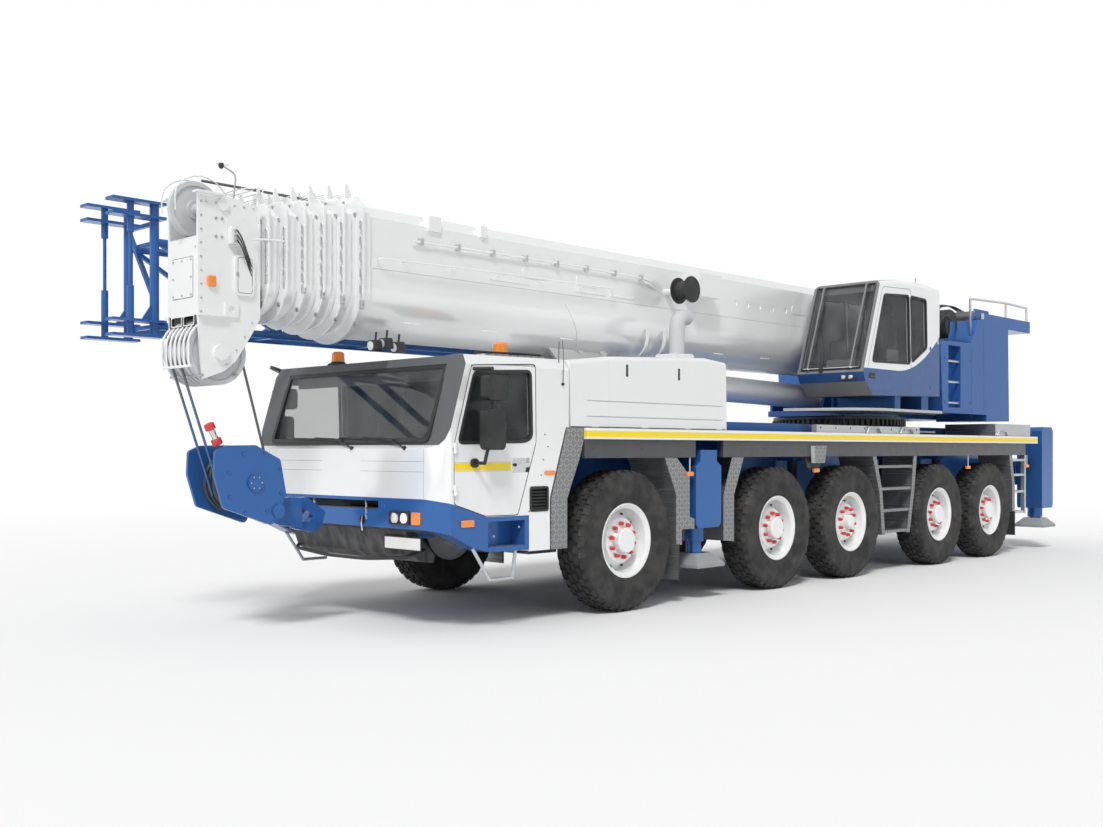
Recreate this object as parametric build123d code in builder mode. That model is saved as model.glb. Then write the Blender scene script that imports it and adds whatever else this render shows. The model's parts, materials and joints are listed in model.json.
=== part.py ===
from build123d import *
import math
import os

# Five-axle all-terrain telescopic crane, parked with its boom on the carrier.
# Millimetres. X forward, Y to the left, Z up, tyres on Z = 0, Y = 0 in the middle of the machine.
# X values are given ahead of the first axle; ahead() and outline() move them into the machine's frame.

os.makedirs("parts", exist_ok=True)

# ---- carrier ----
FIRST_AXLE_X = 3555.0  # first axle, ahead of the middle of the machine's length
AXLE_GAPS = (2660.0, 1650.0, 2395.0, 1650.0)
DRIVEN = (True, True, False, True, True)
TRACK_HALF = 1310.0  # to the middle of a tyre
KINGPIN_Y = 1200.0
SIDE_Y = 1450.0  # cab and cover sides
DECK_Y = 1500.0  # deck edge, the carrier's full half width
DECK_TOP = 1800.0
DECK_BOTTOM = 1690.0
SKIRT_BOTTOM = 1510.0
SKIRT_WALL = 40.0
SKIRT_SET_BACK = 30.0
SKIRT_REAR = -9650.0
DECK_FRONT = 620.0
DECK_REAR = -10050.0
FRAME_HALF = 450.0
FRAME_BOTTOM = 980.0
FRAME_REAR = -10900.0
CROWN_HALF = 620.0
CROWN_TOP = 1930.0
CROWN_FRONT = -1740.0
CROWN_REAR = -9900.0

# ---- wheels ----
TYRE_RADIUS = 698.0
TYRE_WIDTH = 385.0
BEAD_RADIUS = 330.0
BEAD_HALF = 118.0
RIM_FLANGE_RADIUS = 360.0
RIM_FLANGE_HALF = 140.0
RIM_WALL = 14.0
HUB_RADIUS = 128.0  # planetary hub of a driven axle
PLAIN_HUB_RADIUS = 84.0
HUB_FACE = 165.0
DISC_FACE = 78.0
SPINDLE_RADIUS = 60.0

# ---- clearances ----
FIT = 0.5  # running clearance of pins, spindles and wear pads
BEAD_FIT = 0.3
SEAT_GAP = 0.3  # between a piece and the one that carries it

# ---- slewing, luffing and telescoping ----
SLEW_X = -6500.0
SLEW_RADIUS = 950.0
TURRET_FLOOR = 2060.0
TURRET_FLOOR_TOP = 2140.0
RING_TOP = TURRET_FLOOR - FIT
RING_WALL = 90.0
FLANGE_THICK = 30.0
BOOM_PIVOT_X = -9100.0
BOOM_PIVOT_Z = 3050.0
BOOM_PIN_RADIUS = 70.0
BOOM_HALF = 460.0
BOOM_TOP = 3790.0
BOOM_BOTTOM = 2620.0
BOOM_CORNER = 110.0
BOOM_WALL = 12.0
BOOM_STEP = 40.0  # each section is this much narrower on each side than the last
BOOM_DROP = 32.0  # and this much lower on top and higher below
BOOM_REAR = -9450.0
BOOM_REAR_STEP = 60.0
SECTIONS = 7
COLLAR_X = (2500.0, 2680.0, 2860.0, 3030.0, 3190.0, 3340.0)
COLLAR_RIM = 62.0
HEAD_LENGTH = 90.0
PLATE_INNER = 475.0  # turret side plates, just outside the boom
PLATE_THICK = 40.0
PLATE_OUTER = PLATE_INNER + PLATE_THICK
LUFF_BASE = (-5900.0, 2330.0)
LUFF_EYE = (-750.0, 2440.0)
LUFF_BARREL_RADIUS = 165.0
LUFF_ROD_RADIUS = 120.0
LUFF_FOOT_PIN = 60.0
LUFF_EYE_PIN = 55.0

LEFT, RIGHT = 1, -1
SIDES = (("l", LEFT), ("r", RIGHT))


def ahead(x):
    """X of a place given ahead of the first axle."""
    return FIRST_AXLE_X + x


def outline(points):
    """Side or plan outline moved from the first axle into the machine's frame."""
    return [(ahead(x), other) for x, other in points]


def plate(points, plane, amount, mode=Mode.ADD):
    """An outline on a plane, extruded."""
    with BuildSketch(plane) as profile:
        with BuildLine():
            Polyline(*points, close=True)
        make_face()
    extrude(profile.sketch, amount=amount, mode=mode)


def side_plate(points, y_low, y_high, mode=Mode.ADD):
    """A plate whose outline lies in XZ, from y_low to y_high."""
    plate(points, Plane.XZ.offset(-y_high), y_high - y_low, mode)


def front_plate(points, x_low, x_high, mode=Mode.ADD):
    """A plate whose outline lies in YZ, from x_low to x_high."""
    plate(points, Plane.YZ.offset(x_low), x_high - x_low, mode)


def flat_plate(points, z_low, z_high, mode=Mode.ADD):
    """A plate whose outline lies in XY, from z_low to z_high."""
    plate(points, Plane.XY.offset(z_low), z_high - z_low, mode)


def block(x, y, z, mode=Mode.ADD):
    """A box from three (low, high) pairs."""
    with Locations(((x[0] + x[1]) / 2, (y[0] + y[1]) / 2, (z[0] + z[1]) / 2)):
        Box(x[1] - x[0], y[1] - y[0], z[1] - z[0], mode=mode)


def bar(start, end, radius, mode=Mode.ADD):
    """A round bar between two points."""
    run = Vector(*end) - Vector(*start)
    with BuildSketch(Plane(origin=start, z_dir=run)) as section:
        Circle(radius)
    extrude(section.sketch, amount=run.length, mode=mode)


def square_bar(start, end, width):
    """A square bar between two points."""
    run = Vector(*end) - Vector(*start)
    with BuildSketch(Plane(origin=start, z_dir=run)) as section:
        Rectangle(width, width)
    extrude(section.sketch, amount=run.length)


def tube_run(points, radius):
    """A bent bar through several points, with a ball at each bend."""
    for start, end in zip(points, points[1:]):
        bar(start, end, radius)
    for point in points[1:-1]:
        with Locations(point):
            Sphere(radius)


def cross_pin(x, z, half_length, radius, mode=Mode.ADD):
    """A pin along Y through the middle of the machine."""
    bar((x, -half_length, z), (x, half_length, z), radius, mode)


def rounded_pad(x, z, y, width, height, corner, thick, side):
    """A rounded plate standing on a side face at y, its middle at x and z."""
    with BuildSketch(Plane.XZ.offset(-side * y)) as pad:
        with Locations((x, z)):
            RectangleRounded(width, height, corner)
    extrude(pad.sketch, amount=-side * thick)


def sided(low, high, side):
    """A (low, high) pair of Y on the left, or its mirror image on the right."""
    return (low, high) if side == LEFT else (-high, -low)


def line_z(points, first, second, x):
    """Height at x on the straight edge between two points of an outline."""
    (x_a, z_a), (x_b, z_b) = points[first], points[second]
    return z_a + (x - x_a) * (z_b - z_a) / (x_b - x_a)


def save(builder, name):
    """Labels a finished sub-part and writes its file."""
    builder.part.label = name
    export_step(builder.part, f"parts/{name}.step")


AXLE_X = [FIRST_AXLE_X]
for gap in AXLE_GAPS:
    AXLE_X.append(AXLE_X[-1] - gap)

# =====================================================================
# Chassis: main girder, crown under the turntable, outrigger boxes, coupling
# =====================================================================
FRONT_FRAME_X = 780.0  # the low front frame under the cab is bolted to the main girder here
FRONT_FRAME_Z = (760.0, 985.0)
GIRDER_SIDE = outline([
    (FRAME_REAR, FRAME_BOTTOM), (FRAME_REAR, DECK_BOTTOM), (FRONT_FRAME_X, DECK_BOTTOM),
    (FRONT_FRAME_X, FRONT_FRAME_Z[1]), (2000, FRONT_FRAME_Z[1]), (2000, FRONT_FRAME_Z[0]),
    (950, FRONT_FRAME_Z[0]), (720, FRAME_BOTTOM),
])
BOX_WALL = 20.0
BEAM_WIDTH = 200.0
BEAM_HEIGHT = 380.0
BEAM_GAP = 6.0
OUTRIGGER_X = (-1355.0, -10550.0)  # front and rear set
OUTRIGGER_FLOOR = 1040.0
JACK_Y = 1255.0
JACK_HALF_Y = 205.0
BOX_END_GAP = 15.0
OUTRIGGER_BOX_HALF = JACK_Y - JACK_HALF_Y - BOX_END_GAP  # ends just inside the jacks
STRUT_Y = 610.0
STRUT_RADIUS = 62.0
STRUT_TOP = 1450.0
TOWER_HALF_X = 110.0
TOWER_HALF_Y = 90.0
CROSS_MEMBER = ((-11050.0, FRAME_REAR), 620.0, (900.0, 1500.0))  # X, half width, Z
JAW = ((-11280.0, -11050.0), 160.0, (880.0, 1120.0))
TOW_PIN_X = -11400.0
TOW_EYE = ((-11470.0, -11280.0), 60.0, (940.0, 1040.0))
TOW_BORE_RADIUS = 25.0
OVERCUT = 5.0  # cutting tools run this far past the faces they cut

channel_half = BEAM_WIDTH / 2 + BEAM_GAP
box_half_x = 2 * channel_half + BOX_WALL * 1.5
channel_top = OUTRIGGER_FLOOR + BEAM_HEIGHT + BEAM_GAP
channel_offset = channel_half + BOX_WALL / 2

with BuildPart() as chassis_frame:
    side_plate(GIRDER_SIDE, -FRAME_HALF, FRAME_HALF)
    block((ahead(CROWN_REAR), ahead(CROWN_FRONT)), (-CROWN_HALF, CROWN_HALF), (DECK_BOTTOM, CROWN_TOP))
    with Locations((ahead(SLEW_X), 0, CROWN_TOP)):
        Cylinder(SLEW_RADIUS - RING_WALL, RING_TOP - FLANGE_THICK - CROWN_TOP,
                 align=(Align.CENTER, Align.CENTER, Align.MIN))
    for centre in OUTRIGGER_X:
        block(
            (ahead(centre) - box_half_x, ahead(centre) + box_half_x),
            (-OUTRIGGER_BOX_HALF, OUTRIGGER_BOX_HALF),
            (OUTRIGGER_FLOOR - BOX_WALL, channel_top + BOX_WALL),
        )
    for x in AXLE_X:
        # suspension towers
        block(
            (x - TOWER_HALF_X, x + TOWER_HALF_X), (-STRUT_Y - TOWER_HALF_Y, STRUT_Y + TOWER_HALF_Y),
            (STRUT_TOP, DECK_BOTTOM),
        )
    for (x_low, x_high), half, z in (CROSS_MEMBER, JAW, TOW_EYE):
        block((ahead(x_low), ahead(x_high)), (-half, half), z)
    bar(
        (ahead(TOW_PIN_X), 0, TOW_EYE[2][0] - OVERCUT), (ahead(TOW_PIN_X), 0, TOW_EYE[2][1] + OVERCUT),
        TOW_BORE_RADIUS, Mode.SUBTRACT,
    )
    for centre in OUTRIGGER_X:
        for side in (LEFT, RIGHT):
            middle = ahead(centre) + side * channel_offset
            block(
                (middle - channel_half, middle + channel_half),
                sided(-OUTRIGGER_BOX_HALF + BOX_WALL, OUTRIGGER_BOX_HALF, side),
                (OUTRIGGER_FLOOR, channel_top), Mode.SUBTRACT,
            )
    block(
        (ahead(FRONT_FRAME_X), ahead(FRONT_FRAME_X) + SEAT_GAP),
        (-FRAME_HALF - OVERCUT, FRAME_HALF + OVERCUT),
        (FRONT_FRAME_Z[0] - OVERCUT, FRONT_FRAME_Z[1] + OVERCUT), Mode.SUBTRACT,
    )
save(chassis_frame, "chassis_frame")

# =====================================================================
# Deck with its set-back side skirts, notched over the front outriggers
# =====================================================================
JACK_HALF_X = 225.0
NOTCH_CLEAR = 20.0
skirt_y = DECK_Y - SKIRT_SET_BACK
with BuildPart() as carrier_deck:
    block((ahead(DECK_REAR), ahead(DECK_FRONT)), (-DECK_Y, DECK_Y), (DECK_BOTTOM, DECK_TOP))
    for side in (LEFT, RIGHT):
        block(
            (ahead(SKIRT_REAR), ahead(DECK_FRONT)), sided(skirt_y - SKIRT_WALL, skirt_y, side),
            (SKIRT_BOTTOM, DECK_BOTTOM),
        )
        notch = JACK_HALF_X + NOTCH_CLEAR
        block(
            (ahead(OUTRIGGER_X[0]) - notch, ahead(OUTRIGGER_X[0]) + notch),
            sided(skirt_y - SKIRT_WALL - OVERCUT, skirt_y + OVERCUT, side),
            (SKIRT_BOTTOM - OVERCUT, DECK_BOTTOM), Mode.SUBTRACT,
        )
    block(
        (ahead(CROWN_REAR), ahead(CROWN_FRONT)), (-CROWN_HALF, CROWN_HALF),
        (DECK_BOTTOM - OVERCUT, DECK_TOP + OVERCUT), Mode.SUBTRACT,
    )
save(carrier_deck, "carrier_deck")

# =====================================================================
# Mudguards, ladders and what stands on the deck's edges
# =====================================================================
SHEET = 10.0
# outline of each guard's side: how many points its wheel edge has, then the wheel edge and the way back
GUARDS = (
    (4, ((620, 1690), (679, 1517), (852, 1140), (852, 675), (1065, 675), (1065, 1146), (850, 1800),
         (620, 1800))),
    (3, ((-600, 1510), (-788, 1140), (-788, 607), (-889, 607), (-889, 764), (-1100, 764), (-1100, 868),
         (-1020, 890), (-1020, 1317), (-800, 1510))),
    (3, ((-2000, 1510), (-1815, 1100), (-1815, 590), (-1620, 610), (-1620, 1100), (-1780, 1510))),
    (3, ((-4860, 1510), (-5030, 1040), (-5100, 490), (-5180, 490), (-5110, 1040), (-4950, 1510))),
    (3, ((-6050, 1510), (-5980, 1040), (-5850, 490), (-5770, 490), (-5900, 1040), (-5960, 1510))),
    (3, ((-9060, 1510), (-9170, 1040), (-9170, 640), (-9260, 640), (-9260, 1040), (-9160, 1510))),
)
GUARD_INNER = 960.0
FLAP_THICK = 24.0
FLAP_Y = (1130.0, 1490.0)
FLAPS = ((-800.0, 250.0, 615.0), (-9190.0, 280.0, 645.0))  # X, bottom and top
RUNG_HEIGHTS = (540.0, 815.0, 1100.0, 1390.0)
REAR_RUNG_HEIGHTS = (640.0, 960.0, 1220.0, 1450.0)
RUNG_BITE = 20.0  # rungs run this far behind the guards' edges
RUNG_DEPTH = 120.0
RUNG_THICK = 35.0
RUNG_Y = (SIDE_Y - RUNG_DEPTH, SIDE_Y - SEAT_GAP)
REAR_RAIL = ((-9680.0, -9630.0), (SIDE_Y - 50.0, SIDE_Y + SHEET), (600.0, 1510.0))  # X, Y, Z
DECK_LOCKER = ((-9900.0, -8600.0), (640.0, 1440.0), 185.0)  # X, Y, height
DECK_RAIL = ((-6190.0, -3560.0), (1360.0, 1430.0), 95.0)
HANDLE_X = (-4727.0, -5611.0, -8649.0)  # front foot of each grab handle
HANDLE_LENGTH = 370.0
HANDLE_RISE = 75.0
HANDLE_LEAN = 55.0
HANDLE_RADIUS = 14.0
HANDLE_Y = 1450.0
HUNG_BOX = ((-3640, 1640), (-3602, 1434), (-3378, 1434), (-3365, 1640))
HUNG_BOX_DEPTH = 50.0


def guard_edge(points, z):
    """X of the outer edge of a guard at a height, for the rungs that end there."""
    back = points[len(points) // 2:]
    for (x_a, z_a), (x_b, z_b) in zip(back, back[1:]):
        if z_a <= z <= z_b:
            return x_a + (x_b - x_a) * (z - z_a) / (z_b - z_a)
    return back[0][0]


deck_seat = DECK_TOP + SEAT_GAP
with BuildPart() as mudguards:
    for bend, points in GUARDS:
        side_plate(outline(points), SIDE_Y, SIDE_Y + SHEET)
        edge = list(points[:bend])
        away = 1 if points[bend][0] > points[bend - 1][0] else -1
        liner = edge + [(x + away * SHEET, z) for x, z in reversed(edge)]
        side_plate(outline(liner), GUARD_INNER, SIDE_Y + SHEET)
    for x, z_low, z_high in FLAPS:
        block((ahead(x) - FLAP_THICK / 2, ahead(x) + FLAP_THICK / 2), FLAP_Y, (z_low, z_high))
    # rungs stand behind the guards' edges as pieces of their own
    for z in RUNG_HEIGHTS:
        front = guard_edge(GUARDS[3][1], z) + RUNG_BITE
        rear = guard_edge(GUARDS[4][1], z) - RUNG_BITE
        block((ahead(rear), ahead(front)), RUNG_Y, (z - RUNG_THICK, z))
    (rail_rear, rail_front), rail_y, rail_z = REAR_RAIL
    for z in REAR_RUNG_HEIGHTS:
        front = guard_edge(GUARDS[5][1], z) + RUNG_BITE
        block((ahead(rail_front) + SEAT_GAP, ahead(front)), RUNG_Y, (z - RUNG_THICK, z))
    block((ahead(rail_rear), ahead(rail_front)), rail_y, rail_z)
    for (x_low, x_high), y, height in (DECK_LOCKER, DECK_RAIL):
        block((ahead(x_low), ahead(x_high)), y, (deck_seat, deck_seat + height))
    for x in HANDLE_X:
        front, rear = ahead(x), ahead(x - HANDLE_LENGTH)
        tube_run(
            [(front, HANDLE_Y, deck_seat), (front - HANDLE_LEAN, HANDLE_Y, deck_seat + HANDLE_RISE),
             (rear + HANDLE_LEAN, HANDLE_Y, deck_seat + HANDLE_RISE),
             (rear, HANDLE_Y, deck_seat)], HANDLE_RADIUS,
        )
    # the slanted feet are cut off level with the deck
    block(
        (ahead(DECK_REAR), ahead(DECK_FRONT)), (HANDLE_Y - 2 * HANDLE_RADIUS, HANDLE_Y + 2 * HANDLE_RADIUS),
        (DECK_TOP - 2 * HANDLE_RADIUS, deck_seat), Mode.SUBTRACT,
    )
    side_plate(outline(HUNG_BOX), skirt_y + SEAT_GAP, skirt_y + SEAT_GAP + HUNG_BOX_DEPTH)
    mirror(about=Plane.XZ)
save(mudguards, "mudguards")

# =====================================================================
# Axles: beams with drive heads, kingpin eyes, suspension struts, drive shafts
# =====================================================================
BEAM_RADIUS = 75.0
EYE_RADIUS = 88.0
EYE_HALF = 100.0
KINGPIN_RADIUS = 50.0
DRIVE_HEAD_RADIUS = 205.0
HEAD_COVER_RADIUS = 150.0
SHAFT_RADIUS = 45.0
TRANSFER_CASE = ((-5750.0, -5250.0), 210.0, 240.0)  # X, half width, height below the girder
CASE_SHAFT_Z = 895.0

driven_x = [x for x, driven in zip(AXLE_X, DRIVEN) if driven]
with BuildPart() as axle_beams:
    for x, driven in zip(AXLE_X, DRIVEN):
        bar((x, -KINGPIN_Y, TYRE_RADIUS), (x, KINGPIN_Y, TYRE_RADIUS), BEAM_RADIUS)
        if driven:
            with Locations((x, 0, TYRE_RADIUS)):
                Sphere(DRIVE_HEAD_RADIUS)
            bar((x, 0, TYRE_RADIUS), (x + DRIVE_HEAD_RADIUS + SHEET, 0, TYRE_RADIUS), HEAD_COVER_RADIUS)
        for side in (LEFT, RIGHT):
            bar((x, side * STRUT_Y, TYRE_RADIUS), (x, side * STRUT_Y, STRUT_TOP), STRUT_RADIUS)
            bar(
                (x, side * KINGPIN_Y, TYRE_RADIUS - EYE_HALF), (x, side * KINGPIN_Y, TYRE_RADIUS + EYE_HALF),
                EYE_RADIUS,
            )
    # shafts from the transfer case under the girder to the driven axles, and on to the next
    (case_rear, case_front), case_half, case_height = TRANSFER_CASE
    block(
        (ahead(case_rear), ahead(case_front)), (-case_half, case_half),
        (FRAME_BOTTOM - SEAT_GAP - case_height, FRAME_BOTTOM - SEAT_GAP),
    )
    for start, end in (
        ((driven_x[0], TYRE_RADIUS), (driven_x[1], TYRE_RADIUS)),
        ((driven_x[1], TYRE_RADIUS), (ahead(case_front), CASE_SHAFT_Z)),
        ((ahead(case_rear), CASE_SHAFT_Z), (driven_x[2], TYRE_RADIUS)),
        ((driven_x[2], TYRE_RADIUS), (driven_x[3], TYRE_RADIUS)),
    ):
        bar((start[0], 0, start[1]), (end[0], 0, end[1]), SHAFT_RADIUS)
    for x in AXLE_X:
        for side in (LEFT, RIGHT):
            bar(
                (x, side * KINGPIN_Y, TYRE_RADIUS - EYE_HALF - OVERCUT),
                (x, side * KINGPIN_Y, TYRE_RADIUS + EYE_HALF + OVERCUT), KINGPIN_RADIUS + FIT, Mode.SUBTRACT,
            )
save(axle_beams, "axle_beams")

ARM_GAP = 6.0
ARM_THICK = 40.0
ARM_HALF = 80.0
DRUM_RADIUS = 195.0
DRUM_INNER = 1305.0
DRUM_OUTER = 1350.0
SPINDLE_REACH = 40.0  # past the wheel's disc, into the hub
HUB_CAVITY = 5.0  # beyond the spindle's end

arm_low = EYE_HALF + ARM_GAP
spindle_end = TRACK_HALF + DISC_FACE + SPINDLE_REACH
for number, x in enumerate(AXLE_X, start=1):
    for letter, side in SIDES:
        with BuildPart() as knuckle:
            bar(
                (x, side * KINGPIN_Y, TYRE_RADIUS - arm_low - ARM_THICK),
                (x, side * KINGPIN_Y, TYRE_RADIUS + arm_low + ARM_THICK), KINGPIN_RADIUS,
            )
            for low in (TYRE_RADIUS + arm_low, TYRE_RADIUS - arm_low - ARM_THICK):
                block(
                    (x - ARM_HALF, x + ARM_HALF), sided(KINGPIN_Y - ARM_HALF, DRUM_INNER + OVERCUT, side),
                    (low, low + ARM_THICK),
                )
            bar((x, side * DRUM_INNER, TYRE_RADIUS), (x, side * DRUM_OUTER, TYRE_RADIUS), DRUM_RADIUS)
            bar((x, side * DRUM_OUTER, TYRE_RADIUS), (x, side * spindle_end, TYRE_RADIUS), SPINDLE_RADIUS)
        save(knuckle, f"knuckle_{number}{letter}")

# =====================================================================
# Wheels: tyre and rim, two solids held at the beads
# =====================================================================
half = TYRE_WIDTH / 2
# radius, distance from the tyre's middle, from the inner bead round to the outer one
TYRE_SECTION = (
    (BEAD_RADIUS, -BEAD_HALF), (RIM_FLANGE_RADIUS, -RIM_FLANGE_HALF), (560, -half), (655, -half + 6),
    (TYRE_RADIUS, -half + 34), (TYRE_RADIUS, half - 34), (655, half - 6), (560, half),
    (RIM_FLANGE_RADIUS, RIM_FLANGE_HALF), (BEAD_RADIUS, BEAD_HALF),
)


def rim_section(hub_radius):
    """Radius and distance from the tyre's middle, outwards from the spindle bore and back over the hub."""
    seat, lip = BEAD_RADIUS - BEAD_FIT, RIM_FLANGE_RADIUS - 4
    bore, cavity = SPINDLE_RADIUS + FIT, DISC_FACE + SPINDLE_REACH + HUB_CAVITY
    return (
        (bore, DISC_FACE - 20), (200, DISC_FACE - 20), (214, DISC_FACE - 34), (300, -20), (300, -112),
        (seat - 2, -BEAD_HALF - RIM_WALL), (lip, -RIM_FLANGE_HALF - RIM_WALL), (
            lip, -RIM_FLANGE_HALF - BEAD_FIT
        ),
        (seat, -BEAD_HALF), (seat, BEAD_HALF), (lip, RIM_FLANGE_HALF + BEAD_FIT),
        (lip, RIM_FLANGE_HALF + RIM_WALL), (seat - 8, BEAD_HALF + RIM_WALL), (310, 60), (308, 0),
        (222, DISC_FACE - 6), (206, DISC_FACE), (hub_radius, DISC_FACE), (hub_radius - 8, HUB_FACE - 8),
        (hub_radius - 16, HUB_FACE), (0, HUB_FACE), (0, cavity), (bore, cavity),
    )


for number, (x, driven) in enumerate(zip(AXLE_X, DRIVEN), start=1):
    for letter, side in SIDES:
        # local plane: its X is the radius upwards, its Y points away from the machine
        middle = Plane(origin=(x, side * TRACK_HALF, TYRE_RADIUS), x_dir=(0, 0, 1), z_dir=(-side, 0, 0))
        spin = Axis((x, side * TRACK_HALF, TYRE_RADIUS), (0, 1, 0))
        with BuildPart() as wheel:
            for section in (TYRE_SECTION, rim_section(HUB_RADIUS if driven else PLAIN_HUB_RADIUS)):
                with BuildSketch(middle) as ring:
                    with BuildLine():
                        Polyline(*section, close=True)
                    make_face()
                revolve(ring.sketch, axis=spin)
        save(wheel, f"wheel_{number}{letter}")

# =====================================================================
# Outriggers: sliding beam with its jack housing, and the jack with its float
# =====================================================================
JACK_TUBE_RADIUS = 115.0
JACK_TUBE_LENGTH = 150.0
JACK_ROD_RADIUS = 85.0
JACK_HEAD_GAP = 60.0  # closed end of the housing above the rod's bore
FLOAT_HALF = 240.0
FLOAT_BOTTOM = 340.0
FLOAT_RIM = 40.0
FLOAT_RISE = 110.0
FLOAT_TAPER = 45.0
# housing outlines, X from the jack's axis and Z, bottom first
FRONT_HOUSING = (
    (-180, 760), (180, 760), (225, 810), (225, 1420), (145, 1470), (145, 1590), (-145, 1590), (-145, 1470),
    (-225, 1420), (-225, 810),
)
REAR_HOUSING = (
    (-190, 650), (200, 650), (225, 700), (225, 1900), (160, 1960), (-170, 1960), (-225, 1900), (-225, 1720),
    (-225, 700),
)
for end, centre, housing in (("f", OUTRIGGER_X[0], FRONT_HOUSING), ("r", OUTRIGGER_X[1], REAR_HOUSING)):
    box_low, box_high = housing[0][1], max(z for _, z in housing)
    for letter, side in SIDES:
        x = ahead(centre)
        middle = x + side * channel_offset
        with BuildPart() as outrigger:
            block(
                (middle - BEAM_WIDTH / 2, middle + BEAM_WIDTH / 2),
                sided(-OUTRIGGER_BOX_HALF + BOX_WALL + OVERCUT, JACK_Y - JACK_HALF_Y, side),
                (OUTRIGGER_FLOOR + FIT, OUTRIGGER_FLOOR + FIT + BEAM_HEIGHT),
            )
            side_plate(
                [(x + along, z) for along, z in housing],
                *sided(JACK_Y - JACK_HALF_Y, JACK_Y + JACK_HALF_Y, side)
            )
            bar((x, side * JACK_Y, box_low - JACK_TUBE_LENGTH), (x, side * JACK_Y, box_low), JACK_TUBE_RADIUS)
            bar(
                (x, side * JACK_Y, box_low - JACK_TUBE_LENGTH - OVERCUT), (
                    x, side * JACK_Y, box_high - JACK_HEAD_GAP
                ),
                JACK_ROD_RADIUS + FIT, Mode.SUBTRACT,
            )
        save(outrigger, f"outrigger_{end}{letter}")
        with BuildPart() as jack:
            bar(
                (x, side * JACK_Y, FLOAT_BOTTOM + FLOAT_RIM), (
                    x, side * JACK_Y, box_high - JACK_HEAD_GAP - OVERCUT
                ),
                JACK_ROD_RADIUS,
            )
            with BuildSketch(Plane((x, side * JACK_Y, FLOAT_BOTTOM))) as foot:
                Rectangle(2 * FLOAT_HALF, 2 * FLOAT_HALF)
            extrude(foot.sketch, amount=FLOAT_RIM)
            with BuildSketch(Plane((x, side * JACK_Y, FLOAT_BOTTOM + FLOAT_RIM))) as crown:
                Rectangle(2 * FLOAT_HALF, 2 * FLOAT_HALF)
            extrude(crown.sketch, amount=FLOAT_RISE, taper=FLOAT_TAPER)
        save(jack, f"jack_{end}{letter}")

# =====================================================================
# Carrier cab: one hollow shell, from which the doors are split
# =====================================================================
CAB_WALL = 50.0
CAB_FRONT = 2360.0
CAB_REAR = 820.0
CAB_ROOF_REAR = 2437.0
CAB_ROOF_FRONT = (2085.0, 2415.0)
SCREEN_FOOT = (2325.0, 1630.0)
ROOF_EDGE = 90.0  # width of the slope between the roof and the sides
ROOF_EDGE_DROP = 85.0
DOOR_GAP = 6.0
CORNER_Y = 1200.0
# outlines: X ahead of the first axle and height
CAB_SIDE = (
    (CAB_REAR, CAB_ROOF_REAR), CAB_ROOF_FRONT, SCREEN_FOOT, (CAB_FRONT, 1600), (CAB_FRONT, 1165),
    (2315, 1143),
    (1867, 1005), (1345, 1000), (1345, 675), (1075, 675), (1075, 1146), (860, DECK_TOP), (CAB_REAR, DECK_TOP),
)
FLOOR_REAR, FLOOR_FRONT = (1130.0, 1056.0), (1858.0, 1056.0)
TOE_FRONT = (2300.0, 1195.0)
CAB_INSIDE = (
    (CAB_REAR + CAB_WALL, CAB_ROOF_REAR - CAB_WALL), (2050, CAB_ROOF_FRONT[1] - CAB_WALL), (2268, 1640),
    (CAB_FRONT - CAB_WALL, 1590), (CAB_FRONT - CAB_WALL, 1215), TOE_FRONT, FLOOR_FRONT, FLOOR_REAR,
    (1120, 1160),
    (912, DECK_TOP), (CAB_REAR + CAB_WALL, DECK_TOP + 8),
)
DOOR_SIDE = (
    (2240, 1632), (2040, 2318), (1267, 2361), (1259, 1656), (1490, 1012), (1878, 1016), (2240, 1128),
)
DOOR_WINDOW = ((2190, 1650), (2010, 2262), (1329, 2297), (1311, 1704), (1396, 1667))
WINDOW_CORNER = 30.0
SCREEN_LOW = 1665.0
SCREEN_HIGH = 2340.0
SCREEN_HALF = 1200.0
SCREEN_INSET = 10.0
SCREEN_CUT = (1900.0, 2400.0)
GLASS = 8.0
BELOW_CAB, ABOVE_CAB = 500.0, 2600.0  # cutting tools reach from here to here
FLOOR_CUT = (810.0, 1350.0)  # the main girder comes up through the floor at the back
GRILLE = ((1116.0, 1316.0), (1050.0, 1237.0), 25.0)  # X, Z, depth
LOUVRE_COUNT = 6
LOUVRE_THICK = 7.0
LOUVRE_SETBACK = 2.0  # blades' front edges behind the cab's side
HANDLE_RECESS = ((1340.0, 1554.0), (1389.0, 1517.0), 22.0)
HANDLE_BAR = (1500.0, (1438.0, 1472.0))  # front end, Z
ROOF_TRAY = ((860.0, 1640.0), (640.0, 1180.0), 35.0)  # X, Y, height


def cab_plan(inset):
    """Plan outline of the cab front with its drawn-back corners."""
    front, side, corner = CAB_FRONT - inset, SIDE_Y - inset, CORNER_Y
    return outline([
        (CAB_REAR + inset, -side), (front - 80, -side), (front - 50, -side + 40), (front, -corner),
        (front, corner),
        (front - 50, side - 40), (front - 80, side), (CAB_REAR + inset, side),
    ])


def cab_front(inset):
    """Front outline of the cab, with its sloping roof edges."""
    side, top = SIDE_Y - inset, CAB_ROOF_FRONT[1] + 35 - inset
    low = top - ROOF_EDGE_DROP - 35
    return [
        (-side, BELOW_CAB), (side, BELOW_CAB), (side, low), (side - ROOF_EDGE, top), (ROOF_EDGE - side, top),
        (-side, low),
    ]


def roof_z(x):
    """Height of the cab's sloping roof."""
    return line_z(CAB_SIDE, 0, 1, x)


def cab_cover(inset, mode):
    """Trims the part in hand to the cab's plan and front outlines, inset by a wall."""
    flat_plate(cab_plan(inset), BELOW_CAB, ABOVE_CAB, mode)
    front_plate(cab_front(inset), ahead(CAB_REAR), ahead(CAB_FRONT), mode)


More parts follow.
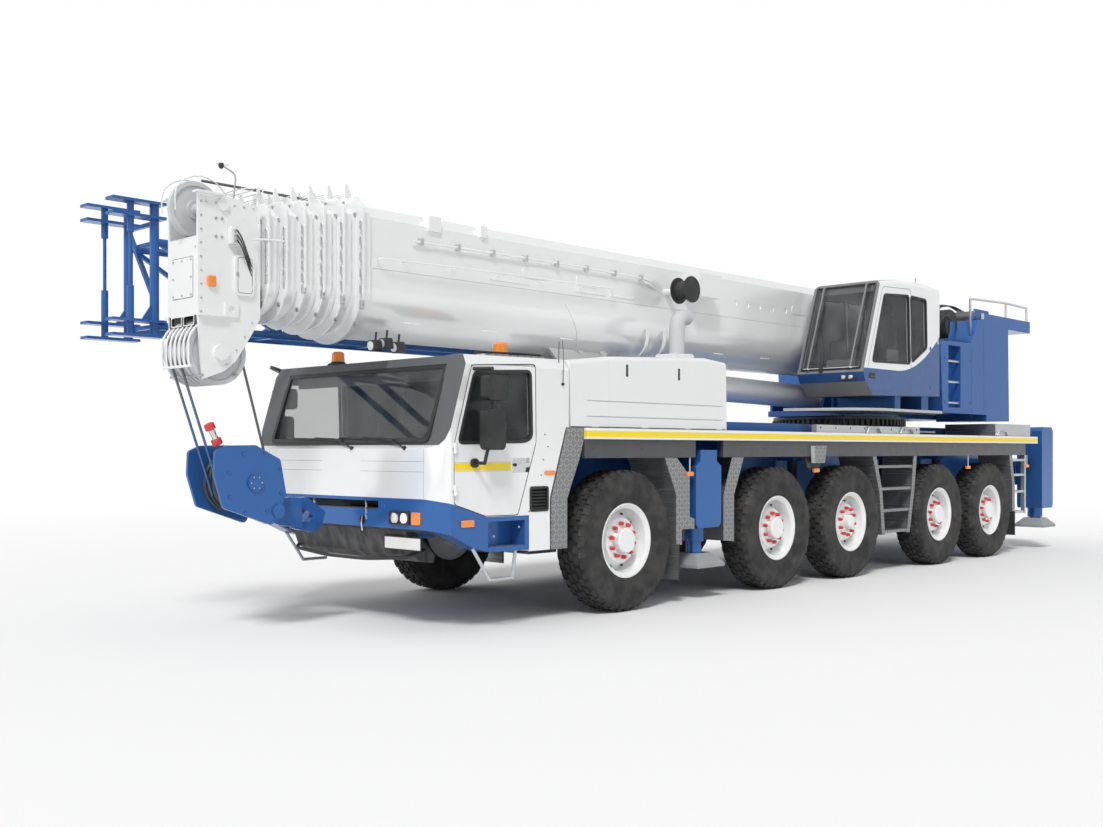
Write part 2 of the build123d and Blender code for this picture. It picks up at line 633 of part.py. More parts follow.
HINGE_X = 2243.0
HINGE_Y = SIDE_Y + 15.0
HINGE_RADIUS = 14.0
HINGE_HEIGHTS = (1200.0, 1560.0)
HINGE_KNUCKLE = 45.0
LEAF_LENGTH = 34.0


def hinge(side, z_low, door_side):
    """One half of a door hinge: its knuckle and the leaf on the door or on the cab."""
    x, y = ahead(HINGE_X), side * HINGE_Y
    bar((x, y, z_low), (x, y, z_low + HINGE_KNUCKLE), HINGE_RADIUS)
    leaf = (x - LEAF_LENGTH, x) if door_side else (x, x + LEAF_LENGTH)
    block(leaf, sided(SIDE_Y, HINGE_Y, side), (z_low, z_low + HINGE_KNUCKLE))


with BuildPart() as cab_inside:
    side_plate(outline(CAB_INSIDE), -SIDE_Y, SIDE_Y)
    cab_cover(CAB_WALL, Mode.INTERSECT)

with BuildPart() as cab_shell:
    side_plate(outline(CAB_SIDE), -SIDE_Y, SIDE_Y)
    cab_cover(0, Mode.INTERSECT)
    add(cab_inside.part, mode=Mode.SUBTRACT)
    block(
        (ahead(FLOOR_CUT[0]), ahead(FLOOR_CUT[1])), (-FRAME_HALF - FIT * 20, FRAME_HALF + FIT * 20),
        (BELOW_CAB, FRAME_BOTTOM + 20), Mode.SUBTRACT,
    )

with BuildPart() as carrier_cab:
    add(cab_shell.part)
    with BuildSketch(Plane.XZ.offset(-SIDE_Y - CAB_WALL)) as door_hole:
        with BuildLine():
            Polyline(*outline(DOOR_SIDE), close=True)
        make_face()
        offset(amount=DOOR_GAP)
    extrude(door_hole.sketch, amount=2 * (SIDE_Y + CAB_WALL), mode=Mode.SUBTRACT)
    (x_low, x_high), (z_low, z_high), depth = GRILLE
    louvre_pitch = (z_high - z_low - 2 * LOUVRE_THICK) / LOUVRE_COUNT
    (tray_rear, tray_front), tray_y, tray_height = ROOF_TRAY
    for side in (LEFT, RIGHT):
        for z in HINGE_HEIGHTS:
            hinge(side, z + HINGE_KNUCKLE + SEAT_GAP, False)
        # air intake behind sloping louvres
        block(
            (ahead(x_low), ahead(x_high)), sided(SIDE_Y - depth, SIDE_Y + OVERCUT, side), (z_low, z_high),
            Mode.SUBTRACT
        )
        for blade in range(LOUVRE_COUNT):
            z = z_low + LOUVRE_THICK + blade * louvre_pitch
            y_back, y_front = side * (SIDE_Y - depth - FIT), side * (SIDE_Y - LOUVRE_SETBACK)
            front_plate(
                [(y_back, z + louvre_pitch - LOUVRE_THICK), (y_back, z + louvre_pitch),
                 (y_front, z + LOUVRE_THICK), (y_front, z)],
                ahead(x_low) - FIT, ahead(x_high) + FIT,
            )
        # tray on the roof, beside the boom
        side_plate(
            outline([(tray_front, roof_z(tray_front) - 5), (tray_front, roof_z(tray_front) + tray_height),
                     (tray_rear, roof_z(tray_rear) + tray_height), (tray_rear, roof_z(tray_rear) - 5)]),
            *sided(*tray_y, side),
        )
    # windscreen
    block(
        (ahead(SCREEN_CUT[0]), ahead(SCREEN_CUT[1])), (-SCREEN_HALF, SCREEN_HALF), (SCREEN_LOW, SCREEN_HIGH),
        Mode.SUBTRACT,
    )
save(carrier_cab, "carrier_cab")

screen_lean = (SCREEN_FOOT[0] - CAB_ROOF_FRONT[0]) / (CAB_ROOF_FRONT[1] - SCREEN_FOOT[1])
screen_low_x = SCREEN_FOOT[0] - screen_lean * (SCREEN_LOW - SCREEN_FOOT[1]) - SCREEN_INSET
screen_high_x = SCREEN_FOOT[0] - screen_lean * (SCREEN_HIGH - SCREEN_FOOT[1]) - SCREEN_INSET
with BuildPart() as cab_glass:
    side_plate(
        outline([
            (screen_low_x, SCREEN_LOW), (screen_high_x, SCREEN_HIGH), (screen_high_x - GLASS, SCREEN_HIGH),
            (screen_low_x - GLASS, SCREEN_LOW),
        ]),
        -SCREEN_HALF, SCREEN_HALF,
    )
save(cab_glass, "cab_glass")

# twin mirrors on each door: X and Z of the middle, width, height
MIRRORS = ((1932.0, 1764.0, 212.0, 352.0), (1908.0, 2122.0, 247.0, 215.0))
MIRROR_Y = 1590.0
MIRROR_INNER = 1550.0
MIRROR_THICK = 100.0
MIRROR_CORNER = 45.0
MIRROR_TUBE = 15.0
MIRROR_FOOT = (2020.0, 1476.0, 40.0)  # X, Z, radius
MIRROR_HEAD = (2024.0, 2290.0)
KERB_MIRROR = (1965.0, -1610.0, 2400.0, 110.0)  # X, Y, Z and radius, right side only
KERB_TILT = 25.0
for name, side in (("left", LEFT), ("right", RIGHT)):
    with BuildPart() as door:
        add(cab_shell.part)
        side_plate(outline(DOOR_SIDE), *sided(SIDE_Y - CAB_WALL, SIDE_Y + OVERCUT, side), mode=Mode.INTERSECT)
        with BuildSketch(Plane.XZ.offset(-SIDE_Y - OVERCUT)) as pane:
            with BuildLine():
                Polyline(*outline(DOOR_WINDOW), close=True)
            make_face()
            fillet(pane.vertices(), WINDOW_CORNER)
        extrude(pane.sketch, amount=2 * (SIDE_Y + OVERCUT), mode=Mode.SUBTRACT)
        (x_low, x_high), z, depth = HANDLE_RECESS
        block((ahead(x_low), ahead(x_high)), sided(SIDE_Y - depth, SIDE_Y + OVERCUT, side), z, Mode.SUBTRACT)
        block(
            (ahead(x_low) - FIT, ahead(HANDLE_BAR[0])), sided(SIDE_Y - depth + OVERCUT, SIDE_Y - 2, side),
            HANDLE_BAR[1]
        )
        for z in HINGE_HEIGHTS:
            hinge(side, z, True)
        foot_x, foot_z, foot_radius = MIRROR_FOOT
        bar(
            (ahead(foot_x), side * (SIDE_Y - 2), foot_z), (ahead(foot_x), side * (SIDE_Y + 30), foot_z),
            foot_radius
        )
        middle_x = MIRRORS[0][0]
        tube_run(
            [(ahead(foot_x), side * SIDE_Y, foot_z), (ahead(foot_x), side * MIRROR_Y, foot_z),
             (ahead(middle_x), side * MIRROR_Y, MIRRORS[0][1]), (
                 ahead(middle_x), side * MIRROR_Y, MIRROR_HEAD[1]
             ),
             (ahead(MIRROR_HEAD[0]), side * (SIDE_Y - 4), MIRROR_HEAD[1])], MIRROR_TUBE,
        )
        for x, z, width, height in MIRRORS:
            rounded_pad(ahead(x), z, MIRROR_INNER, width, height, MIRROR_CORNER, MIRROR_THICK, side)
        if side == RIGHT:
            x, y, z, radius = KERB_MIRROR
            bar((ahead(middle_x), side * MIRROR_Y, MIRROR_HEAD[1]), (ahead(x), y, z), MIRROR_TUBE)
            tilt = Vector(0.35, -0.2, -1)
            bar(
                tuple(Vector(ahead(x), y, z) + tilt * 5),
                tuple(Vector(ahead(x), y, z) - tilt * KERB_TILT), radius
            )
    save(door, f"door_{name}")

# =====================================================================
# Bumper with its step recesses, and the lamps
# =====================================================================
BUMPER_SIDE = (
    (CAB_FRONT, 1165), (2315, 1143), (1867, 1005), (1345, 1000), (1345, 690), (1836, 695), (2020, 740),
    (CAB_FRONT, 900),
)
BUMPER_WALL = 60.0
BUMPER_ENDS = 260.0  # solid length at each end of the bumper
BUMPER_HOLLOW = (1300.0, (600.0, 1300.0))  # X of its rear, Z
FOOT_STEP = ((1400.0, 1850.0), 180.0, (735.0, 960.0))  # X, depth, Z
STIRRUP = ((2010, 740), (1806, 450), (1525, 450), (1490, 700))
STIRRUP_Y = SIDE_Y - 30.0
STIRRUP_RADIUS = 16.0
CENTRE_STEP = (560.0, (1060.0, 1135.0), 190.0)  # half width, Z of the slot, depth of the tread behind it
UNDER_GUARD = (
    (2315, 940), (2300, 860), (2230, 660), (2120, 590), (1990, 575), (1970, 640), (2080, 760), (2290, 940),
)
UNDER_GUARD_HALF = 880.0
TOW_SOCKET = (330.0, 960.0, 42.0)  # Y, Z and radius
with BuildPart() as stirrups:
    for side in (LEFT, RIGHT):
        tube_run([(ahead(x), side * STIRRUP_Y, z) for x, z in STIRRUP], STIRRUP_RADIUS)
    with BuildSketch(Plane.XZ.offset(-SIDE_Y)) as bumper_side:
        with BuildLine():
            Polyline(*outline(BUMPER_SIDE), close=True)
        make_face()
        offset(amount=SEAT_GAP)
    extrude(bumper_side.sketch, amount=2 * SIDE_Y, mode=Mode.SUBTRACT)

with BuildPart() as bumper:
    side_plate(outline(BUMPER_SIDE), -SIDE_Y, SIDE_Y)
    flat_plate(cab_plan(0), BELOW_CAB, ABOVE_CAB, Mode.INTERSECT)
    block(
        (ahead(BUMPER_HOLLOW[0]), ahead(CAB_FRONT) - BUMPER_WALL),
        (BUMPER_ENDS - SIDE_Y, SIDE_Y - BUMPER_ENDS), BUMPER_HOLLOW[1],
        Mode.SUBTRACT,
    )
    step_half, step_z, step_depth = CENTRE_STEP
    block(
        (ahead(CAB_FRONT) - BUMPER_WALL - FIT, ahead(CAB_FRONT) + OVERCUT), (-step_half, step_half),
        step_z, Mode.SUBTRACT
    )
    block(
        (ahead(CAB_FRONT) - step_depth, ahead(CAB_FRONT) - 20), (-step_half, step_half),
        (step_z[0] - 25, step_z[0])
    )
    side_plate(outline(UNDER_GUARD), -UNDER_GUARD_HALF, UNDER_GUARD_HALF)
    for side in (LEFT, RIGHT):
        # foot step: a window between two plates, in an end that is bolted to the middle
        (x_low, x_high), depth, z = FOOT_STEP
        block((ahead(x_low), ahead(x_high)), sided(SIDE_Y - depth, SIDE_Y + OVERCUT, side), z, Mode.SUBTRACT)
        for x in (x_low, x_high):
            block(
                (ahead(x), ahead(x) + SEAT_GAP), sided(SIDE_Y - depth, SIDE_Y + OVERCUT, side),
                BUMPER_HOLLOW[1], Mode.SUBTRACT,
            )
        block(
            (ahead(BUMPER_HOLLOW[0]), ahead(CAB_FRONT) + OVERCUT),
            sided(SIDE_Y - depth - SEAT_GAP, SIDE_Y - depth, side), BUMPER_HOLLOW[1], Mode.SUBTRACT,
        )
        y, z, radius = TOW_SOCKET
        bar(
            (ahead(CAB_FRONT) - BUMPER_WALL / 2, side * y, z), (ahead(CAB_FRONT) + OVERCUT, side * y, z),
            radius, Mode.SUBTRACT
        )
    add(stirrups.part)
save(bumper, "bumper")

# X, Y and radius of each flashing beacon on the roof
BEACONS = ((1180, 900, 85), (1955, -600, 75))
BEACON_HEIGHT = 140.0
BEACON_BASE = 28.0
# lamps on the front: Y, Z, width, height; on the sides: X, Z, width, height; at the rear: Y, Z, width, height
FRONT_LAMPS = ((870, 995, 270, 110), (1090, 995, 120, 110))
SIDE_LAMPS = ((2095, 955, 150, 60), (1080, 1379, 133, 42))
REAR_LAMPS = ((510, 1240, 180, 120),)
LAMP_DEPTH = 12.0
LAMP_CORNER = 16.0
rear_face = ahead(CROSS_MEMBER[0][0])
with BuildPart() as lamps:
    for side in (LEFT, RIGHT):
        for face, depth, table in (
            (ahead(CAB_FRONT), LAMP_DEPTH, FRONT_LAMPS), (rear_face, -LAMP_DEPTH, REAR_LAMPS)
        ):
            for y, z, width, height in table:
                with BuildSketch(Plane.YZ.offset(face + math.copysign(SEAT_GAP, depth))) as lens:
                    with Locations((side * y, z)):
                        RectangleRounded(width, height, LAMP_CORNER)
                extrude(lens.sketch, amount=depth)
        for x, z, width, height in SIDE_LAMPS:
            rounded_pad(ahead(x), z, SIDE_Y + SEAT_GAP, width, height, LAMP_CORNER, LAMP_DEPTH, side)
    for x, y, radius in BEACONS:
        on_tray = ROOF_TRAY[1][0] < y < ROOF_TRAY[1][1] and ROOF_TRAY[0][0] < x < ROOF_TRAY[0][1]
        seat = roof_z(x - radius) + SEAT_GAP + (ROOF_TRAY[2] if on_tray else 0)
        with BuildSketch(Plane(origin=(ahead(x), y, seat), x_dir=(1, 0, 0), z_dir=(0, -1, 0))) as dome:
            with BuildLine():
                Polyline(
                    (0, 0), (radius, 0), (radius, BEACON_BASE), (radius * 0.86, BEACON_BASE + 8),
                    (radius * 0.8, BEACON_HEIGHT - 22), (radius * 0.6, BEACON_HEIGHT - 6),
                    (0, BEACON_HEIGHT), close=True,
                )
            make_face()
        revolve(dome.sketch, axis=Axis((ahead(x), y, seat), (0, 0, 1)))
save(lamps, "lamps")

# =====================================================================
# Cab inside: dash and two seats
# =====================================================================
SEAT_Y = 720.0
SEAT_BASE = ((1150.0, 1600.0), 180.0, (FLOOR_REAR[1], 1330.0))  # X, half width, Z
SEAT_CUSHION = ((1110.0, 1640.0), 260.0, (1330.0, 1470.0))
SEAT_BACK = ((1110, 1400), (1260, 1400), (1180, 2120), (1080, 2120))
SEAT_BACK_HALF = 250.0
DASH_REAR = 2000.0
DASH_FRONT = 2290.0
DASH_HALF = 1250.0
DASH_TOP = 1570.0


def toe_z(x):
    """Height of the cab's sloping toe board."""
    return line_z(CAB_INSIDE, 5, 6, x)


with BuildPart() as cab_interior:
    side_plate(
        outline([
            (DASH_REAR, toe_z(DASH_REAR)), (DASH_REAR, DASH_TOP - 70), (DASH_REAR + 60, DASH_TOP),
            (DASH_FRONT - 50, DASH_TOP), (DASH_FRONT, DASH_TOP - 70), (DASH_FRONT, toe_z(DASH_FRONT)),
        ]),
        -DASH_HALF, DASH_HALF,
    )
    for side in (LEFT, RIGHT):
        middle = side * SEAT_Y
        for (x_low, x_high), half_width, z in (SEAT_BASE, SEAT_CUSHION):
            block((ahead(x_low), ahead(x_high)), (middle - half_width, middle + half_width), z)
        side_plate(outline(SEAT_BACK), middle - SEAT_BACK_HALF, middle + SEAT_BACK_HALF)
save(cab_interior, "cab_interior")

# =====================================================================
# Engine cover with the trough for the luffing cylinder, engine and exhaust
# =====================================================================
COVER_WALL = 30.0
COVER_EDGE = 55.0  # rounding between roof and sides
COVER_EAVES = 2400.0  # edges above this height are the roof's
TROUGH_TOP = 2500.0
ABOVE_COVER, BELOW_COVER = 2700.0, DECK_TOP - 20.0
COVER_SIDE = (
    (790, DECK_TOP), (810, 2430), (200, 2500), (-1330, 2570), (-1680, 2540), (-1690, DECK_TOP),
)
COVER_INSIDE = (
    (760, DECK_TOP - 10), (778, 2400), (200, 2468), (-1325, 2538), (-1650, 2510), (-1660, DECK_TOP - 10),
)
TROUGH_HALF = 430.0
TROUGH_FLOOR = 2140.0
TROUGH_FRONT = 250.0
EXHAUST_X, EXHAUST_Y = -1522.0, 900.0
EXHAUST_RADIUS = 85.0
EXHAUST_WALL = 6.0
EXHAUST_HOLE = 10.0  # gap between the pipe and the cover
EXHAUST_FOOT = 1990.0
EXHAUST_BEND_Z = 2940.0
EXHAUST_BEND = 130.0
EXHAUST_MOUTH = 60.0  # straight length after the bend
SILENCER_HOOD = ((-1300, 2560), (-1300, 2640), (-1640, 2652), (-1672, 2625), (-1672, 2530))
SILENCER_Y = (775.0, 1025.0)
with BuildPart() as engine_cover:
    side_plate(outline(COVER_SIDE), -SIDE_Y, SIDE_Y)
    roof_edges = [
        edge for edge in engine_cover.edges()
        if abs(abs(edge.center().Y) - SIDE_Y) < 1 and edge.center().Z > COVER_EAVES
    ]
    fillet(roof_edges, radius=COVER_EDGE)
    side_plate(outline(COVER_INSIDE), COVER_WALL - SIDE_Y, SIDE_Y - COVER_WALL, Mode.SUBTRACT)
    side_plate(outline(SILENCER_HOOD), *SILENCER_Y)
    block(
        (ahead(COVER_SIDE[-1][0]), ahead(TROUGH_FRONT) + COVER_WALL),
        (-TROUGH_HALF - COVER_WALL, TROUGH_HALF + COVER_WALL), (TROUGH_FLOOR - COVER_WALL, TROUGH_TOP),
    )
    block(
        (ahead(COVER_SIDE[-1][0]) - 10, ahead(TROUGH_FRONT)), (-TROUGH_HALF, TROUGH_HALF),
        (TROUGH_FLOOR, ABOVE_COVER),
        Mode.SUBTRACT,
    )
    bar(
        (ahead(EXHAUST_X), EXHAUST_Y, COVER_EAVES), (ahead(EXHAUST_X), EXHAUST_Y, ABOVE_COVER),
        EXHAUST_RADIUS + EXHAUST_HOLE,
        Mode.SUBTRACT,
    )
    # joints: the front part, the two hoods and the trough's floor come off one by one
    block(
        (ahead(TROUGH_FRONT) - SEAT_GAP, ahead(TROUGH_FRONT)), (-SIDE_Y - OVERCUT, SIDE_Y + OVERCUT),
        (BELOW_COVER, ABOVE_COVER), Mode.SUBTRACT,
    )
    for side in (LEFT, RIGHT):
        block(
            (ahead(COVER_SIDE[-1][0]) - 10, ahead(TROUGH_FRONT)), sided(
                TROUGH_HALF - SEAT_GAP, TROUGH_HALF, side
            ),
            (BELOW_COVER, TROUGH_FLOOR + OVERCUT), Mode.SUBTRACT,
        )
save(engine_cover, "engine_cover")

ENGINE = ((-1400.0, 200.0), 400.0)  # X, half width
SILENCER = ((-1640.0, -1400.0), (-400.0, 1000.0), 2000.0)  # X, Y, top
with BuildPart() as engine:
    block(
        (ahead(ENGINE[0][0]), ahead(ENGINE[0][1])), (-ENGINE[1], ENGINE[1]), (
            DECK_TOP, TROUGH_FLOOR - COVER_WALL
        )
    )
    block((ahead(SILENCER[0][0]), ahead(SILENCER[0][1])), SILENCER[1], (DECK_TOP, SILENCER[2]))
    for radius, mode in ((EXHAUST_RADIUS, Mode.ADD), (EXHAUST_RADIUS - EXHAUST_WALL, Mode.SUBTRACT)):
        bend_x = ahead(EXHAUST_X) - EXHAUST_BEND
        mouth_z = EXHAUST_BEND_Z + EXHAUST_BEND
        if mode == Mode.ADD:
            bar(
                (ahead(EXHAUST_X), EXHAUST_Y, EXHAUST_FOOT),
                (ahead(EXHAUST_X), EXHAUST_Y, EXHAUST_BEND_Z), radius, mode
            )
        with BuildSketch(Plane((ahead(EXHAUST_X), EXHAUST_Y, EXHAUST_BEND_Z))) as pipe:
            Circle(radius)
        revolve(
            pipe.sketch, axis=Axis((bend_x, EXHAUST_Y, EXHAUST_BEND_Z), (0, -1, 0)), revolution_arc=90,
            mode=mode
        )
        bar((bend_x, EXHAUST_Y, mouth_z), (bend_x - EXHAUST_MOUTH, EXHAUST_Y, mouth_z), radius, mode)
save(engine, "engine")

# =====================================================================
# Turntable
# =====================================================================
TOOTH_COUNT = 72
TOOTH_DEPTH = 34.0
TOOTH_TIP = 0.34  # share of the pitch at a tooth's tip, and at its root
TOOTH_ROOT = 0.62
GEAR_Z = (CROWN_TOP, RING_TOP - 45.0)


def gear_outline(tip, root, count):
    """Straight-flanked teeth, four points each."""
    points = []
    for tooth in range(count):
        for radius, turn in (
            (root, -TOOTH_ROOT / 2), (tip, -TOOTH_TIP / 2), (tip, TOOTH_TIP / 2), (root, TOOTH_ROOT / 2)
        ):
            angle = 2 * math.pi * (tooth + turn) / count
            points.append((ahead(SLEW_X) + radius * math.cos(angle), radius * math.sin(angle)))
    return points


with BuildPart() as slew_ring:
    flat_plate(gear_outline(SLEW_RADIUS, SLEW_RADIUS - TOOTH_DEPTH, TOOTH_COUNT), *GEAR_Z)
    with Locations((ahead(SLEW_X), 0, GEAR_Z[1])):
        Cylinder(
            SLEW_RADIUS - TOOTH_DEPTH / 2, RING_TOP - GEAR_Z[1], align=(Align.CENTER, Align.CENTER, Align.MIN)
        )
    with Locations((ahead(SLEW_X), 0, CROWN_TOP)):
        Cylinder(SLEW_RADIUS - RING_WALL + FIT, 2 * RING_TOP, mode=Mode.SUBTRACT)
save(slew_ring, "slew_ring")

TURRET_X = (-9310.0, -5450.0)
TURRET_PLATE = (
    (-5500, TURRET_FLOOR), (-5500, 2450), (-6300, 2560), (-8800, 3230), (-9000, 3290), (-9250, 3260),
    (-9310, 3100),
    (-9310, TURRET_FLOOR),
)
LUFF_EAR = (
    (-5650, TURRET_FLOOR_TOP), (-5760, 2440), (-5850, 2500), (-5950, 2500), (-6040, 2440),
    (-6150, TURRET_FLOOR_TOP),
)
EAR_Y = (195.0, 245.0)
PIVOT_BOSS = 150.0
REAR_WALL = (60.0, 2440.0)  # thickness, top
with BuildPart() as turret_frame:
    block(
        (ahead(TURRET_X[0]), ahead(TURRET_X[1])), (-PLATE_OUTER, PLATE_OUTER),
        (TURRET_FLOOR, TURRET_FLOOR_TOP)
    )
    with Locations((ahead(SLEW_X), 0, TURRET_FLOOR)):
        Cylinder(SLEW_RADIUS - 60, FLANGE_THICK, align=(Align.CENTER, Align.CENTER, Align.MIN))
    for side in (LEFT, RIGHT):
        side_plate(outline(TURRET_PLATE), *sided(PLATE_INNER, PLATE_OUTER, side))
        bar(
            (ahead(BOOM_PIVOT_X), side * PLATE_INNER, BOOM_PIVOT_Z),
            (ahead(BOOM_PIVOT_X), side * (PLATE_OUTER + 10), BOOM_PIVOT_Z), PIVOT_BOSS,
        )
        bar(
            (ahead(BOOM_PIVOT_X), side * (PLATE_INNER - OVERCUT), BOOM_PIVOT_Z),
            (ahead(BOOM_PIVOT_X), side * (PLATE_OUTER + 15), BOOM_PIVOT_Z), BOOM_PIN_RADIUS + FIT,
            Mode.SUBTRACT,
        )
        # ears for the luffing cylinder's foot
        side_plate(outline(LUFF_EAR), *sided(*EAR_Y, side))
    cross_pin(ahead(LUFF_BASE[0]), LUFF_BASE[1], EAR_Y[1], LUFF_FOOT_PIN)
    block(
        (ahead(TURRET_X[0]), ahead(TURRET_X[0]) + REAR_WALL[0]), (-PLATE_INNER, PLATE_INNER),
        (TURRET_FLOOR_TOP, REAR_WALL[1]),
    )
save(turret_frame, "turret_frame")

# ---- crane cab ----
CRANE_CAB_Y = (530.0, 1490.0)
CRANE_CAB_SIDE = (
    (-4560, 2580), (-4640, 2800), (-5000, 3777), (-5500, 3835), (-6250, 3850), (-6653, 3820), (-6655, 2330),
    (-4800, 2288), (-4620, 2460),
)
CRANE_CAB_WALL = 45.0
CRANE_CAB_INSIDE = (
    (-4615, 2600), (-4690, 2820), (-5035, 3733), (-5500, 3788), (-6250, 3803), (-6605, 3775), (-6607, 2378),
    (-4820, 2336), (-4672, 2480),
)
SCREEN_FRAME = 70.0
CRANE_SCREEN = (2650.0, 3720.0)
CRANE_SCREEN_CUT = (-5000.0, -4500.0)
CRANE_PANE = ((-4600, 2660), (-4652, 2800), (-4980, 3710), (-4988, 3710), (-4660, 2800), (-4608, 2660))
CRANE_WINDOWS = (
    ((-4790, 2720), (-5095, 3600), (-5760, 3640), (-5800, 2740)),
    ((-5850, 2760), (-5810, 3640), (-6256, 3630), (-6280, 2980)),
)
CRANE_PANE_INSET = 18.0
ROOF_ROUNDING = 70.0
CRANE_CAB_EAVES = 3780.0  # edges above this height are the roof's
GUARD_RAIL_Y = (700.0, 1320.0)
GUARD_RAIL_RADIUS = 13.0
GUARD_RAIL_REACH = 45.0
WALKWAY = ((-4250, PLATE_OUTER), (-4650, 1300), (-5000, 1490), (-6740, 1490), (-6740, PLATE_OUTER))
WALKWAY_Z = (2095.0, 2130.0)
CAB_BRACKETS = ((-6500.0, -6300.0, 2335.0), (-5700.0, -5550.0, 2315.0))  # X from, X to, top
BRACKET_END = 1400.0


def front_x(z):
    """X of the crane cab's raked front at a height."""
    (x_low, z_low), (x_high, z_high) = CRANE_CAB_SIDE[1], CRANE_CAB_SIDE[2]
    return x_low + (z - z_low) * (x_high - x_low) / (z_high - z_low)


with BuildPart() as crane_cab:
    side_plate(outline(CRANE_CAB_SIDE), *CRANE_CAB_Y)
    top_edges = [
        edge for edge in crane_cab.edges()
        if edge.center().Z > CRANE_CAB_EAVES and min(abs(edge.center().Y - y) for y in CRANE_CAB_Y) < 1
    ]
    fillet(top_edges, radius=ROOF_ROUNDING)
    side_plate(
        outline(CRANE_CAB_INSIDE), CRANE_CAB_Y[0] + CRANE_CAB_WALL, CRANE_CAB_Y[1] - CRANE_CAB_WALL,
        Mode.SUBTRACT,
    )
    block(
        (ahead(CRANE_SCREEN_CUT[0]), ahead(CRANE_SCREEN_CUT[1])),
        (CRANE_CAB_Y[0] + SCREEN_FRAME, CRANE_CAB_Y[1] - SCREEN_FRAME),
        CRANE_SCREEN,
        Mode.SUBTRACT,
    )
    for window in CRANE_WINDOWS:
        side_plate(outline(window), CRANE_CAB_Y[0] - OVERCUT, CRANE_CAB_Y[1] + OVERCUT, Mode.SUBTRACT)
    # guard rails in front of the screen
    low, high = CRANE_SCREEN[0] - 25, CRANE_SCREEN[1] + 25
    for y in GUARD_RAIL_Y:
        tube_run(
            [(ahead(x), y, z) for x, z in (
                (front_x(low) - 20, low), (front_x(low) + GUARD_RAIL_REACH, low + 20),
                (front_x(high) + GUARD_RAIL_REACH, high - 20), (front_x(high) - 20, high),
            )], GUARD_RAIL_RADIUS,
        )
    # walkway plate and brackets that carry the cab on the turntable
    flat_plate(outline(WALKWAY), *WALKWAY_Z)
    for x_low, x_high, top in CAB_BRACKETS:
        block((ahead(x_low), ahead(x_high)), (PLATE_OUTER, BRACKET_END), (WALKWAY_Z[1], top))
save(crane_cab, "crane_cab")

with BuildPart() as crane_cab_glass:
    side_plate(
        outline(CRANE_PANE),
        CRANE_CAB_Y[0] + SCREEN_FRAME, CRANE_CAB_Y[1] - SCREEN_FRAME,
    )
    for window in CRANE_WINDOWS:
        for y in (CRANE_CAB_Y[0] + CRANE_PANE_INSET, CRANE_CAB_Y[1] - CRANE_PANE_INSET - GLASS):
            side_plate(outline(window), y, y + GLASS)
save(crane_cab_glass, "crane_cab_glass")

CRANE_SEAT_Y = (770.0, 1250.0)
CRANE_SEAT_BACK = ((-5950, 2760), (-5830, 2760), (-5950, 3400), (-6050, 3400))
CRANE_SEAT_CUSHION = ((-5950.0, -5450.0), (760.0, 1260.0), (2700.0, 2830.0))
CRANE_SEAT_FOOT = ((-5900.0, -5500.0), (830.0, 1190.0))
CONSOLE = ((-4950.0, -4830.0), (800.0, 1220.0), 2760.0)
ARMRESTS = ((-5800.0, -5480.0), 110.0, (2860.0, 2930.0))  # X, width, Z


def crane_floor_z(x):
    """Height of the crane cab's sloping floor."""
    return line_z(CRANE_CAB_INSIDE, 6, 7, x)


with BuildPart() as crane_cab_seat:
    (x_low, x_high), y = CRANE_SEAT_FOOT
    block((ahead(x_low), ahead(x_high)), y, (crane_floor_z(x_low) + SEAT_GAP, CRANE_SEAT_CUSHION[2][0]))
    (x_low, x_high), y, z = CRANE_SEAT_CUSHION
    block((ahead(x_low), ahead(x_high)), y, z)
    side_plate(outline(CRANE_SEAT_BACK), *CRANE_SEAT_Y)
    for y in (CRANE_SEAT_CUSHION[1][0] - 60, CRANE_SEAT_CUSHION[1][1] + 60 - ARMRESTS[1]):
        (x_low, x_high), width, z = ARMRESTS
        block((ahead(x_low), ahead(x_high)), (y, y + width), (CRANE_SEAT_CUSHION[2][0], z[1]))
    (x_low, x_high), y, top = CONSOLE
    block((ahead(x_low), ahead(x_high)), y, (crane_floor_z(x_low) + SEAT_GAP, top))
save(crane_cab_seat, "crane_cab_seat")

# ---- tail housing, in two halves beside the boom's foot ----
TAIL_SIDE = (
    (-6964, 3143), (-7931, 3155), (-8208, 3522), (-8384, 3551), (-9266, 3560), (-9307, 2032), (-8493, 2025),
    (-8492, 2117), (-7047, 2121),
)
TAIL_Y = (545.0, 1350.0)
TAIL_SPACER = ((-9300.0, -6980.0), (2200.0, 2400.0))  # X, Z of the beam between plate and housing
PLATFORM_ARM = ((-9200, 3456), (-10109, 3456), (-10109, 3575), (-9200, 3560))
PLATFORM_EDGE = ((-10109.0, -8400.0), 40.0, 3638.0)  # X, thickness and top of the upstand along the outside
REAR_BEAM = ((-10109.0, -10030.0), (3456.0, 3575.0))
LADDER_BAY = ((-7612.0, -7220.0), (2200.0, 3090.0), 140.0)  # X, Z, depth, left side only
LADDER_RUNGS = (2270.0, 2570.0, 2870.0)
RAIL_RADIUS = 18.0
RAIL_Y = 1300.0
RAIL_POSTS = ((-8040, 3290, 3830), (-9300, 3540, 3875), (-10090, 3560, 3862))  # X, foot, top
DRUM = (-7740.0, 3450.0, 200.0, (850.0, 1150.0))  # hose drum: X, Z, radius, Y
DRUM_BRACKET = ((-7860, 3150), (-7800, 3480), (-7680, 3480), (-7620, 3147))
BRACKET_THICK = 20.0
AUX_WINCH = ((-9050.0, -8450.0), (640.0, 1160.0), 3735.0)  # X, Y, top of the cheeks
AUX_DRUM = (3640.0, 78.0)  # Z, radius
CHEEK_THICK = 24.0


def tail_top(x):
    """Height of the tail housing's roof."""
    return line_z(TAIL_SIDE, 3, 4, x)


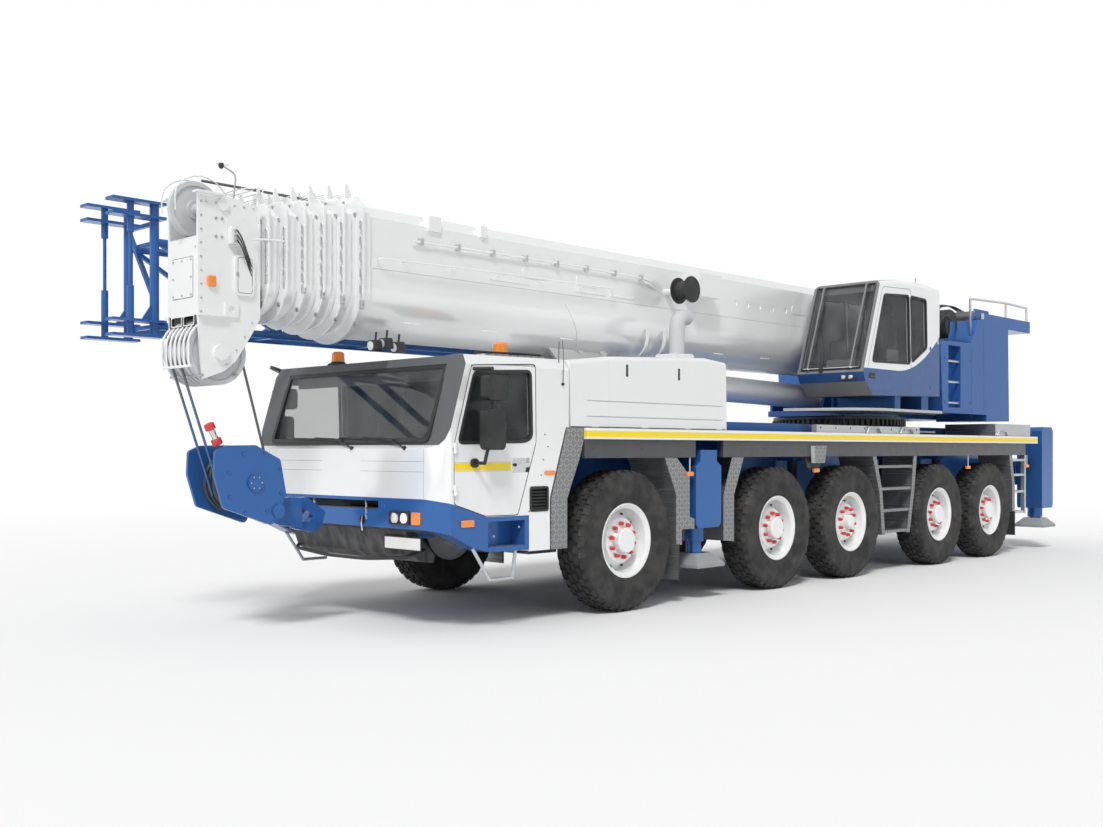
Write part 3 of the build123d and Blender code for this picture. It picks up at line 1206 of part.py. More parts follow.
with BuildPart() as tail_housing:
    for side in (LEFT, RIGHT):
        side_plate(outline(TAIL_SIDE), *sided(*TAIL_Y, side))
        (x_low, x_high), z = TAIL_SPACER
        block((ahead(x_low), ahead(x_high)), sided(PLATE_OUTER, TAIL_Y[0], side), z)
        side_plate(outline(PLATFORM_ARM), *sided(*TAIL_Y, side))
        (x_low, x_high), thick, top = PLATFORM_EDGE
        block((ahead(x_low), ahead(x_high)), sided(TAIL_Y[1] - thick, TAIL_Y[1], side), (top - 120, top))
        tube_run(
            [(ahead(RAIL_POSTS[0][0]), side * RAIL_Y, RAIL_POSTS[0][1])]
            + [(ahead(x), side * RAIL_Y, top) for x, foot, top in RAIL_POSTS]
            + [(ahead(RAIL_POSTS[-1][0]), side * RAIL_Y, RAIL_POSTS[-1][1])], RAIL_RADIUS,
        )
        x, foot, top = RAIL_POSTS[1]
        bar((ahead(x), side * RAIL_Y, foot), (ahead(x), side * RAIL_Y, top), RAIL_RADIUS)
    (x_low, x_high), z = REAR_BEAM
    block((ahead(x_low), ahead(x_high)), (SEAT_GAP - TAIL_Y[0], TAIL_Y[0] - SEAT_GAP), z)
    # ladder bay in the left side
    (x_low, x_high), z, depth = LADDER_BAY
    block((ahead(x_low), ahead(x_high)), (TAIL_Y[1] - depth, TAIL_Y[1] + OVERCUT), z, Mode.SUBTRACT)
    for rung_z in LADDER_RUNGS:
        y = TAIL_Y[1] - 2 * RAIL_RADIUS
        bar((ahead(x_low) - OVERCUT, y, rung_z), (ahead(x_high) + OVERCUT, y, rung_z), RAIL_RADIUS)
    drum_x, drum_z, drum_radius, drum_y = DRUM
    for y in (drum_y[0] - SEAT_GAP - BRACKET_THICK, drum_y[1] + SEAT_GAP):
        side_plate(outline(DRUM_BRACKET), y, y + BRACKET_THICK)
save(tail_housing, "tail_housing")

MAIN_WINCH = (-8150.0, 2370.0, 150.0, 215.0)  # X, Z, drum and flange radius
WINCH_FLANGES = (-420.0, 380.0)
FLANGE_WIDTH = 40.0
DRUM_FLANGE = 16.0
with BuildPart() as winches:
    x, z, radius, flange_radius = MAIN_WINCH
    cross_pin(ahead(x), z, PLATE_INNER, radius)
    for y in WINCH_FLANGES:
        bar((ahead(x), y, z), (ahead(x), y + FLANGE_WIDTH, z), flange_radius)
    # hose drum between its brackets
    bar((ahead(drum_x), drum_y[0], drum_z), (ahead(drum_x), drum_y[1], drum_z), drum_radius * 0.7)
    for y in (drum_y[0], drum_y[1] - DRUM_FLANGE):
        bar((ahead(drum_x), y, drum_z), (ahead(drum_x), y + DRUM_FLANGE, drum_z), drum_radius)
    # auxiliary winch on the housing's roof
    (x_low, x_high), (y_low, y_high), top = AUX_WINCH
    cheek = [
        (x_high, tail_top(x_high) + SEAT_GAP), (x_high - 60, top), (x_low + 60, top),
        (x_low, tail_top(x_low) + SEAT_GAP),
    ]
    for y in (y_low, y_high - CHEEK_THICK):
        side_plate(outline(cheek), y, y + CHEEK_THICK)
    aux_z, radius = AUX_DRUM
    bar((ahead((x_low + x_high) / 2), y_low, aux_z), (ahead((x_low + x_high) / 2), y_high, aux_z), radius)
save(winches, "winches")

# =====================================================================
# Boom: seven nested sections, each a box above and a round trough below
# =====================================================================
GUIDE_LENGTH = 120.0  # the front of a section fits closely round the next one
COLLAR_FLANGE = 24.0
SLEEVE_LENGTH = 110.0
SLEEVE_GROW = 26.0
FIN_RISE = 130.0
FIN_THICK = 20.0
FIN_SHARE = 0.55  # how far out the fins stand, as a share of the section's half width


def boom_top(number):
    """Height of a boom section's top."""
    return BOOM_TOP - number * BOOM_DROP


def boom_half(number):
    """Half the width of a boom section."""
    return BOOM_HALF - number * BOOM_STEP


def boom_shape(number, grow, x_low, x_high, mode=Mode.ADD):
    """Boom section number from x_low to x_high, grown outwards all round by grow."""
    wide = boom_half(number) + grow
    top = boom_top(number) + grow
    bottom = BOOM_BOTTOM + number * BOOM_DROP - grow
    corner = BOOM_CORNER - 8 * number
    shoulder = bottom + wide
    with BuildSketch(Plane.YZ.offset(x_low)) as profile:
        with BuildLine():
            Polyline(
                (-wide, shoulder), (-wide, top - corner), (-wide + corner, top), (wide - corner, top),
                (wide, top - corner), (wide, shoulder),
            )
            ThreePointArc((wide, shoulder), (0, bottom), (-wide, shoulder))
        make_face()
    extrude(profile.sketch, amount=x_high - x_low, mode=mode)


# fittings on the sides of the first section
BOOM_LUGS = ((963, 1043, 3672, 3779), (1556, 1704, 3643, 3783))  # X from, X to, Z from, Z to
LUG_Y = (400.0, 485.0)
SIDE_PADS = ((262, 3398, 380, 112), (-532, 3398, 352, 120), (-4687, 3434, 318, 104))  # X, Z, length, height
PAD_THICK = 8.0
PORTS = (-3261, -3520, -3786, -4081, -4385)
PORT_Z, PORT_RADIUS, PORT_DEPTH = 3410.0, 38.0, 6.0
GUSSET = ((-170, 3125), (-766, 3125), (-1010, 2600), (-640, 2600))
GUSSET_THICK = 10.0
LUFF_BRACKET = (
    (-150, 2700), (-560, 2340), (-680, 2290), (-820, 2290), (-930, 2350), (-1150, 2700), (-1150, 2760),
    (-150, 2760),
)
LUFF_BRACKET_Y = (185.0, 225.0)
BRACKET_BOSSES = ((-659, 2691, 45), (-1023, 2691, 45), (-750, 2440, 105))  # X, Z, radius
BOSS_RISE = 20.0
REEL = (-1880.0, 3410.0, 150.0, (640.0, 840.0))  # cable reel, left side: X, Z, radius, Y
REEL_AXLE = 40.0
REEL_FLANGE = 14.0
CABLE_BOX = ((-2634.0, -2201.0), 700.0, (3380.0, 3650.0))  # X, outer Y, Z

# head at the boom's tip
HEAD_PLATE = (
    (3395, 3640), (3483, 3662), (3734, 3702), (3953, 3690), (3953, 2690), (3925, 2311), (3906, 2170),
    (3719, 2238),
    (3605, 2328), (3528, 2443), (3430, 2597), (3370, 2705), (3370, 3560),
)
HEAD_THICK = 25.0
HEAD_FRONT = ((3935.0, 3953.0), (2600.0, 3340.0))
HEAD_BACK = ((3370.0, 3400.0), (2730.0, 3590.0))
HEAD_FLOOR = (2700.0, 2718.0)
HEAD_WINDOWS = ((-180.0, -20.0), (20.0, 180.0))
WINDOW_Z = (2618.0, 2688.0)
HEAD_COVER = (3530.0, 3050.0, 190.0, 340.0, 45.0, 24.0)  # X, Z, width, height, corner, thickness
HEAD_LEDGE = ((3700.0, 3960.0), 42.0, (2688.0, 2706.0))  # X, reach, Z
TOP_LEDGE = ((3740.0, 3985.0), 55.0, (3686.0, 3702.0))
HEAD_PORT = (3650.0, 2755.0, 62.0, 30.0)  # square pad with a bore: X, Z, half size, bore radius

# X, Z and radius of the lower and the upper sheave set
HEAD_SHEAVE = (3750.0, 2395.0, 270.0)
TOP_SHEAVE = (3862.0, 3582.0, 240.0)
# X, Z, radius and rise
HEAD_BOSSES = ((HEAD_SHEAVE[0], HEAD_SHEAVE[1], 66.0, 34.0), (3728.0, 3622.0, 52.0, 22.0))
HEAD_HALF = boom_half(SECTIONS - 1)

with BuildPart() as gusset:
    boom_shape(0, GUSSET_THICK, ahead(GUSSET[2][0]), ahead(GUSSET[0][0]))
    side_plate(outline(GUSSET), -BOOM_HALF - OVERCUT * 4, BOOM_HALF + OVERCUT * 4, Mode.INTERSECT)

with BuildPart() as boom_fittings:
    for side in (LEFT, RIGHT):
        # foot pin
        bar(
            (ahead(BOOM_PIVOT_X), side * (BOOM_HALF - BOOM_WALL), BOOM_PIVOT_Z),
            (ahead(BOOM_PIVOT_X), side * (PLATE_OUTER + 10), BOOM_PIVOT_Z), BOOM_PIN_RADIUS,
        )
        for x_low, x_high, z_low, z_high in BOOM_LUGS:
            block((ahead(x_low), ahead(x_high)), sided(*LUG_Y, side), (z_low, z_high))
        for x, z, length, height in SIDE_PADS:
            rounded_pad(ahead(x), z, BOOM_HALF - 1, length, height, height / 2 - 1, PAD_THICK + 1, side)
        # bracket over the luffing cylinder's rod eye
        side_plate(outline(LUFF_BRACKET), *sided(*LUFF_BRACKET_Y, side))
        for x, z, radius in BRACKET_BOSSES:
            bar(
                (ahead(x), side * LUFF_BRACKET_Y[0], z),
                (ahead(x), side * (LUFF_BRACKET_Y[1] + BOSS_RISE), z), radius
            )
    # cable reel and its box, on the left
    reel_x, reel_z, reel_radius, (reel_in, reel_out) = REEL
    bar((ahead(reel_x), BOOM_HALF - BOOM_WALL, reel_z), (ahead(reel_x), reel_out, reel_z), REEL_AXLE)
    bar((ahead(reel_x), reel_in, reel_z), (ahead(reel_x), reel_out, reel_z), reel_radius * 0.72)
    for y in (reel_in, reel_out - REEL_FLANGE):
        bar((ahead(reel_x), y, reel_z), (ahead(reel_x), y + REEL_FLANGE, reel_z), reel_radius)
    (x_low, x_high), y, z = CABLE_BOX
    block((ahead(x_low), ahead(x_high)), (BOOM_HALF - BOOM_WALL, y), z)

with BuildPart() as boom_head:
    for side in (LEFT, RIGHT):
        side_plate(outline(HEAD_PLATE), *sided(HEAD_HALF, HEAD_HALF + HEAD_THICK, side))
        outer = HEAD_HALF + HEAD_THICK
        x, z, width, height, corner, thick = HEAD_COVER
        rounded_pad(ahead(x), z, outer, width, height, corner, thick, side)
        for x, z, radius, rise in HEAD_BOSSES:
            bar((ahead(x), side * (outer - OVERCUT), z), (ahead(x), side * (outer + rise), z), radius)
        for (x_low, x_high), reach, z in (HEAD_LEDGE, TOP_LEDGE):
            block((ahead(x_low), ahead(x_high)), sided(HEAD_HALF, outer + reach, side), z)
        x, z, half, bore = HEAD_PORT
        block((ahead(x - half), ahead(x + half)), sided(outer, outer + 20, side), (z - half, z + half))
        bar((ahead(x), side * (outer + 4), z), (ahead(x), side * (outer + 25), z), bore, Mode.SUBTRACT)
    for (x_low, x_high), z in (HEAD_FRONT, HEAD_BACK, ((HEAD_BACK[0][1], HEAD_FRONT[0][0]), HEAD_FLOOR)):
        block((ahead(x_low), ahead(x_high)), (-HEAD_HALF, HEAD_HALF), z)
    for y in HEAD_WINDOWS:
        block(
            (ahead(HEAD_FRONT[0][0]) - OVERCUT, ahead(HEAD_FRONT[0][1]) + OVERCUT), y, WINDOW_Z, Mode.SUBTRACT
        )

for number in range(SECTIONS):
    last = number == SECTIONS - 1
    rear = ahead(BOOM_REAR + number * BOOM_REAR_STEP)
    front = ahead(COLLAR_X[-1] + HEAD_LENGTH if last else COLLAR_X[number])
    with BuildPart() as section:
        boom_shape(number, 0, rear, front)
        if number == 0:
            add(boom_fittings.part)
            add(gusset.part)
        if last:
            add(boom_head.part)
            boom_shape(number, -BOOM_WALL, rear - 1, front - HEAD_LENGTH, Mode.SUBTRACT)
        else:
            boom_shape(number, SLEEVE_GROW, front - SLEEVE_LENGTH, front)
            boom_shape(number, COLLAR_RIM, front - COLLAR_FLANGE, front)
            fin = [
                (front, boom_top(number)), (front, boom_top(number) + FIN_RISE + COLLAR_RIM),
                (front - COLLAR_FLANGE, boom_top(number) + FIN_RISE + COLLAR_RIM),
                (front - SLEEVE_LENGTH, boom_top(number)),
            ]
            for y in (-FIN_SHARE * boom_half(number), FIN_SHARE * boom_half(number)):
                side_plate(fin, y - FIN_THICK / 2, y + FIN_THICK / 2)
            boom_shape(number, -BOOM_WALL, rear - 1, front - GUIDE_LENGTH, Mode.SUBTRACT)
            # wear pads: the front opening fits the next section
            boom_shape(number + 1, FIT, front - GUIDE_LENGTH - 5, front + 5, Mode.SUBTRACT)
        if number == 0:
            for x in PORTS:
                for side in (LEFT, RIGHT):
                    bar(
                        (ahead(x), side * (BOOM_HALF - PORT_DEPTH), PORT_Z), (
                            ahead(x), side * (BOOM_HALF + 5), PORT_Z
                        ),
                        PORT_RADIUS, Mode.SUBTRACT,
                    )
    save(section, f"boom_{number + 1}")

SHEAVE_PITCH = 72.0
SHEAVE_COUNT = 6
SHEAVE_THICK = 44.0
SHEAVE_WEB = 18.0
SHEAVE_HUB = 80.0
SHEAVE_RIM = 42.0
GROOVE = 20.0
GROOVE_BED = 8.0
SHEAVE_AXLE = 45.0


def sheave(x, y, z, radius):
    """A grooved rope sheave on an axle along Y."""
    half = SHEAVE_THICK / 2
    edge = [
        (0, half), (SHEAVE_HUB, half), (SHEAVE_HUB, SHEAVE_WEB / 2), (radius - SHEAVE_RIM, SHEAVE_WEB / 2),
        (radius - SHEAVE_RIM, half), (radius, half), (radius - GROOVE, GROOVE_BED / 2),
    ]
    with BuildSketch(Plane((x, y, z))) as profile:
        with BuildLine():
            Polyline(*edge, *[(out, -across_y) for out, across_y in reversed(edge)], close=True)
        make_face()
    revolve(profile.sketch, axis=Axis((x, y, z), (0, 1, 0)))


with BuildPart() as sheaves:
    for centre_x, centre_z, radius in (HEAD_SHEAVE, TOP_SHEAVE):
        cross_pin(ahead(centre_x), centre_z, HEAD_HALF, SHEAVE_AXLE)
    for number in range(SHEAVE_COUNT):
        y = (number - (SHEAVE_COUNT - 1) / 2) * SHEAVE_PITCH
        sheave(ahead(HEAD_SHEAVE[0]), y, HEAD_SHEAVE[1], HEAD_SHEAVE[2])
    sheave(ahead(TOP_SHEAVE[0]), SHEAVE_PITCH / 2, TOP_SHEAVE[1], TOP_SHEAVE[2])
save(sheaves, "sheaves")

# ---- luffing cylinder ----
run = Vector(LUFF_EYE[0] - LUFF_BASE[0], 0, LUFF_EYE[1] - LUFF_BASE[1]).normalized()
foot = Vector(ahead(LUFF_BASE[0]), 0, LUFF_BASE[1])
eye = Vector(ahead(LUFF_EYE[0]), 0, LUFF_EYE[1])
BARREL_LENGTH = 4600.0
BARREL_FOOT = 130.0
BARREL_BORE = 140.0
BARREL_END_WALL = 600.0
GLAND = ((4380.0, 4600.0), 168.0)  # along the barrel, radius
GLAND_DEPTH = 120.0
FOOT_EYE = (150.0, 170.0)  # radius, half width
ROD_EYE = (125.0, 150.0)
ROD_EYE_PIN_HALF = 178.0
ROD_INNER = 700.0
ROD_END = 60.0


def along(start, end, radius, mode=Mode.ADD):
    """A round bar on the cylinder's axis between two distances from its foot."""
    bar(tuple(foot + run * start), tuple(foot + run * end), radius, mode)


with BuildPart() as luff_barrel:
    along(BARREL_FOOT, BARREL_LENGTH, LUFF_BARREL_RADIUS)
    along(*GLAND[0], GLAND[1])
    cross_pin(foot.X, foot.Z, FOOT_EYE[1], FOOT_EYE[0])
    along(BARREL_END_WALL, BARREL_LENGTH - GLAND_DEPTH, BARREL_BORE, Mode.SUBTRACT)
    along(BARREL_LENGTH - GLAND_DEPTH - 1, BARREL_LENGTH + OVERCUT, LUFF_ROD_RADIUS + FIT, Mode.SUBTRACT)
    cross_pin(foot.X, foot.Z, FOOT_EYE[1] + OVERCUT, LUFF_FOOT_PIN + FIT, Mode.SUBTRACT)
save(luff_barrel, "luff_barrel")

with BuildPart() as luff_rod:
    bar(tuple(foot + run * ROD_INNER), tuple(eye - run * ROD_END), LUFF_ROD_RADIUS)
    cross_pin(eye.X, eye.Z, ROD_EYE[1], ROD_EYE[0])
    cross_pin(eye.X, eye.Z, ROD_EYE_PIN_HALF, LUFF_EYE_PIN)
save(luff_rod, "luff_rod")

# =====================================================================
# Swing-away jib, stowed along the right of the boom
# =====================================================================
JIB_Y = (-1120.0, -640.0)
JIB_Z = (2670.0, 3400.0)
JIB_REAR = -3600.0
JIB_MAIN_POST = 3870.0
JIB_TIE_POST = 4090.0
JIB_CHORD = 34.0
JIB_BRACE = 36.0
JIB_BAYS = 6
POST_Z = (2580.0, 3720.0)
POST_RADIUS = 40.0
TIE_RADIUS = 30.0
TIE_THIN = ((3000.0, 3460.0), 15.0)  # Z and radius of the slender length of a tie rod
TONGUE_Z = ((2560.0, 2585.0), (2690.0, 2715.0), (3590.0, 3615.0), (3715.0, 3740.0))
TONGUE = ((3790.0, 4280.0), 70.0)  # X, half width
FRAME_TOP = 3560.0
GUSSET_X = 3990.0
GUSSET_Z = (2715.0, 2900.0)
JIB_ARMS = ((-3000.0, -2920.0), (1200.0, 1280.0))
JIB_ARM_Z = (3360.0, 3440.0)
with BuildPart() as jib:
    front = ahead(JIB_MAIN_POST)
    for y in JIB_Y:
        for z in JIB_Z:
            bar((ahead(JIB_REAR), y, z), (front, y, z), JIB_CHORD)
    bay = (JIB_MAIN_POST - JIB_REAR - 2 * JIB_CHORD) / JIB_BAYS
    for number in range(JIB_BAYS + 1):
        x = ahead(JIB_REAR + JIB_CHORD + number * bay)
        for y in JIB_Y:
            if number < JIB_BAYS:
                square_bar((x, y, JIB_Z[0]), (x, y, JIB_Z[1]), JIB_BRACE)
                low, high = JIB_Z if number % 2 else JIB_Z[::-1]
                square_bar((x, y, low), (x + bay, y, high), JIB_BRACE)
        for z in JIB_Z:
            square_bar((x, JIB_Y[0], z), (x, JIB_Y[1], z), JIB_BRACE)
    # head frame: main posts and slender tie rods between tongue plates
    for y in JIB_Y:
        bar((front, y, POST_Z[0]), (front, y, POST_Z[1]), POST_RADIUS)
        thin_z, thin_radius = TIE_THIN
        for low, high, radius in (
            (POST_Z[0], thin_z[0], TIE_RADIUS), (thin_z[0], thin_z[1], thin_radius), (
                thin_z[1], POST_Z[1], TIE_RADIUS
            ),
        ):
            bar((ahead(JIB_TIE_POST), y, low), (ahead(JIB_TIE_POST), y, high), radius)
        (x_low, x_high), half = TONGUE
        for z in TONGUE_Z:
            block((ahead(x_low), ahead(x_high)), (y - half, y + half), z)
        side_plate(
            [(front, GUSSET_Z[0]), (front, GUSSET_Z[1]), (ahead(GUSSET_X), GUSSET_Z[0])],
            y - JIB_BRACE / 4, y + JIB_BRACE / 4
        )
    square_bar((front, JIB_Y[0], FRAME_TOP), (front, JIB_Y[1], FRAME_TOP), JIB_BRACE)
    square_bar((front, JIB_Y[0], FRAME_TOP), (front, JIB_Y[1], GUSSET_Z[1]), JIB_BRACE)
    # arms to the boom
    for x_low, x_high in JIB_ARMS:
        block((ahead(x_low), ahead(x_high)), (JIB_Y[1], -BOOM_HALF), JIB_ARM_Z)
save(jib, "jib")

# =====================================================================
# Hook block on its rope falls, tied back to the bumper
# =====================================================================
HOOK_CENTRE = (3410.0, 1310.0)
HOOK_SHEAVE_RADIUS = 262.0
HOOK_SHEAVE_Y = (-144.0, -72.0, 0.0, 72.0, 144.0)
HOOK_PLATE = (
    (3675, 1626), (3404, 1630), (3161, 1507), (3100, 1197), (3243, 939), (3713, 1104), (3798, 1376),
    (3789, 1578),
)
HOOK_PLATE_Y = (200.0, 232.0)
HOOK_CORNER = 40.0
HOOK_BOSS = (75.0, 18.0)  # radius, rise
HOOK_AXLE = 60.0
CROSSHEAD = (3185.0, 1060.0, 60.0)  # X, Z, radius of the bar that carries the hook
CLEVIS = ((3130, 1150), (2996, 1173), (2870, 1166), (2860, 900), (3098, 931), (3235, 985), (3200, 1100))
CLEVIS_HALF = 120.0
HOOK_TIP = (
    (2920, 1160), (2754, 1166), (2647, 1091), (2560, 1025), (2600, 900), (2679, 841), (2892, 887),
    (2900, 940),
    (2740, 940), (2690, 990), (2760, 1050), (2920, 1060),
)
HOOK_TIP_HALF = 42.0
ROPE_RADIUS = 11.0
ROPE_BITE = 24.0  # the ropes are held this deep in the block's grooves
ROPE_SINK = 7.0  # and run this deep in the head's, with a running gap
FALLS = ((-72.0, 1), (72.0, 1), (72.0, -1))  # Y at the block; 1 at the front of the sheaves, -1 behind

head = Vector(ahead(HEAD_SHEAVE[0]), 0, HEAD_SHEAVE[1])
hook = Vector(ahead(HOOK_CENTRE[0]), 0, HOOK_CENTRE[1])
fall = (hook - head).normalized()
across = Vector(-fall.Z, 0, fall.X)

with BuildPart() as hook_block:
    for side in (LEFT, RIGHT):
        y_low, y_high = sided(*HOOK_PLATE_Y, side)
        with BuildSketch(Plane.XZ.offset(-y_high)) as cheek_plate:
            with BuildLine():
                Polyline(*outline(HOOK_PLATE), close=True)
            make_face()
            fillet(cheek_plate.vertices(), HOOK_CORNER)
        extrude(cheek_plate.sketch, amount=y_high - y_low)
        boss_radius, boss_rise = HOOK_BOSS
        bar(
            (hook.X, side * HOOK_PLATE_Y[0], hook.Z),
            (hook.X, side * (HOOK_PLATE_Y[1] + boss_rise), hook.Z), boss_radius
        )
    for y in HOOK_SHEAVE_Y:
        sheave(hook.X, y, hook.Z, HOOK_SHEAVE_RADIUS)
    cross_pin(hook.X, hook.Z, HOOK_PLATE_Y[1], HOOK_AXLE)
    x, z, radius = CROSSHEAD
    cross_pin(ahead(x), z, HOOK_PLATE_Y[1] + HOOK_BOSS[1], radius)
    side_plate(outline(CLEVIS), -CLEVIS_HALF, CLEVIS_HALF)
    side_plate(outline(HOOK_TIP), -HOOK_TIP_HALF, HOOK_TIP_HALF)
    for y, edge in FALLS:
        # each fall runs from a head sheave to the block's sheave beside it
        top = head + across * edge * (HEAD_SHEAVE[2] - ROPE_SINK)
        low = hook + across * edge * (HOOK_SHEAVE_RADIUS + ROPE_RADIUS - ROPE_BITE) + fall * SHEAVE_HUB / 2
        bar((top.X, y - edge * SHEAVE_PITCH / 2, top.Z), (low.X, y, low.Z), ROPE_RADIUS)
save(hook_block, "hook_block")
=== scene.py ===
"""Dresses a five-axle all-terrain telescopic crane: paint, tyres, glass, cabs, ropes, rails and lamps.

Every length is in metres in the crane's own frame: X forward, Y to the left, Z up, wheels on Z = 0.
Stations along the machine are given ahead of the first axle, and OFFSET moves them into the frame.
"""

from __future__ import annotations

import json
import logging
import math
from dataclasses import dataclass, field
from enum import Enum
from typing import Sequence

import bmesh
import bpy
import numpy as np
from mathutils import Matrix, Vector


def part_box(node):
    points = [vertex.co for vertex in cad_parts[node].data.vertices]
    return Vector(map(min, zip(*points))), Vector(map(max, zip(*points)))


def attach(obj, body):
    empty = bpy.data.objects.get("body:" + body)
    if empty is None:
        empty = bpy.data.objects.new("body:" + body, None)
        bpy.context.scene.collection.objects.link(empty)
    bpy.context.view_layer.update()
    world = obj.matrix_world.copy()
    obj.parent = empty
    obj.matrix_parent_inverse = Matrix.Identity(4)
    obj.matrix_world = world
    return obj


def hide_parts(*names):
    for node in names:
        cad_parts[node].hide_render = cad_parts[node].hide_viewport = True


LOG = logging.getLogger("crane")
Array = np.ndarray
Point = tuple[float, float, float]
Pair = tuple[float, float]
Colour = tuple[float, float, float]
TAU = 2 * math.pi


class Side(Enum):
    """The two sides of the machine, by the sign of Y."""

    LEFT = 1
    RIGHT = -1

    def span(self, low: float, high: float) -> Pair:
        """A (low, high) pair of Y on the left side, mirrored when this is the right."""
        return (low, high) if self is Side.LEFT else (-high, -low)

    @property
    def out(self) -> Point:
        """The direction that points away from the machine on this side."""
        return (0.0, float(self.value), 0.0)

    def at(self, x: float, y: float, z: float) -> Point:
        """A point whose Y is given as on the left side."""
        return (x, self.value * y, z)


class Across(Enum):
    """The axis that an outline is carried along, with the two axes that the outline lies in."""

    X = (0, 1, 2)
    Y = (1, 0, 2)
    Z = (2, 0, 1)


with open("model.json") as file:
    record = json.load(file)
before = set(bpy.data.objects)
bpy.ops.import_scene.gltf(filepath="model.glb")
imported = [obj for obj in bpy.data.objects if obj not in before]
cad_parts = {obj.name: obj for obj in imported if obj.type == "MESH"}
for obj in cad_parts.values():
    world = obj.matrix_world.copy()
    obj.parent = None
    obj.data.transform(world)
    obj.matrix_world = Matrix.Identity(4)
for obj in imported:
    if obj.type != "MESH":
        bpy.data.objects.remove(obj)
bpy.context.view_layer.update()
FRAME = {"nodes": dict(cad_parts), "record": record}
BODY_OF = {node: body for body, nodes in FRAME["record"]["behaviour"]["bodies"].items() for node in nodes}


def centre(node: str) -> Vector:
    """Middle of a CAD node's box."""
    low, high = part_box(node)
    return (low + high) / 2


FIRST_AXLE = centre("wheel_1l").x
OFFSET = np.array([FIRST_AXLE, 0.0, 0.0])


# ---------------------------------------------------------------------------
# Surfaces
# ---------------------------------------------------------------------------
def bends(before: Array, corner: Array, after: Array, radius: float, steps: int) -> Array:
    """Rounded corners, given each with its neighbours, as one list of points.

    Each is a quadratic curve (1-t)^2 a + 2t(1-t) corner + t^2 b, where a and b are set back from the corner by
    the radius, or by 0.45 of the run to the neighbour where that is less.
    """
    in_run, out_run = before - corner, after - corner
    in_length = np.linalg.norm(in_run, axis=1, keepdims=True)
    out_length = np.linalg.norm(out_run, axis=1, keepdims=True)
    start = corner + in_run / in_length * np.minimum(radius, 0.45 * in_length)
    end = corner + out_run / out_length * np.minimum(radius, 0.45 * out_length)
    t = np.linspace(0, 1, steps)[None, :, None]
    curves = (1 - t) ** 2 * start[:, None] + 2 * t * (1 - t) * corner[:, None] + t**2 * end[:, None]
    return curves.reshape(-1, corner.shape[1])


def smooth_line(points: Sequence[Point], radius: float, steps: int = 5) -> Array:
    """Rounds the corners of a run of points.

    Args:
        points: the corners of the run, ends included.
        radius: how far back from a corner the rounding starts, at most 0.45 of a neighbouring run.
        steps: points on each rounded corner.

    Returns:
        An (n, 3) array of points.
    """
    line = np.asarray(points, float)
    if len(line) < 3:
        return line
    return np.vstack([line[:1], bends(line[:-2], line[1:-1], line[2:], radius, steps), line[-1:]])


def frames_along(line: Array) -> tuple[Array, Array]:
    """Two unit vectors square to a line at each of its points, turning as little as they can along it."""
    tangent = np.gradient(line, axis=0)
    tangent /= np.linalg.norm(tangent, axis=1, keepdims=True)
    start = np.eye(3)[np.argmin(np.abs(tangent[0]))]
    normals = np.empty_like(line)
    normal = start - tangent[0] * (start @ tangent[0])
    for number, direction in enumerate(tangent):
        normal = normal - direction * (normal @ direction)
        normal /= np.linalg.norm(normal)
        normals[number] = normal
    return normals, np.cross(tangent, normals)


def inset(outline: Array, amount: float) -> Array:
    """Moves each point of a closed outline inwards along the bisector of its two edges."""
    before = outline - np.roll(outline, 1, axis=0)
    after = np.roll(outline, -1, axis=0) - outline
    before /= np.linalg.norm(before, axis=1, keepdims=True)
    after /= np.linalg.norm(after, axis=1, keepdims=True)
    turn = np.sign(
        np.sum(outline[:, 0] * np.roll(outline[:, 1], -1) - outline[:, 1] * np.roll(outline[:, 0], -1)))
    inward = np.stack([-(before + after)[:, 1], (before + after)[:, 0]], axis=1) * turn
    size = np.maximum(np.linalg.norm(inward, axis=1, keepdims=True), 1e-9)
    inward /= size
    half_angle = np.maximum(size / 2, 0.35)
    return outline + inward * amount / half_angle


def rounded(outline: Sequence[Pair], radius: float, steps: int = 4) -> Array:
    """Rounds every corner of a closed outline with a quadratic curve that starts radius before the corner."""
    corner = np.asarray(outline, float)
    return bends(np.roll(corner, 1, axis=0), corner, np.roll(corner, -1, axis=0), radius, steps)


def panel(across: Pair, up: Pair, radius: float) -> Array:
    """A rectangle with rounded corners, between two (low, high) pairs."""
    (left, right), (low, high) = across, up
    return rounded([(left, low), (right, low), (right, high), (left, high)], radius)


def ring_of(count: int, radius: float = 1.0, start: float = 0.0) -> Array:
    """Points (radius cos a, radius sin a) at even angles."""
    angle = start + np.arange(count) * TAU / count
    return radius * np.stack([np.cos(angle), np.sin(angle)], axis=1)


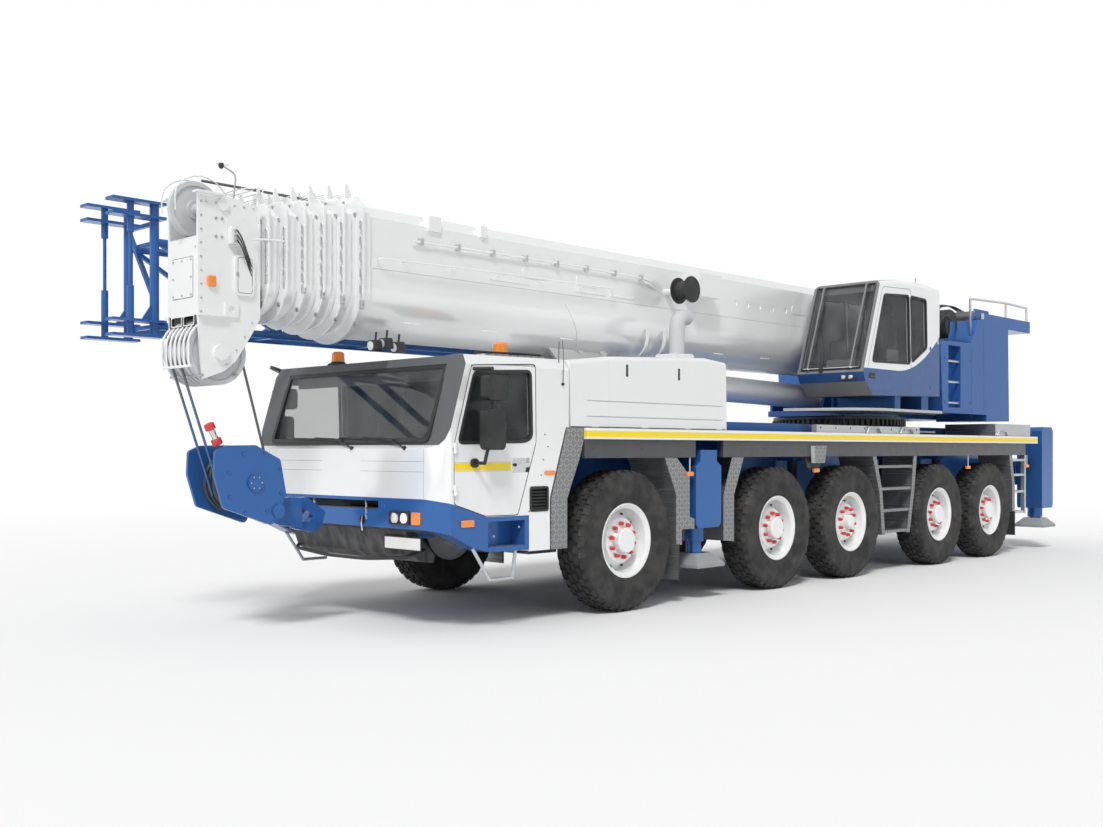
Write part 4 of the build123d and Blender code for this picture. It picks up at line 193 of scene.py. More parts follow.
@dataclass
class Piece:
    """One named mesh, gathered from skinned grids, each with its own finish."""

    name: str
    body: str
    slot: str
    smooth_below: float = 38.0  # degrees between faces that still shade as one surface
    vertices: list[Array] = field(default_factory=list)
    faces: list[Sequence[int]] = field(default_factory=list)
    face_finish: list[int] = field(default_factory=list)
    finishes: list[Finish] = field(default_factory=list)
    count: int = 0

    def take(self, points: Array, faces: list[Sequence[int]], finish: Finish) -> None:
        """Adds points and the faces between them in one finish."""
        if finish not in self.finishes:
            self.finishes.append(finish)
        self.vertices.append(points)
        self.faces.extend([[i + self.count for i in face] for face in faces])
        self.face_finish.extend([self.finishes.index(finish)] * len(faces))
        self.count += len(points)

    def skin(
        self, rings: Array, finish: Finish, closed: bool = True, ends: bool = True, loop: bool = False,
    ) -> None:
        """Joins rings of points into a surface.

        Quad (i, j) spans rings i and i+1 and points j and j+1. A closed shape is turned so that the sum of
        its corner triple products, six times its volume, is positive, which points its faces outwards.

        Args:
            rings: an (m, n, 3) array, m rings of n points.
            finish: the finish of these faces.
            closed: whether each ring closes on itself.
            ends: whether the first and last ring get a face over them.
            loop: whether the last ring joins the first.
        """
        m, n = rings.shape[:2]
        rows = np.arange(m if loop else m - 1)[:, None]
        columns = np.arange(n if closed else n - 1)[None, :]
        above, beside = (rows + 1) % m, (columns + 1) % n
        quads = np.stack([
            rows * n + columns, rows * n + beside, above * n + beside, above * n + columns,
        ], axis=-1).reshape(-1, 4)
        points = rings.reshape(-1, 3)
        faces: list[Sequence[int]] = quads.tolist()
        if closed and ends and not loop:
            faces += [list(range(n))[::-1], list(range((m - 1) * n, m * n))]
        if closed:
            centred = points - points.mean(axis=0)
            corner = centred[quads]
            volume = np.sum(np.cross(corner[:, 0], corner[:, 1]) * corner[:, 2])
            volume += np.sum(np.cross(corner[:, 0], corner[:, 2]) * corner[:, 3])
            if volume < 0:
                faces = [face[::-1] for face in faces]
        self.take(points, faces, finish)

    def prism(
        self, outline: Array, across: Across, low: float, high: float, finish: Finish, bevel: float = 0.004,
    ) -> None:
        """Carries a flat outline along an axis and chamfers both ends.

        Ring k is the outline, inset by the chamfer at the two ends, at the four stations low, low + bevel,
        high - bevel and high.
        """
        flat = np.asarray(outline, float)
        bevel = min(bevel, abs(high - low) / 3)
        along, first, second = across.value
        rings = np.empty((4, len(flat), 3))
        for ring, (station, shrink) in enumerate((
            (low, bevel), (low + bevel, 0.0), (high - bevel, 0.0), (high, bevel))):
            shape = inset(flat, shrink) if shrink else flat
            rings[ring, :, along] = station
            rings[ring, :, first] = shape[:, 0]
            rings[ring, :, second] = shape[:, 1]
        self.skin(rings, finish)

    def box(self, x: Pair, y: Pair, z: Pair, finish: Finish, bevel: float = 0.004) -> None:
        """A chamfered block between three (low, high) pairs."""
        corners = np.array([(x[0], y[0]), (x[1], y[0]), (x[1], y[1]), (x[0], y[1])])
        small = min(bevel, (x[1] - x[0]) / 4, (y[1] - y[0]) / 4)
        self.prism(rounded(corners, small, 2), Across.Z, z[0], z[1], finish, bevel)

    def tube(self, line: Array | Sequence[Point], radius: float, finish: Finish, sides: int = 12) -> None:
        """A round tube: the point at angle a of ring i is line(i) + radius (cos a n(i) + sin a b(i))."""
        line = np.asarray(line, float)
        normal, binormal = frames_along(line)
        circle = ring_of(sides, radius)
        rings = line[:, None] + circle[None, :, :1] * normal[:, None] + circle[None, :, 1:] * binormal[:, None]
        self.skin(rings, finish)

    def rod(self, start: Point, end: Point, radius: float, finish: Finish, sides: int = 12) -> None:
        """A straight round bar between two points."""
        self.tube([start, end], radius, finish, sides)

    def screw(self, shape: tuple[float, ...], base: Point, axis: Point, finish: Finish, sides: int) -> None:
        """A screw's or bolt's head: shape has its radius, and the heights of its foot, its edge and its middle."""
        radius, foot, edge, middle = shape
        self.lathe(((radius, foot), (radius, edge), (0.0005, middle)), base, axis, finish, sides)

    def pipe(self, run: Sequence[Point], bend: float, radius: float, finish: Finish, sides: int) -> None:
        """A tube along a run of points whose corners are bent to a radius."""
        self.tube(smooth_line(run, bend), radius, finish, sides)

    def lathe(
        self, profile: Sequence[Pair], centre: Point, axis: Point, finish: Finish, sides: int = 32,
        loop: bool = False) -> None:
        """Turns a profile of (radius, distance along the axis) round an axis.

        The point at angle a of ring i is centre + along(i) axis + radius(i) (cos a u + sin a v).
        """
        shape = np.asarray(profile, float)
        direction = np.asarray(axis, float) / np.linalg.norm(axis)
        helper = np.eye(3)[np.argmin(np.abs(direction))]
        u = np.cross(direction, helper)
        u /= np.linalg.norm(u)
        v = np.cross(direction, u)
        circle = ring_of(sides)
        spokes = circle[:, :1] * u + circle[:, 1:] * v
        rings = (
            np.asarray(centre, float) + shape[:, None, 1:] * direction + np.maximum(
                shape[:, None, :1], 1e-4) * spokes)
        self.skin(rings, finish, loop=loop)

    def build(self, replaces: Sequence[str] = ()) -> bpy.types.Object:
        """Makes the Blender object, gives it its finishes and lets it ride on its body."""
        mesh = bpy.data.meshes.new(self.name)
        mesh.from_pydata((np.vstack(self.vertices) + OFFSET).tolist(), [], self.faces)
        for finish in self.finishes:
            mesh.materials.append(finish.material())
        mesh.polygons.foreach_set("material_index", np.asarray(self.face_finish, np.int32))
        mesh.polygons.foreach_set("use_smooth", np.ones(len(mesh.polygons), bool))
        mesh.set_sharp_from_angle(angle=math.radians(self.smooth_below))
        mesh.update()
        piece = bpy.data.objects.new(self.name, mesh)
        bpy.context.scene.collection.objects.link(piece)
        if replaces:
            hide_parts(*replaces)
        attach(piece, self.body)
        LOG.info("%s: %d faces on %s", self.name, len(mesh.polygons), self.body)
        return piece


# ---------------------------------------------------------------------------
# Finishes
# ---------------------------------------------------------------------------
class Nodes:
    """A material's node tree with short calls for the nodes that the finishes use."""

    def __init__(self, name: str) -> None:
        """Starts an empty material with its output and main shader."""
        self.material = bpy.data.materials.new(name)
        self.material.use_nodes = True
        self.tree = self.material.node_tree
        self.tree.nodes.clear()
        output = self.tree.nodes.new("ShaderNodeOutputMaterial")
        self.shader = self.tree.nodes.new("ShaderNodeBsdfPrincipled")
        self.join(self.shader.outputs[0], output.inputs[0])
        self.place = self.tree.nodes.new("ShaderNodeTexCoord").outputs["Object"]

    def join(self, source: bpy.types.NodeSocket, target: bpy.types.NodeSocket) -> None:
        """Links two sockets."""
        self.tree.links.new(source, target)

    def feed(self, value: object, socket: bpy.types.NodeSocket) -> None:
        """Links a socket, or sets a constant on it."""
        if isinstance(value, bpy.types.NodeSocket):
            self.join(value, socket)
        else:
            socket.default_value = value

    def stretched(self, scale: Point) -> bpy.types.NodeSocket:
        """Object coordinates scaled along each axis."""
        mapping = self.tree.nodes.new("ShaderNodeMapping")
        mapping.inputs["Scale"].default_value = scale
        self.join(self.place, mapping.inputs["Vector"])
        return mapping.outputs[0]

    def noise(self, scale: float, detail: float = 4.0, stretch: Point = (1, 1, 1)) -> bpy.types.NodeSocket:
        """Noise in metres, between 0 and 1."""
        node = self.tree.nodes.new("ShaderNodeTexNoise")
        node.inputs["Scale"].default_value = scale
        node.inputs["Detail"].default_value = detail
        self.join(self.stretched(stretch), node.inputs["Vector"])
        return node.outputs["Fac"]

    def math(self, kind: str, a: object, b: object = 0.0) -> bpy.types.NodeSocket:
        """One arithmetic step."""
        node = self.tree.nodes.new("ShaderNodeMath")
        node.operation = kind
        self.feed(a, node.inputs[0])
        self.feed(b, node.inputs[1])
        return node.outputs[0]

    def spread(
        self, value: object, low: float, high: float, new_low: float, new_high: float,
    ) -> bpy.types.NodeSocket:
        """Moves a value from one range to another, held at its ends."""
        node = self.tree.nodes.new("ShaderNodeMapRange")
        self.feed(value, node.inputs["Value"])
        for name, number in (
            ("From Min", low), ("From Max", high), ("To Min", new_low), ("To Max", new_high)):
            node.inputs[name].default_value = number
        return node.outputs[0]

    def mix(self, share: object, a: object, b: object) -> bpy.types.NodeSocket:
        """Mixes two colours."""
        node = self.tree.nodes.new("ShaderNodeMix")
        node.data_type = "RGBA"
        self.feed(share, node.inputs[0])
        self.feed((*a, 1) if isinstance(a, tuple) else a, node.inputs[6])
        self.feed((*b, 1) if isinstance(b, tuple) else b, node.inputs[7])
        return node.outputs[2]

    def axis(self, number: int) -> bpy.types.NodeSocket:
        """One coordinate of the place on the piece."""
        node = self.tree.nodes.new("ShaderNodeSeparateXYZ")
        self.join(self.place, node.inputs[0])
        return node.outputs[number]

    def bump(self, height: bpy.types.NodeSocket, distance: float, strength: float = 1.0) -> None:
        """Raises the surface by height times distance."""
        node = self.tree.nodes.new("ShaderNodeBump")
        node.inputs["Distance"].default_value = distance
        node.inputs["Strength"].default_value = strength
        self.join(height, node.inputs["Height"])
        self.join(node.outputs[0], self.shader.inputs["Normal"])

    def set(self, **values: object) -> None:
        """Sets or links sockets of the main shader, with _ for a space in the name."""
        for name, value in values.items():
            self.feed(value, self.shader.inputs[name.replace("_", " ")])


@dataclass(frozen=True)
class Finish:
    """What every finish has: a name and a colour, and one Blender material made when first asked for."""

    name: str
    colour: Colour

    def material(self) -> bpy.types.Material:
        """The finish's material."""
        return bpy.data.materials.get(self.name) or self.dress(Nodes(self.name)).material

    def dress(self, nodes: Nodes) -> Nodes:
        """Fills the node tree. Each kind of finish has its own."""
        raise NotImplementedError


@dataclass(frozen=True)
class Band:
    """A stripe of paint over a range of height, along part of the machine."""

    low: float
    high: float
    colour: Colour
    reach: Pair = (-99.0, 99.0)


@dataclass(frozen=True)
class Paint(Finish):
    """Sprayed machine paint: slight waviness, a clear coat, dust that gathers low down, and stripes by height."""

    roughness: float = 0.32
    coat: float = 0.35
    dust: float = 0.12
    bands: tuple[Band, ...] = ()
    waist: tuple[Colour, float, float, float] | None = None

    def dress(self, nodes: Nodes) -> Nodes:
        """Bands by height, a second colour below a swept waistline, cloudy variation, and road dust low down.

        The waistline is at height z0 + bend max(0, start - x)^2, with waist = (colour, z0, bend, start).
        """
        colour: object = self.colour
        height = nodes.axis(2)
        ahead = nodes.math("SUBTRACT", nodes.axis(0), FIRST_AXLE)
        for band in self.bands:
            inside = nodes.math("MULTIPLY", nodes.math("GREATER_THAN", height, band.low),
                                nodes.math("LESS_THAN", height, band.high))
            along = nodes.math("MULTIPLY", nodes.math("GREATER_THAN", ahead, band.reach[0]),
                               nodes.math("LESS_THAN", ahead, band.reach[1]))
            colour = nodes.mix(nodes.math("MULTIPLY", inside, along), colour, band.colour)
        if self.waist is not None:
            below, level, bend, start = self.waist
            behind = nodes.math("MAXIMUM", nodes.math("SUBTRACT", start, ahead), 0.0)
            line = nodes.math(
                "ADD", nodes.math("MULTIPLY", nodes.math("MULTIPLY", behind, behind), bend), level)
            colour = nodes.mix(nodes.math("LESS_THAN", height, line), colour, below)
        cloud = nodes.noise(1.7, 6)
        darker = tuple(c * 0.93 for c in self.colour)
        if not self.bands and self.waist is None:
            colour = nodes.mix(nodes.spread(cloud, 0.35, 0.7, 0, 0.6), colour, darker)
        low_down = nodes.spread(height, 0.4, 1.9, 1.0, 0.12)
        speckle = nodes.spread(nodes.noise(9.0, 8, (1, 1, 0.35)), 0.42, 0.75, 0, 1)
        dusty = nodes.math("MULTIPLY", nodes.math("MULTIPLY", speckle, low_down), self.dust)
        colour = nodes.mix(dusty, colour, (0.36, 0.33, 0.29))
        rough = nodes.spread(nodes.noise(14.0, 5), 0.3, 0.75, self.roughness, self.roughness + 0.14)
        nodes.set(Base_Color=colour, Roughness=rough, Coat_Weight=self.coat, Coat_Roughness=0.12)
        nodes.bump(nodes.noise(55.0, 2), 0.0006, 0.35)
        return nodes


@dataclass(frozen=True)
class Metal(Finish):
    """Bare or plated metal with a brushed or cloudy surface."""

    roughness: float = 0.35
    brushed: Point = (1, 1, 1)
    metallic: float = 1.0
    grain: float = 60.0

    def dress(self, nodes: Nodes) -> Nodes:
        """Brush marks as noise drawn out along one axis, and cloudy tarnish."""
        marks = nodes.noise(self.grain, 6, self.brushed)
        cloud = nodes.spread(nodes.noise(3.0, 5), 0.35, 0.7, 0.0, 0.5)
        colour = nodes.mix(cloud, self.colour, tuple(c * 0.72 for c in self.colour))
        rough = nodes.spread(marks, 0.3, 0.7, self.roughness, self.roughness + 0.2)
        nodes.set(Base_Color=colour, Roughness=rough, Metallic=self.metallic)
        nodes.bump(marks, 0.0005, 0.4)
        return nodes


@dataclass(frozen=True)
class TreadPlate(Finish):
    """Aluminium tread plate: raised lozenges in two directions by turns on a square pitch."""

    pitch: float = 0.046
    plane: tuple[int, int] = (0, 2)
    metallic: float = 0.75

    def dress(self, nodes: Nodes) -> Nodes:
        """Height is high near the diagonal of each cell, whose slope changes sign from cell to cell."""
        a = nodes.math("DIVIDE", nodes.axis(self.plane[0]), self.pitch)
        b = nodes.math("DIVIDE", nodes.axis(self.plane[1]), self.pitch)
        cell = nodes.math("ADD", nodes.math("FLOOR", a), nodes.math("FLOOR", b))
        parity = nodes.math("PINGPONG", cell, 1.0)
        sign = nodes.math("SUBTRACT", nodes.math("MULTIPLY", parity, 2.0), 1.0)
        u = nodes.math("SUBTRACT", nodes.math("FRACT", a), 0.5)
        v = nodes.math("MULTIPLY", nodes.math("SUBTRACT", nodes.math("FRACT", b), 0.5), sign)
        across = nodes.math("ABSOLUTE", nodes.math("SUBTRACT", u, v))
        along = nodes.math("ABSOLUTE", nodes.math("ADD", u, v))
        ridge = nodes.math(
            "MULTIPLY", nodes.spread(across, 0.1, 0.26, 1, 0), nodes.spread(along, 0.5, 0.8, 1, 0))
        worn = nodes.mix(
            nodes.spread(ridge, 0, 1, 0.0, 0.8), tuple(c * 0.55 for c in self.colour), self.colour)
        cloud = nodes.spread(nodes.noise(4.0, 6), 0.4, 0.7, 0.0, 0.45)
        nodes.set(
            Base_Color=nodes.mix(cloud, worn, tuple(c * 0.6 for c in self.colour)), Metallic=self.metallic,
            Roughness=nodes.spread(ridge, 0, 1, 0.5, 0.3),
        )
        nodes.bump(ridge, 0.003, 0.9)
        return nodes


@dataclass(frozen=True)
class Rubber(Finish):
    """Tyre rubber or black moulding: mottled, with patches of dust, matt."""

    roughness: float = 0.75
    dust: float = 0.25
    grain: float = 120.0

    def dress(self, nodes: Nodes) -> Nodes:
        """Two noises mix a browner dust into the black and break up its sheen."""
        film = nodes.math("MULTIPLY", nodes.spread(nodes.noise(7.0, 6), 0.38, 0.7, 0, 1), self.dust)
        colour = nodes.mix(film, self.colour, (0.16, 0.15, 0.135))
        grain = nodes.noise(self.grain, 3)
        nodes.set(Base_Color=colour, Roughness=nodes.spread(
            grain, 0.3, 0.7, self.roughness - 0.1, self.roughness + 0.1))
        nodes.bump(grain, 0.0012, 0.5)
        return nodes


@dataclass(frozen=True)
class Glazing(Finish):
    """Tinted safety glass that lets the cab show through."""

    tint: float = 0.22

    def dress(self, nodes: Nodes) -> Nodes:
        """Mostly clear, with a faint film of dust that changes its gloss."""
        film = nodes.spread(nodes.noise(2.5, 5), 0.4, 0.75, 0.02, 0.09)
        nodes.set(
            Base_Color=nodes.mix(nodes.spread(film, 0.02, 0.09, 0, 0.3), self.colour, (0.5, 0.53, 0.54)),
            Roughness=film, IOR=1.46, Alpha=self.tint, Coat_Weight=1.0, Coat_Roughness=0.02)
        nodes.material.surface_render_method = "BLENDED"
        return nodes


@dataclass(frozen=True)
class Lens(Finish):
    """A moulded lamp lens with fine vertical ribs."""

    glow: float = 0.0

    def dress(self, nodes: Nodes) -> Nodes:
        """Ribs are a sine of the distance along Y and X, and the colour deepens between them."""
        ribs = nodes.math("SINE", nodes.math(
            "MULTIPLY", nodes.math("ADD", nodes.axis(0), nodes.axis(1)), 420.0))
        share = nodes.spread(ribs, -1, 1, 0, 0.5)
        nodes.set(
            Base_Color=nodes.mix(share, self.colour, tuple(c * 0.6 for c in self.colour)), Roughness=0.12,
            Coat_Weight=1.0, Emission_Color=(*self.colour, 1), Emission_Strength=self.glow)
        nodes.bump(ribs, 0.0008, 0.6)
        return nodes


WHITE = Paint("white_paint", (0.80, 0.81, 0.815))
BLUE = Paint("blue_paint", (0.024, 0.085, 0.255), roughness=0.3, coat=0.45, dust=0.10)
STEEL_DARK = Paint("chassis_black", (0.022, 0.024, 0.028), roughness=0.5, coat=0.05, dust=0.35)
PALE_GREY = Paint("pale_grey_paint", (0.56, 0.575, 0.59), roughness=0.5, coat=0.05, dust=0.1)
RED = Paint("red_enamel", (0.62, 0.03, 0.035), roughness=0.3, coat=0.4, dust=0.08)
TREAD_SIDE = TreadPlate("tread_plate_side", (0.50, 0.51, 0.52))
TREAD_TOP = TreadPlate("tread_plate_top", (0.47, 0.48, 0.49), plane=(0, 1))
ALUMINIUM = Metal("aluminium", (0.62, 0.63, 0.64), roughness=0.38, brushed=(0.05, 1, 1))
STEEL = Metal("ground_steel", (0.52, 0.53, 0.54), roughness=0.3, brushed=(1, 1, 0.1))
CHROME = Metal("chromed_rod", (0.78, 0.79, 0.8), roughness=0.09, grain=8.0)
ROPE = Metal("rope_wire", (0.20, 0.20, 0.205), roughness=0.5, grain=260.0)
TYRE = Rubber("tyre_rubber", (0.018, 0.018, 0.019))
FLAP = Rubber("flap_rubber", (0.014, 0.014, 0.015), dust=0.15)
BLACK = Rubber("black_moulding", (0.017, 0.018, 0.019), roughness=0.5, dust=0.12, grain=220.0)
TRIM = Rubber("grey_trim", (0.10, 0.105, 0.112), roughness=0.62, dust=0.1, grain=260.0)
GLASS = Glazing("tinted_glass", (0.035, 0.045, 0.05))
AMBER = Lens("amber_lens", (0.85, 0.24, 0.01), glow=0.12)
RED_LENS = Lens("red_lens", (0.55, 0.015, 0.012), glow=0.05)
CLEAR_LENS = Lens("clear_lens", (0.75, 0.78, 0.8), glow=0.0)
LIT_LENS = Lens("lit_lens", (0.97, 0.98, 1.0), glow=2.2)
MIRROR = Metal("mirror_glass", (0.85, 0.87, 0.88), roughness=0.03, grain=3.0)
YELLOW_LINE = (0.88, 0.66, 0.012)
LINE_WHITE = (0.80, 0.81, 0.815)
DECK_LINES = Paint("deck_edge_paint", (0.024, 0.085, 0.255), roughness=0.3, bands=(
    Band(1.40, 1.692, (0.05, 0.052, 0.056)), Band(1.692, 1.712, LINE_WHITE), Band(1.712, 1.772, YELLOW_LINE),
    Band(1.772, 1.81, LINE_WHITE),
))

GREY_LINE = (0.30, 0.31, 0.32)
DOOR_REACH = (1.57, 2.24)
DOOR_PAINT = Paint("door_paint", (0.80, 0.81, 0.815), bands=(
    Band(1.402, 1.485, GREY_LINE, DOOR_REACH), Band(1.405, 1.482, LINE_WHITE, DOOR_REACH),
    Band(1.410, 1.477, YELLOW_LINE, DOOR_REACH),
))
CAB_TWO_TONE = Paint("crane_cab_paint", (0.80, 0.81, 0.815), roughness=0.3, coat=0.45,
                     waist=((0.024, 0.085, 0.255), 2.630, 0.363, -5.450))
PIPE_GREY = Paint("exhaust_grey", (0.50, 0.52, 0.54), roughness=0.55, coat=0.0, dust=0.2)
FLOAT_GREY = Paint("float_grey", (0.30, 0.315, 0.33), roughness=0.55, coat=0.0, dust=0.3)
PLATE_WHITE = Paint("blank_plate", (0.74, 0.74, 0.72), roughness=0.42, coat=0.1)
# grey for pressed creases: painted shade, not a paint colour of the machine
PAINTED_CREASE_SHADE = Paint("crease_shade", (0.42, 0.43, 0.44), roughness=0.5, coat=0.0)
JOINT = Paint("joint_shade", (0.012, 0.02, 0.045), roughness=0.6, coat=0.0)
GREASED = Paint("greased_ring", (0.035, 0.034, 0.033), roughness=0.35, coat=0.3, dust=0.3)
LINING = Rubber("cab_lining", (0.20, 0.205, 0.21), roughness=0.7, dust=0.05)
GRATE = Metal("step_grate", (0.20, 0.205, 0.21), roughness=0.5, grain=120.0)
SEAT_CLOTH = Rubber("seat_cloth", (0.055, 0.058, 0.066), roughness=0.9, dust=0.1, grain=420.0)
SCREEN = Rubber("display_glass", (0.01, 0.014, 0.02), roughness=0.12, dust=0.02, grain=40.0)


@dataclass(frozen=True)
class Zone:
    """A finish for the faces whose middles lie in a box, on either side of the machine, and that face one way.

    Facing is an axis and the least share of the normal along it, or the most where that is negative.
    """

    finish: Finish
    x: Pair = (-99.0, 99.0)
    y: Pair = (0.0, 99.0)
    z: Pair = (-99.0, 99.0)
    facing: tuple[int, float] | None = None

    def holds(self, middles: Array, normals: Array) -> Array:
        """Which faces the zone takes, from their middles ahead of the first axle and their normals."""
        held = np.ones(len(middles), bool)
        for values, (low, high) in zip((
            middles[:, 0], np.abs(middles[:, 1]), middles[:, 2],
        ), (self.x, self.y, self.z)):
            held &= (values >= low) & (values <= high)
        if self.facing is not None:
            axis, share = self.facing
            held &= normals[:, axis] * np.sign(share) >= abs(share)
        return held


@dataclass
class Dressed:
    """A CAD node shown as a welded copy of itself, with softened edges and a finish for each zone."""

    node: str
    finish: Finish
    zones: tuple[Zone, ...] = ()
    left_out: tuple[Zone, ...] = ()
    edge: float = 0.004
    smooth_below: float = 30.0

    def build(self) -> bpy.types.Object:
        """Copies, welds and bevels the node, and gives each face the finish of the first zone that takes it.

        Returns:
            The piece that stands for the node.
        """
        source = FRAME["nodes"][self.node]
        mesh = source.data.copy()
        mesh.name = f"{self.node}_skin"
        form = bmesh.new()
        form.from_mesh(mesh)
        bmesh.ops.remove_doubles(form, verts=form.verts, dist=2e-5)
        bmesh.ops.dissolve_limit(form, angle_limit=math.radians(0.4), verts=form.verts, edges=form.edges)
        if self.left_out:
            form.faces.ensure_lookup_table()
            middles = np.array([face.calc_center_median()[:] for face in form.faces]) - OFFSET
            normals = np.array([face.normal[:] for face in form.faces])
            gone = np.any([zone.holds(middles, normals) for zone in self.left_out], axis=0)
            bmesh.ops.delete(form, geom=[form.faces[i] for i in np.flatnonzero(gone)], context="FACES")
        form.to_mesh(mesh)
        form.free()
        mesh.materials.clear()
        for finish in (self.finish, *(zone.finish for zone in self.zones)):
            mesh.materials.append(finish.material())
        count = len(mesh.polygons)
        middles, normals = np.empty(count * 3), np.empty(count * 3)
        mesh.polygons.foreach_get("center", middles)
        mesh.polygons.foreach_get("normal", normals)
        middles, normals = middles.reshape(-1, 3) - OFFSET, normals.reshape(-1, 3)
        chosen = np.zeros(count, np.int32)
        for number in range(len(self.zones), 0, -1):
            chosen[self.zones[number - 1].holds(middles, normals)] = number
        mesh.polygons.foreach_set("material_index", chosen)
        mesh.polygons.foreach_set("use_smooth", np.ones(count, bool))
        if mesh.has_custom_normals:
            mesh.attributes.remove(mesh.attributes["custom_normal"])
        mesh.set_sharp_from_angle(angle=math.radians(self.smooth_below))
        piece = bpy.data.objects.new(f"{self.node}_skin", mesh)
        bpy.context.scene.collection.objects.link(piece)
        if self.edge:
            bevel = piece.modifiers.new("edges", "BEVEL")
            bevel.width = self.edge
            bevel.segments = 2
            bevel.limit_method = "ANGLE"
            bevel.angle_limit = math.radians(40)
        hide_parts(self.node)
        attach(piece, BODY_OF[self.node])
        LOG.info("%s: welded copy with %d faces", piece.name, count)
        return piece


# ---------------------------------------------------------------------------
# Stage
# ---------------------------------------------------------------------------
@dataclass
class Stage:
    """The pale floor, the soft light and the camera."""

    eye: Point = (12.468, 9.019, 1.587)
    look: Point = (-0.7203, -0.6937, -0.0017)
    lens: float = 38.71
    rise: float = 0.03505
    floor_half: float = 300.0

    def camera(self) -> None:
        """A standing person's view from ahead of the left front corner."""
        data = bpy.data.cameras.new("view")
        data.sensor_width = 36.0
        data.lens = self.lens
        data.shift_y = self.rise
        data.clip_end = 500.0
        camera = bpy.data.objects.new("view", data)
        camera.location = self.eye
        camera.rotation_euler = Vector(self.look).to_track_quat("-Z", "Y").to_euler()
        bpy.context.scene.collection.objects.link(camera)
        bpy.context.scene.camera = camera

    def floor(self) -> None:
        """A wide pale floor that fades to the white background far from the machine."""
        half = self.floor_half
        mesh = bpy.data.meshes.new("floor")
        mesh.from_pydata([
            (-half, -half, 0), (half, -half, 0), (half, half, 0), (-half, half, 0)], [], [(0, 1, 2, 3)])
        nodes = Nodes("studio_floor")
        nodes.set(Base_Color=(0.80, 0.80, 0.80, 1), Roughness=0.9)
        tree = nodes.tree
        length = tree.nodes.new("ShaderNodeVectorMath")
        length.operation = "LENGTH"
        nodes.join(nodes.place, length.inputs[0])
        far = nodes.spread(length.outputs["Value"], 9.0, 22.0, 0.0, 1.0)
        seen = tree.nodes.new("ShaderNodeLightPath").outputs["Is Camera Ray"]
        share = nodes.math("MULTIPLY", far, seen)
        glow = tree.nodes.new("ShaderNodeEmission")
        mix = tree.nodes.new("ShaderNodeMixShader")
        output = next(node for node in tree.nodes if node.type == "OUTPUT_MATERIAL")
        nodes.join(share, mix.inputs[0])
        nodes.join(nodes.shader.outputs[0], mix.inputs[1])
        nodes.join(glow.outputs[0], mix.inputs[2])
        nodes.join(mix.outputs[0], output.inputs[0])
        mesh.materials.append(nodes.material)
        floor = bpy.data.objects.new("floor", mesh)
        bpy.context.scene.collection.objects.link(floor)

    def light(self) -> None:
        """A white background to the camera, an even sky for the rest, and a soft sun from ahead on the left."""
        world = bpy.data.worlds.new("studio")
        world.use_nodes = True
        bpy.context.scene.world = world
        tree = world.node_tree
        back = tree.nodes["Background"]
        path = tree.nodes.new("ShaderNodeLightPath")
        strength = tree.nodes.new("ShaderNodeMapRange")
        strength.inputs["To Min"].default_value = 0.62
        strength.inputs["To Max"].default_value = 1.0
        seen = tree.nodes.new("ShaderNodeMath")
        seen.operation = "MAXIMUM"
        tree.links.new(path.outputs["Is Camera Ray"], seen.inputs[0])
        tree.links.new(path.outputs["Is Transmission Ray"], seen.inputs[1])
        tree.links.new(seen.outputs[0], strength.inputs["Value"])
        tree.links.new(strength.outputs[0], back.inputs["Strength"])
        back.inputs["Color"].default_value = (1, 1, 1, 1)
        for name, turn, energy, angle in (
            ("sun", (0.72, 0.12, 2.05), 2.1, 0.22), ("fill", (1.1, 0.0, 0.9), 0.5, 0.8)):
            data = bpy.data.lights.new(name, "SUN")
            data.energy = energy
            data.angle = angle
            lamp = bpy.data.objects.new(name, data)
            lamp.rotation_euler = turn
            bpy.context.scene.collection.objects.link(lamp)

    def build(self) -> None:
        """Sets the whole stage."""
        bpy.context.scene.view_settings.view_transform = "Standard"
        self.camera()
        self.floor()
        self.light()


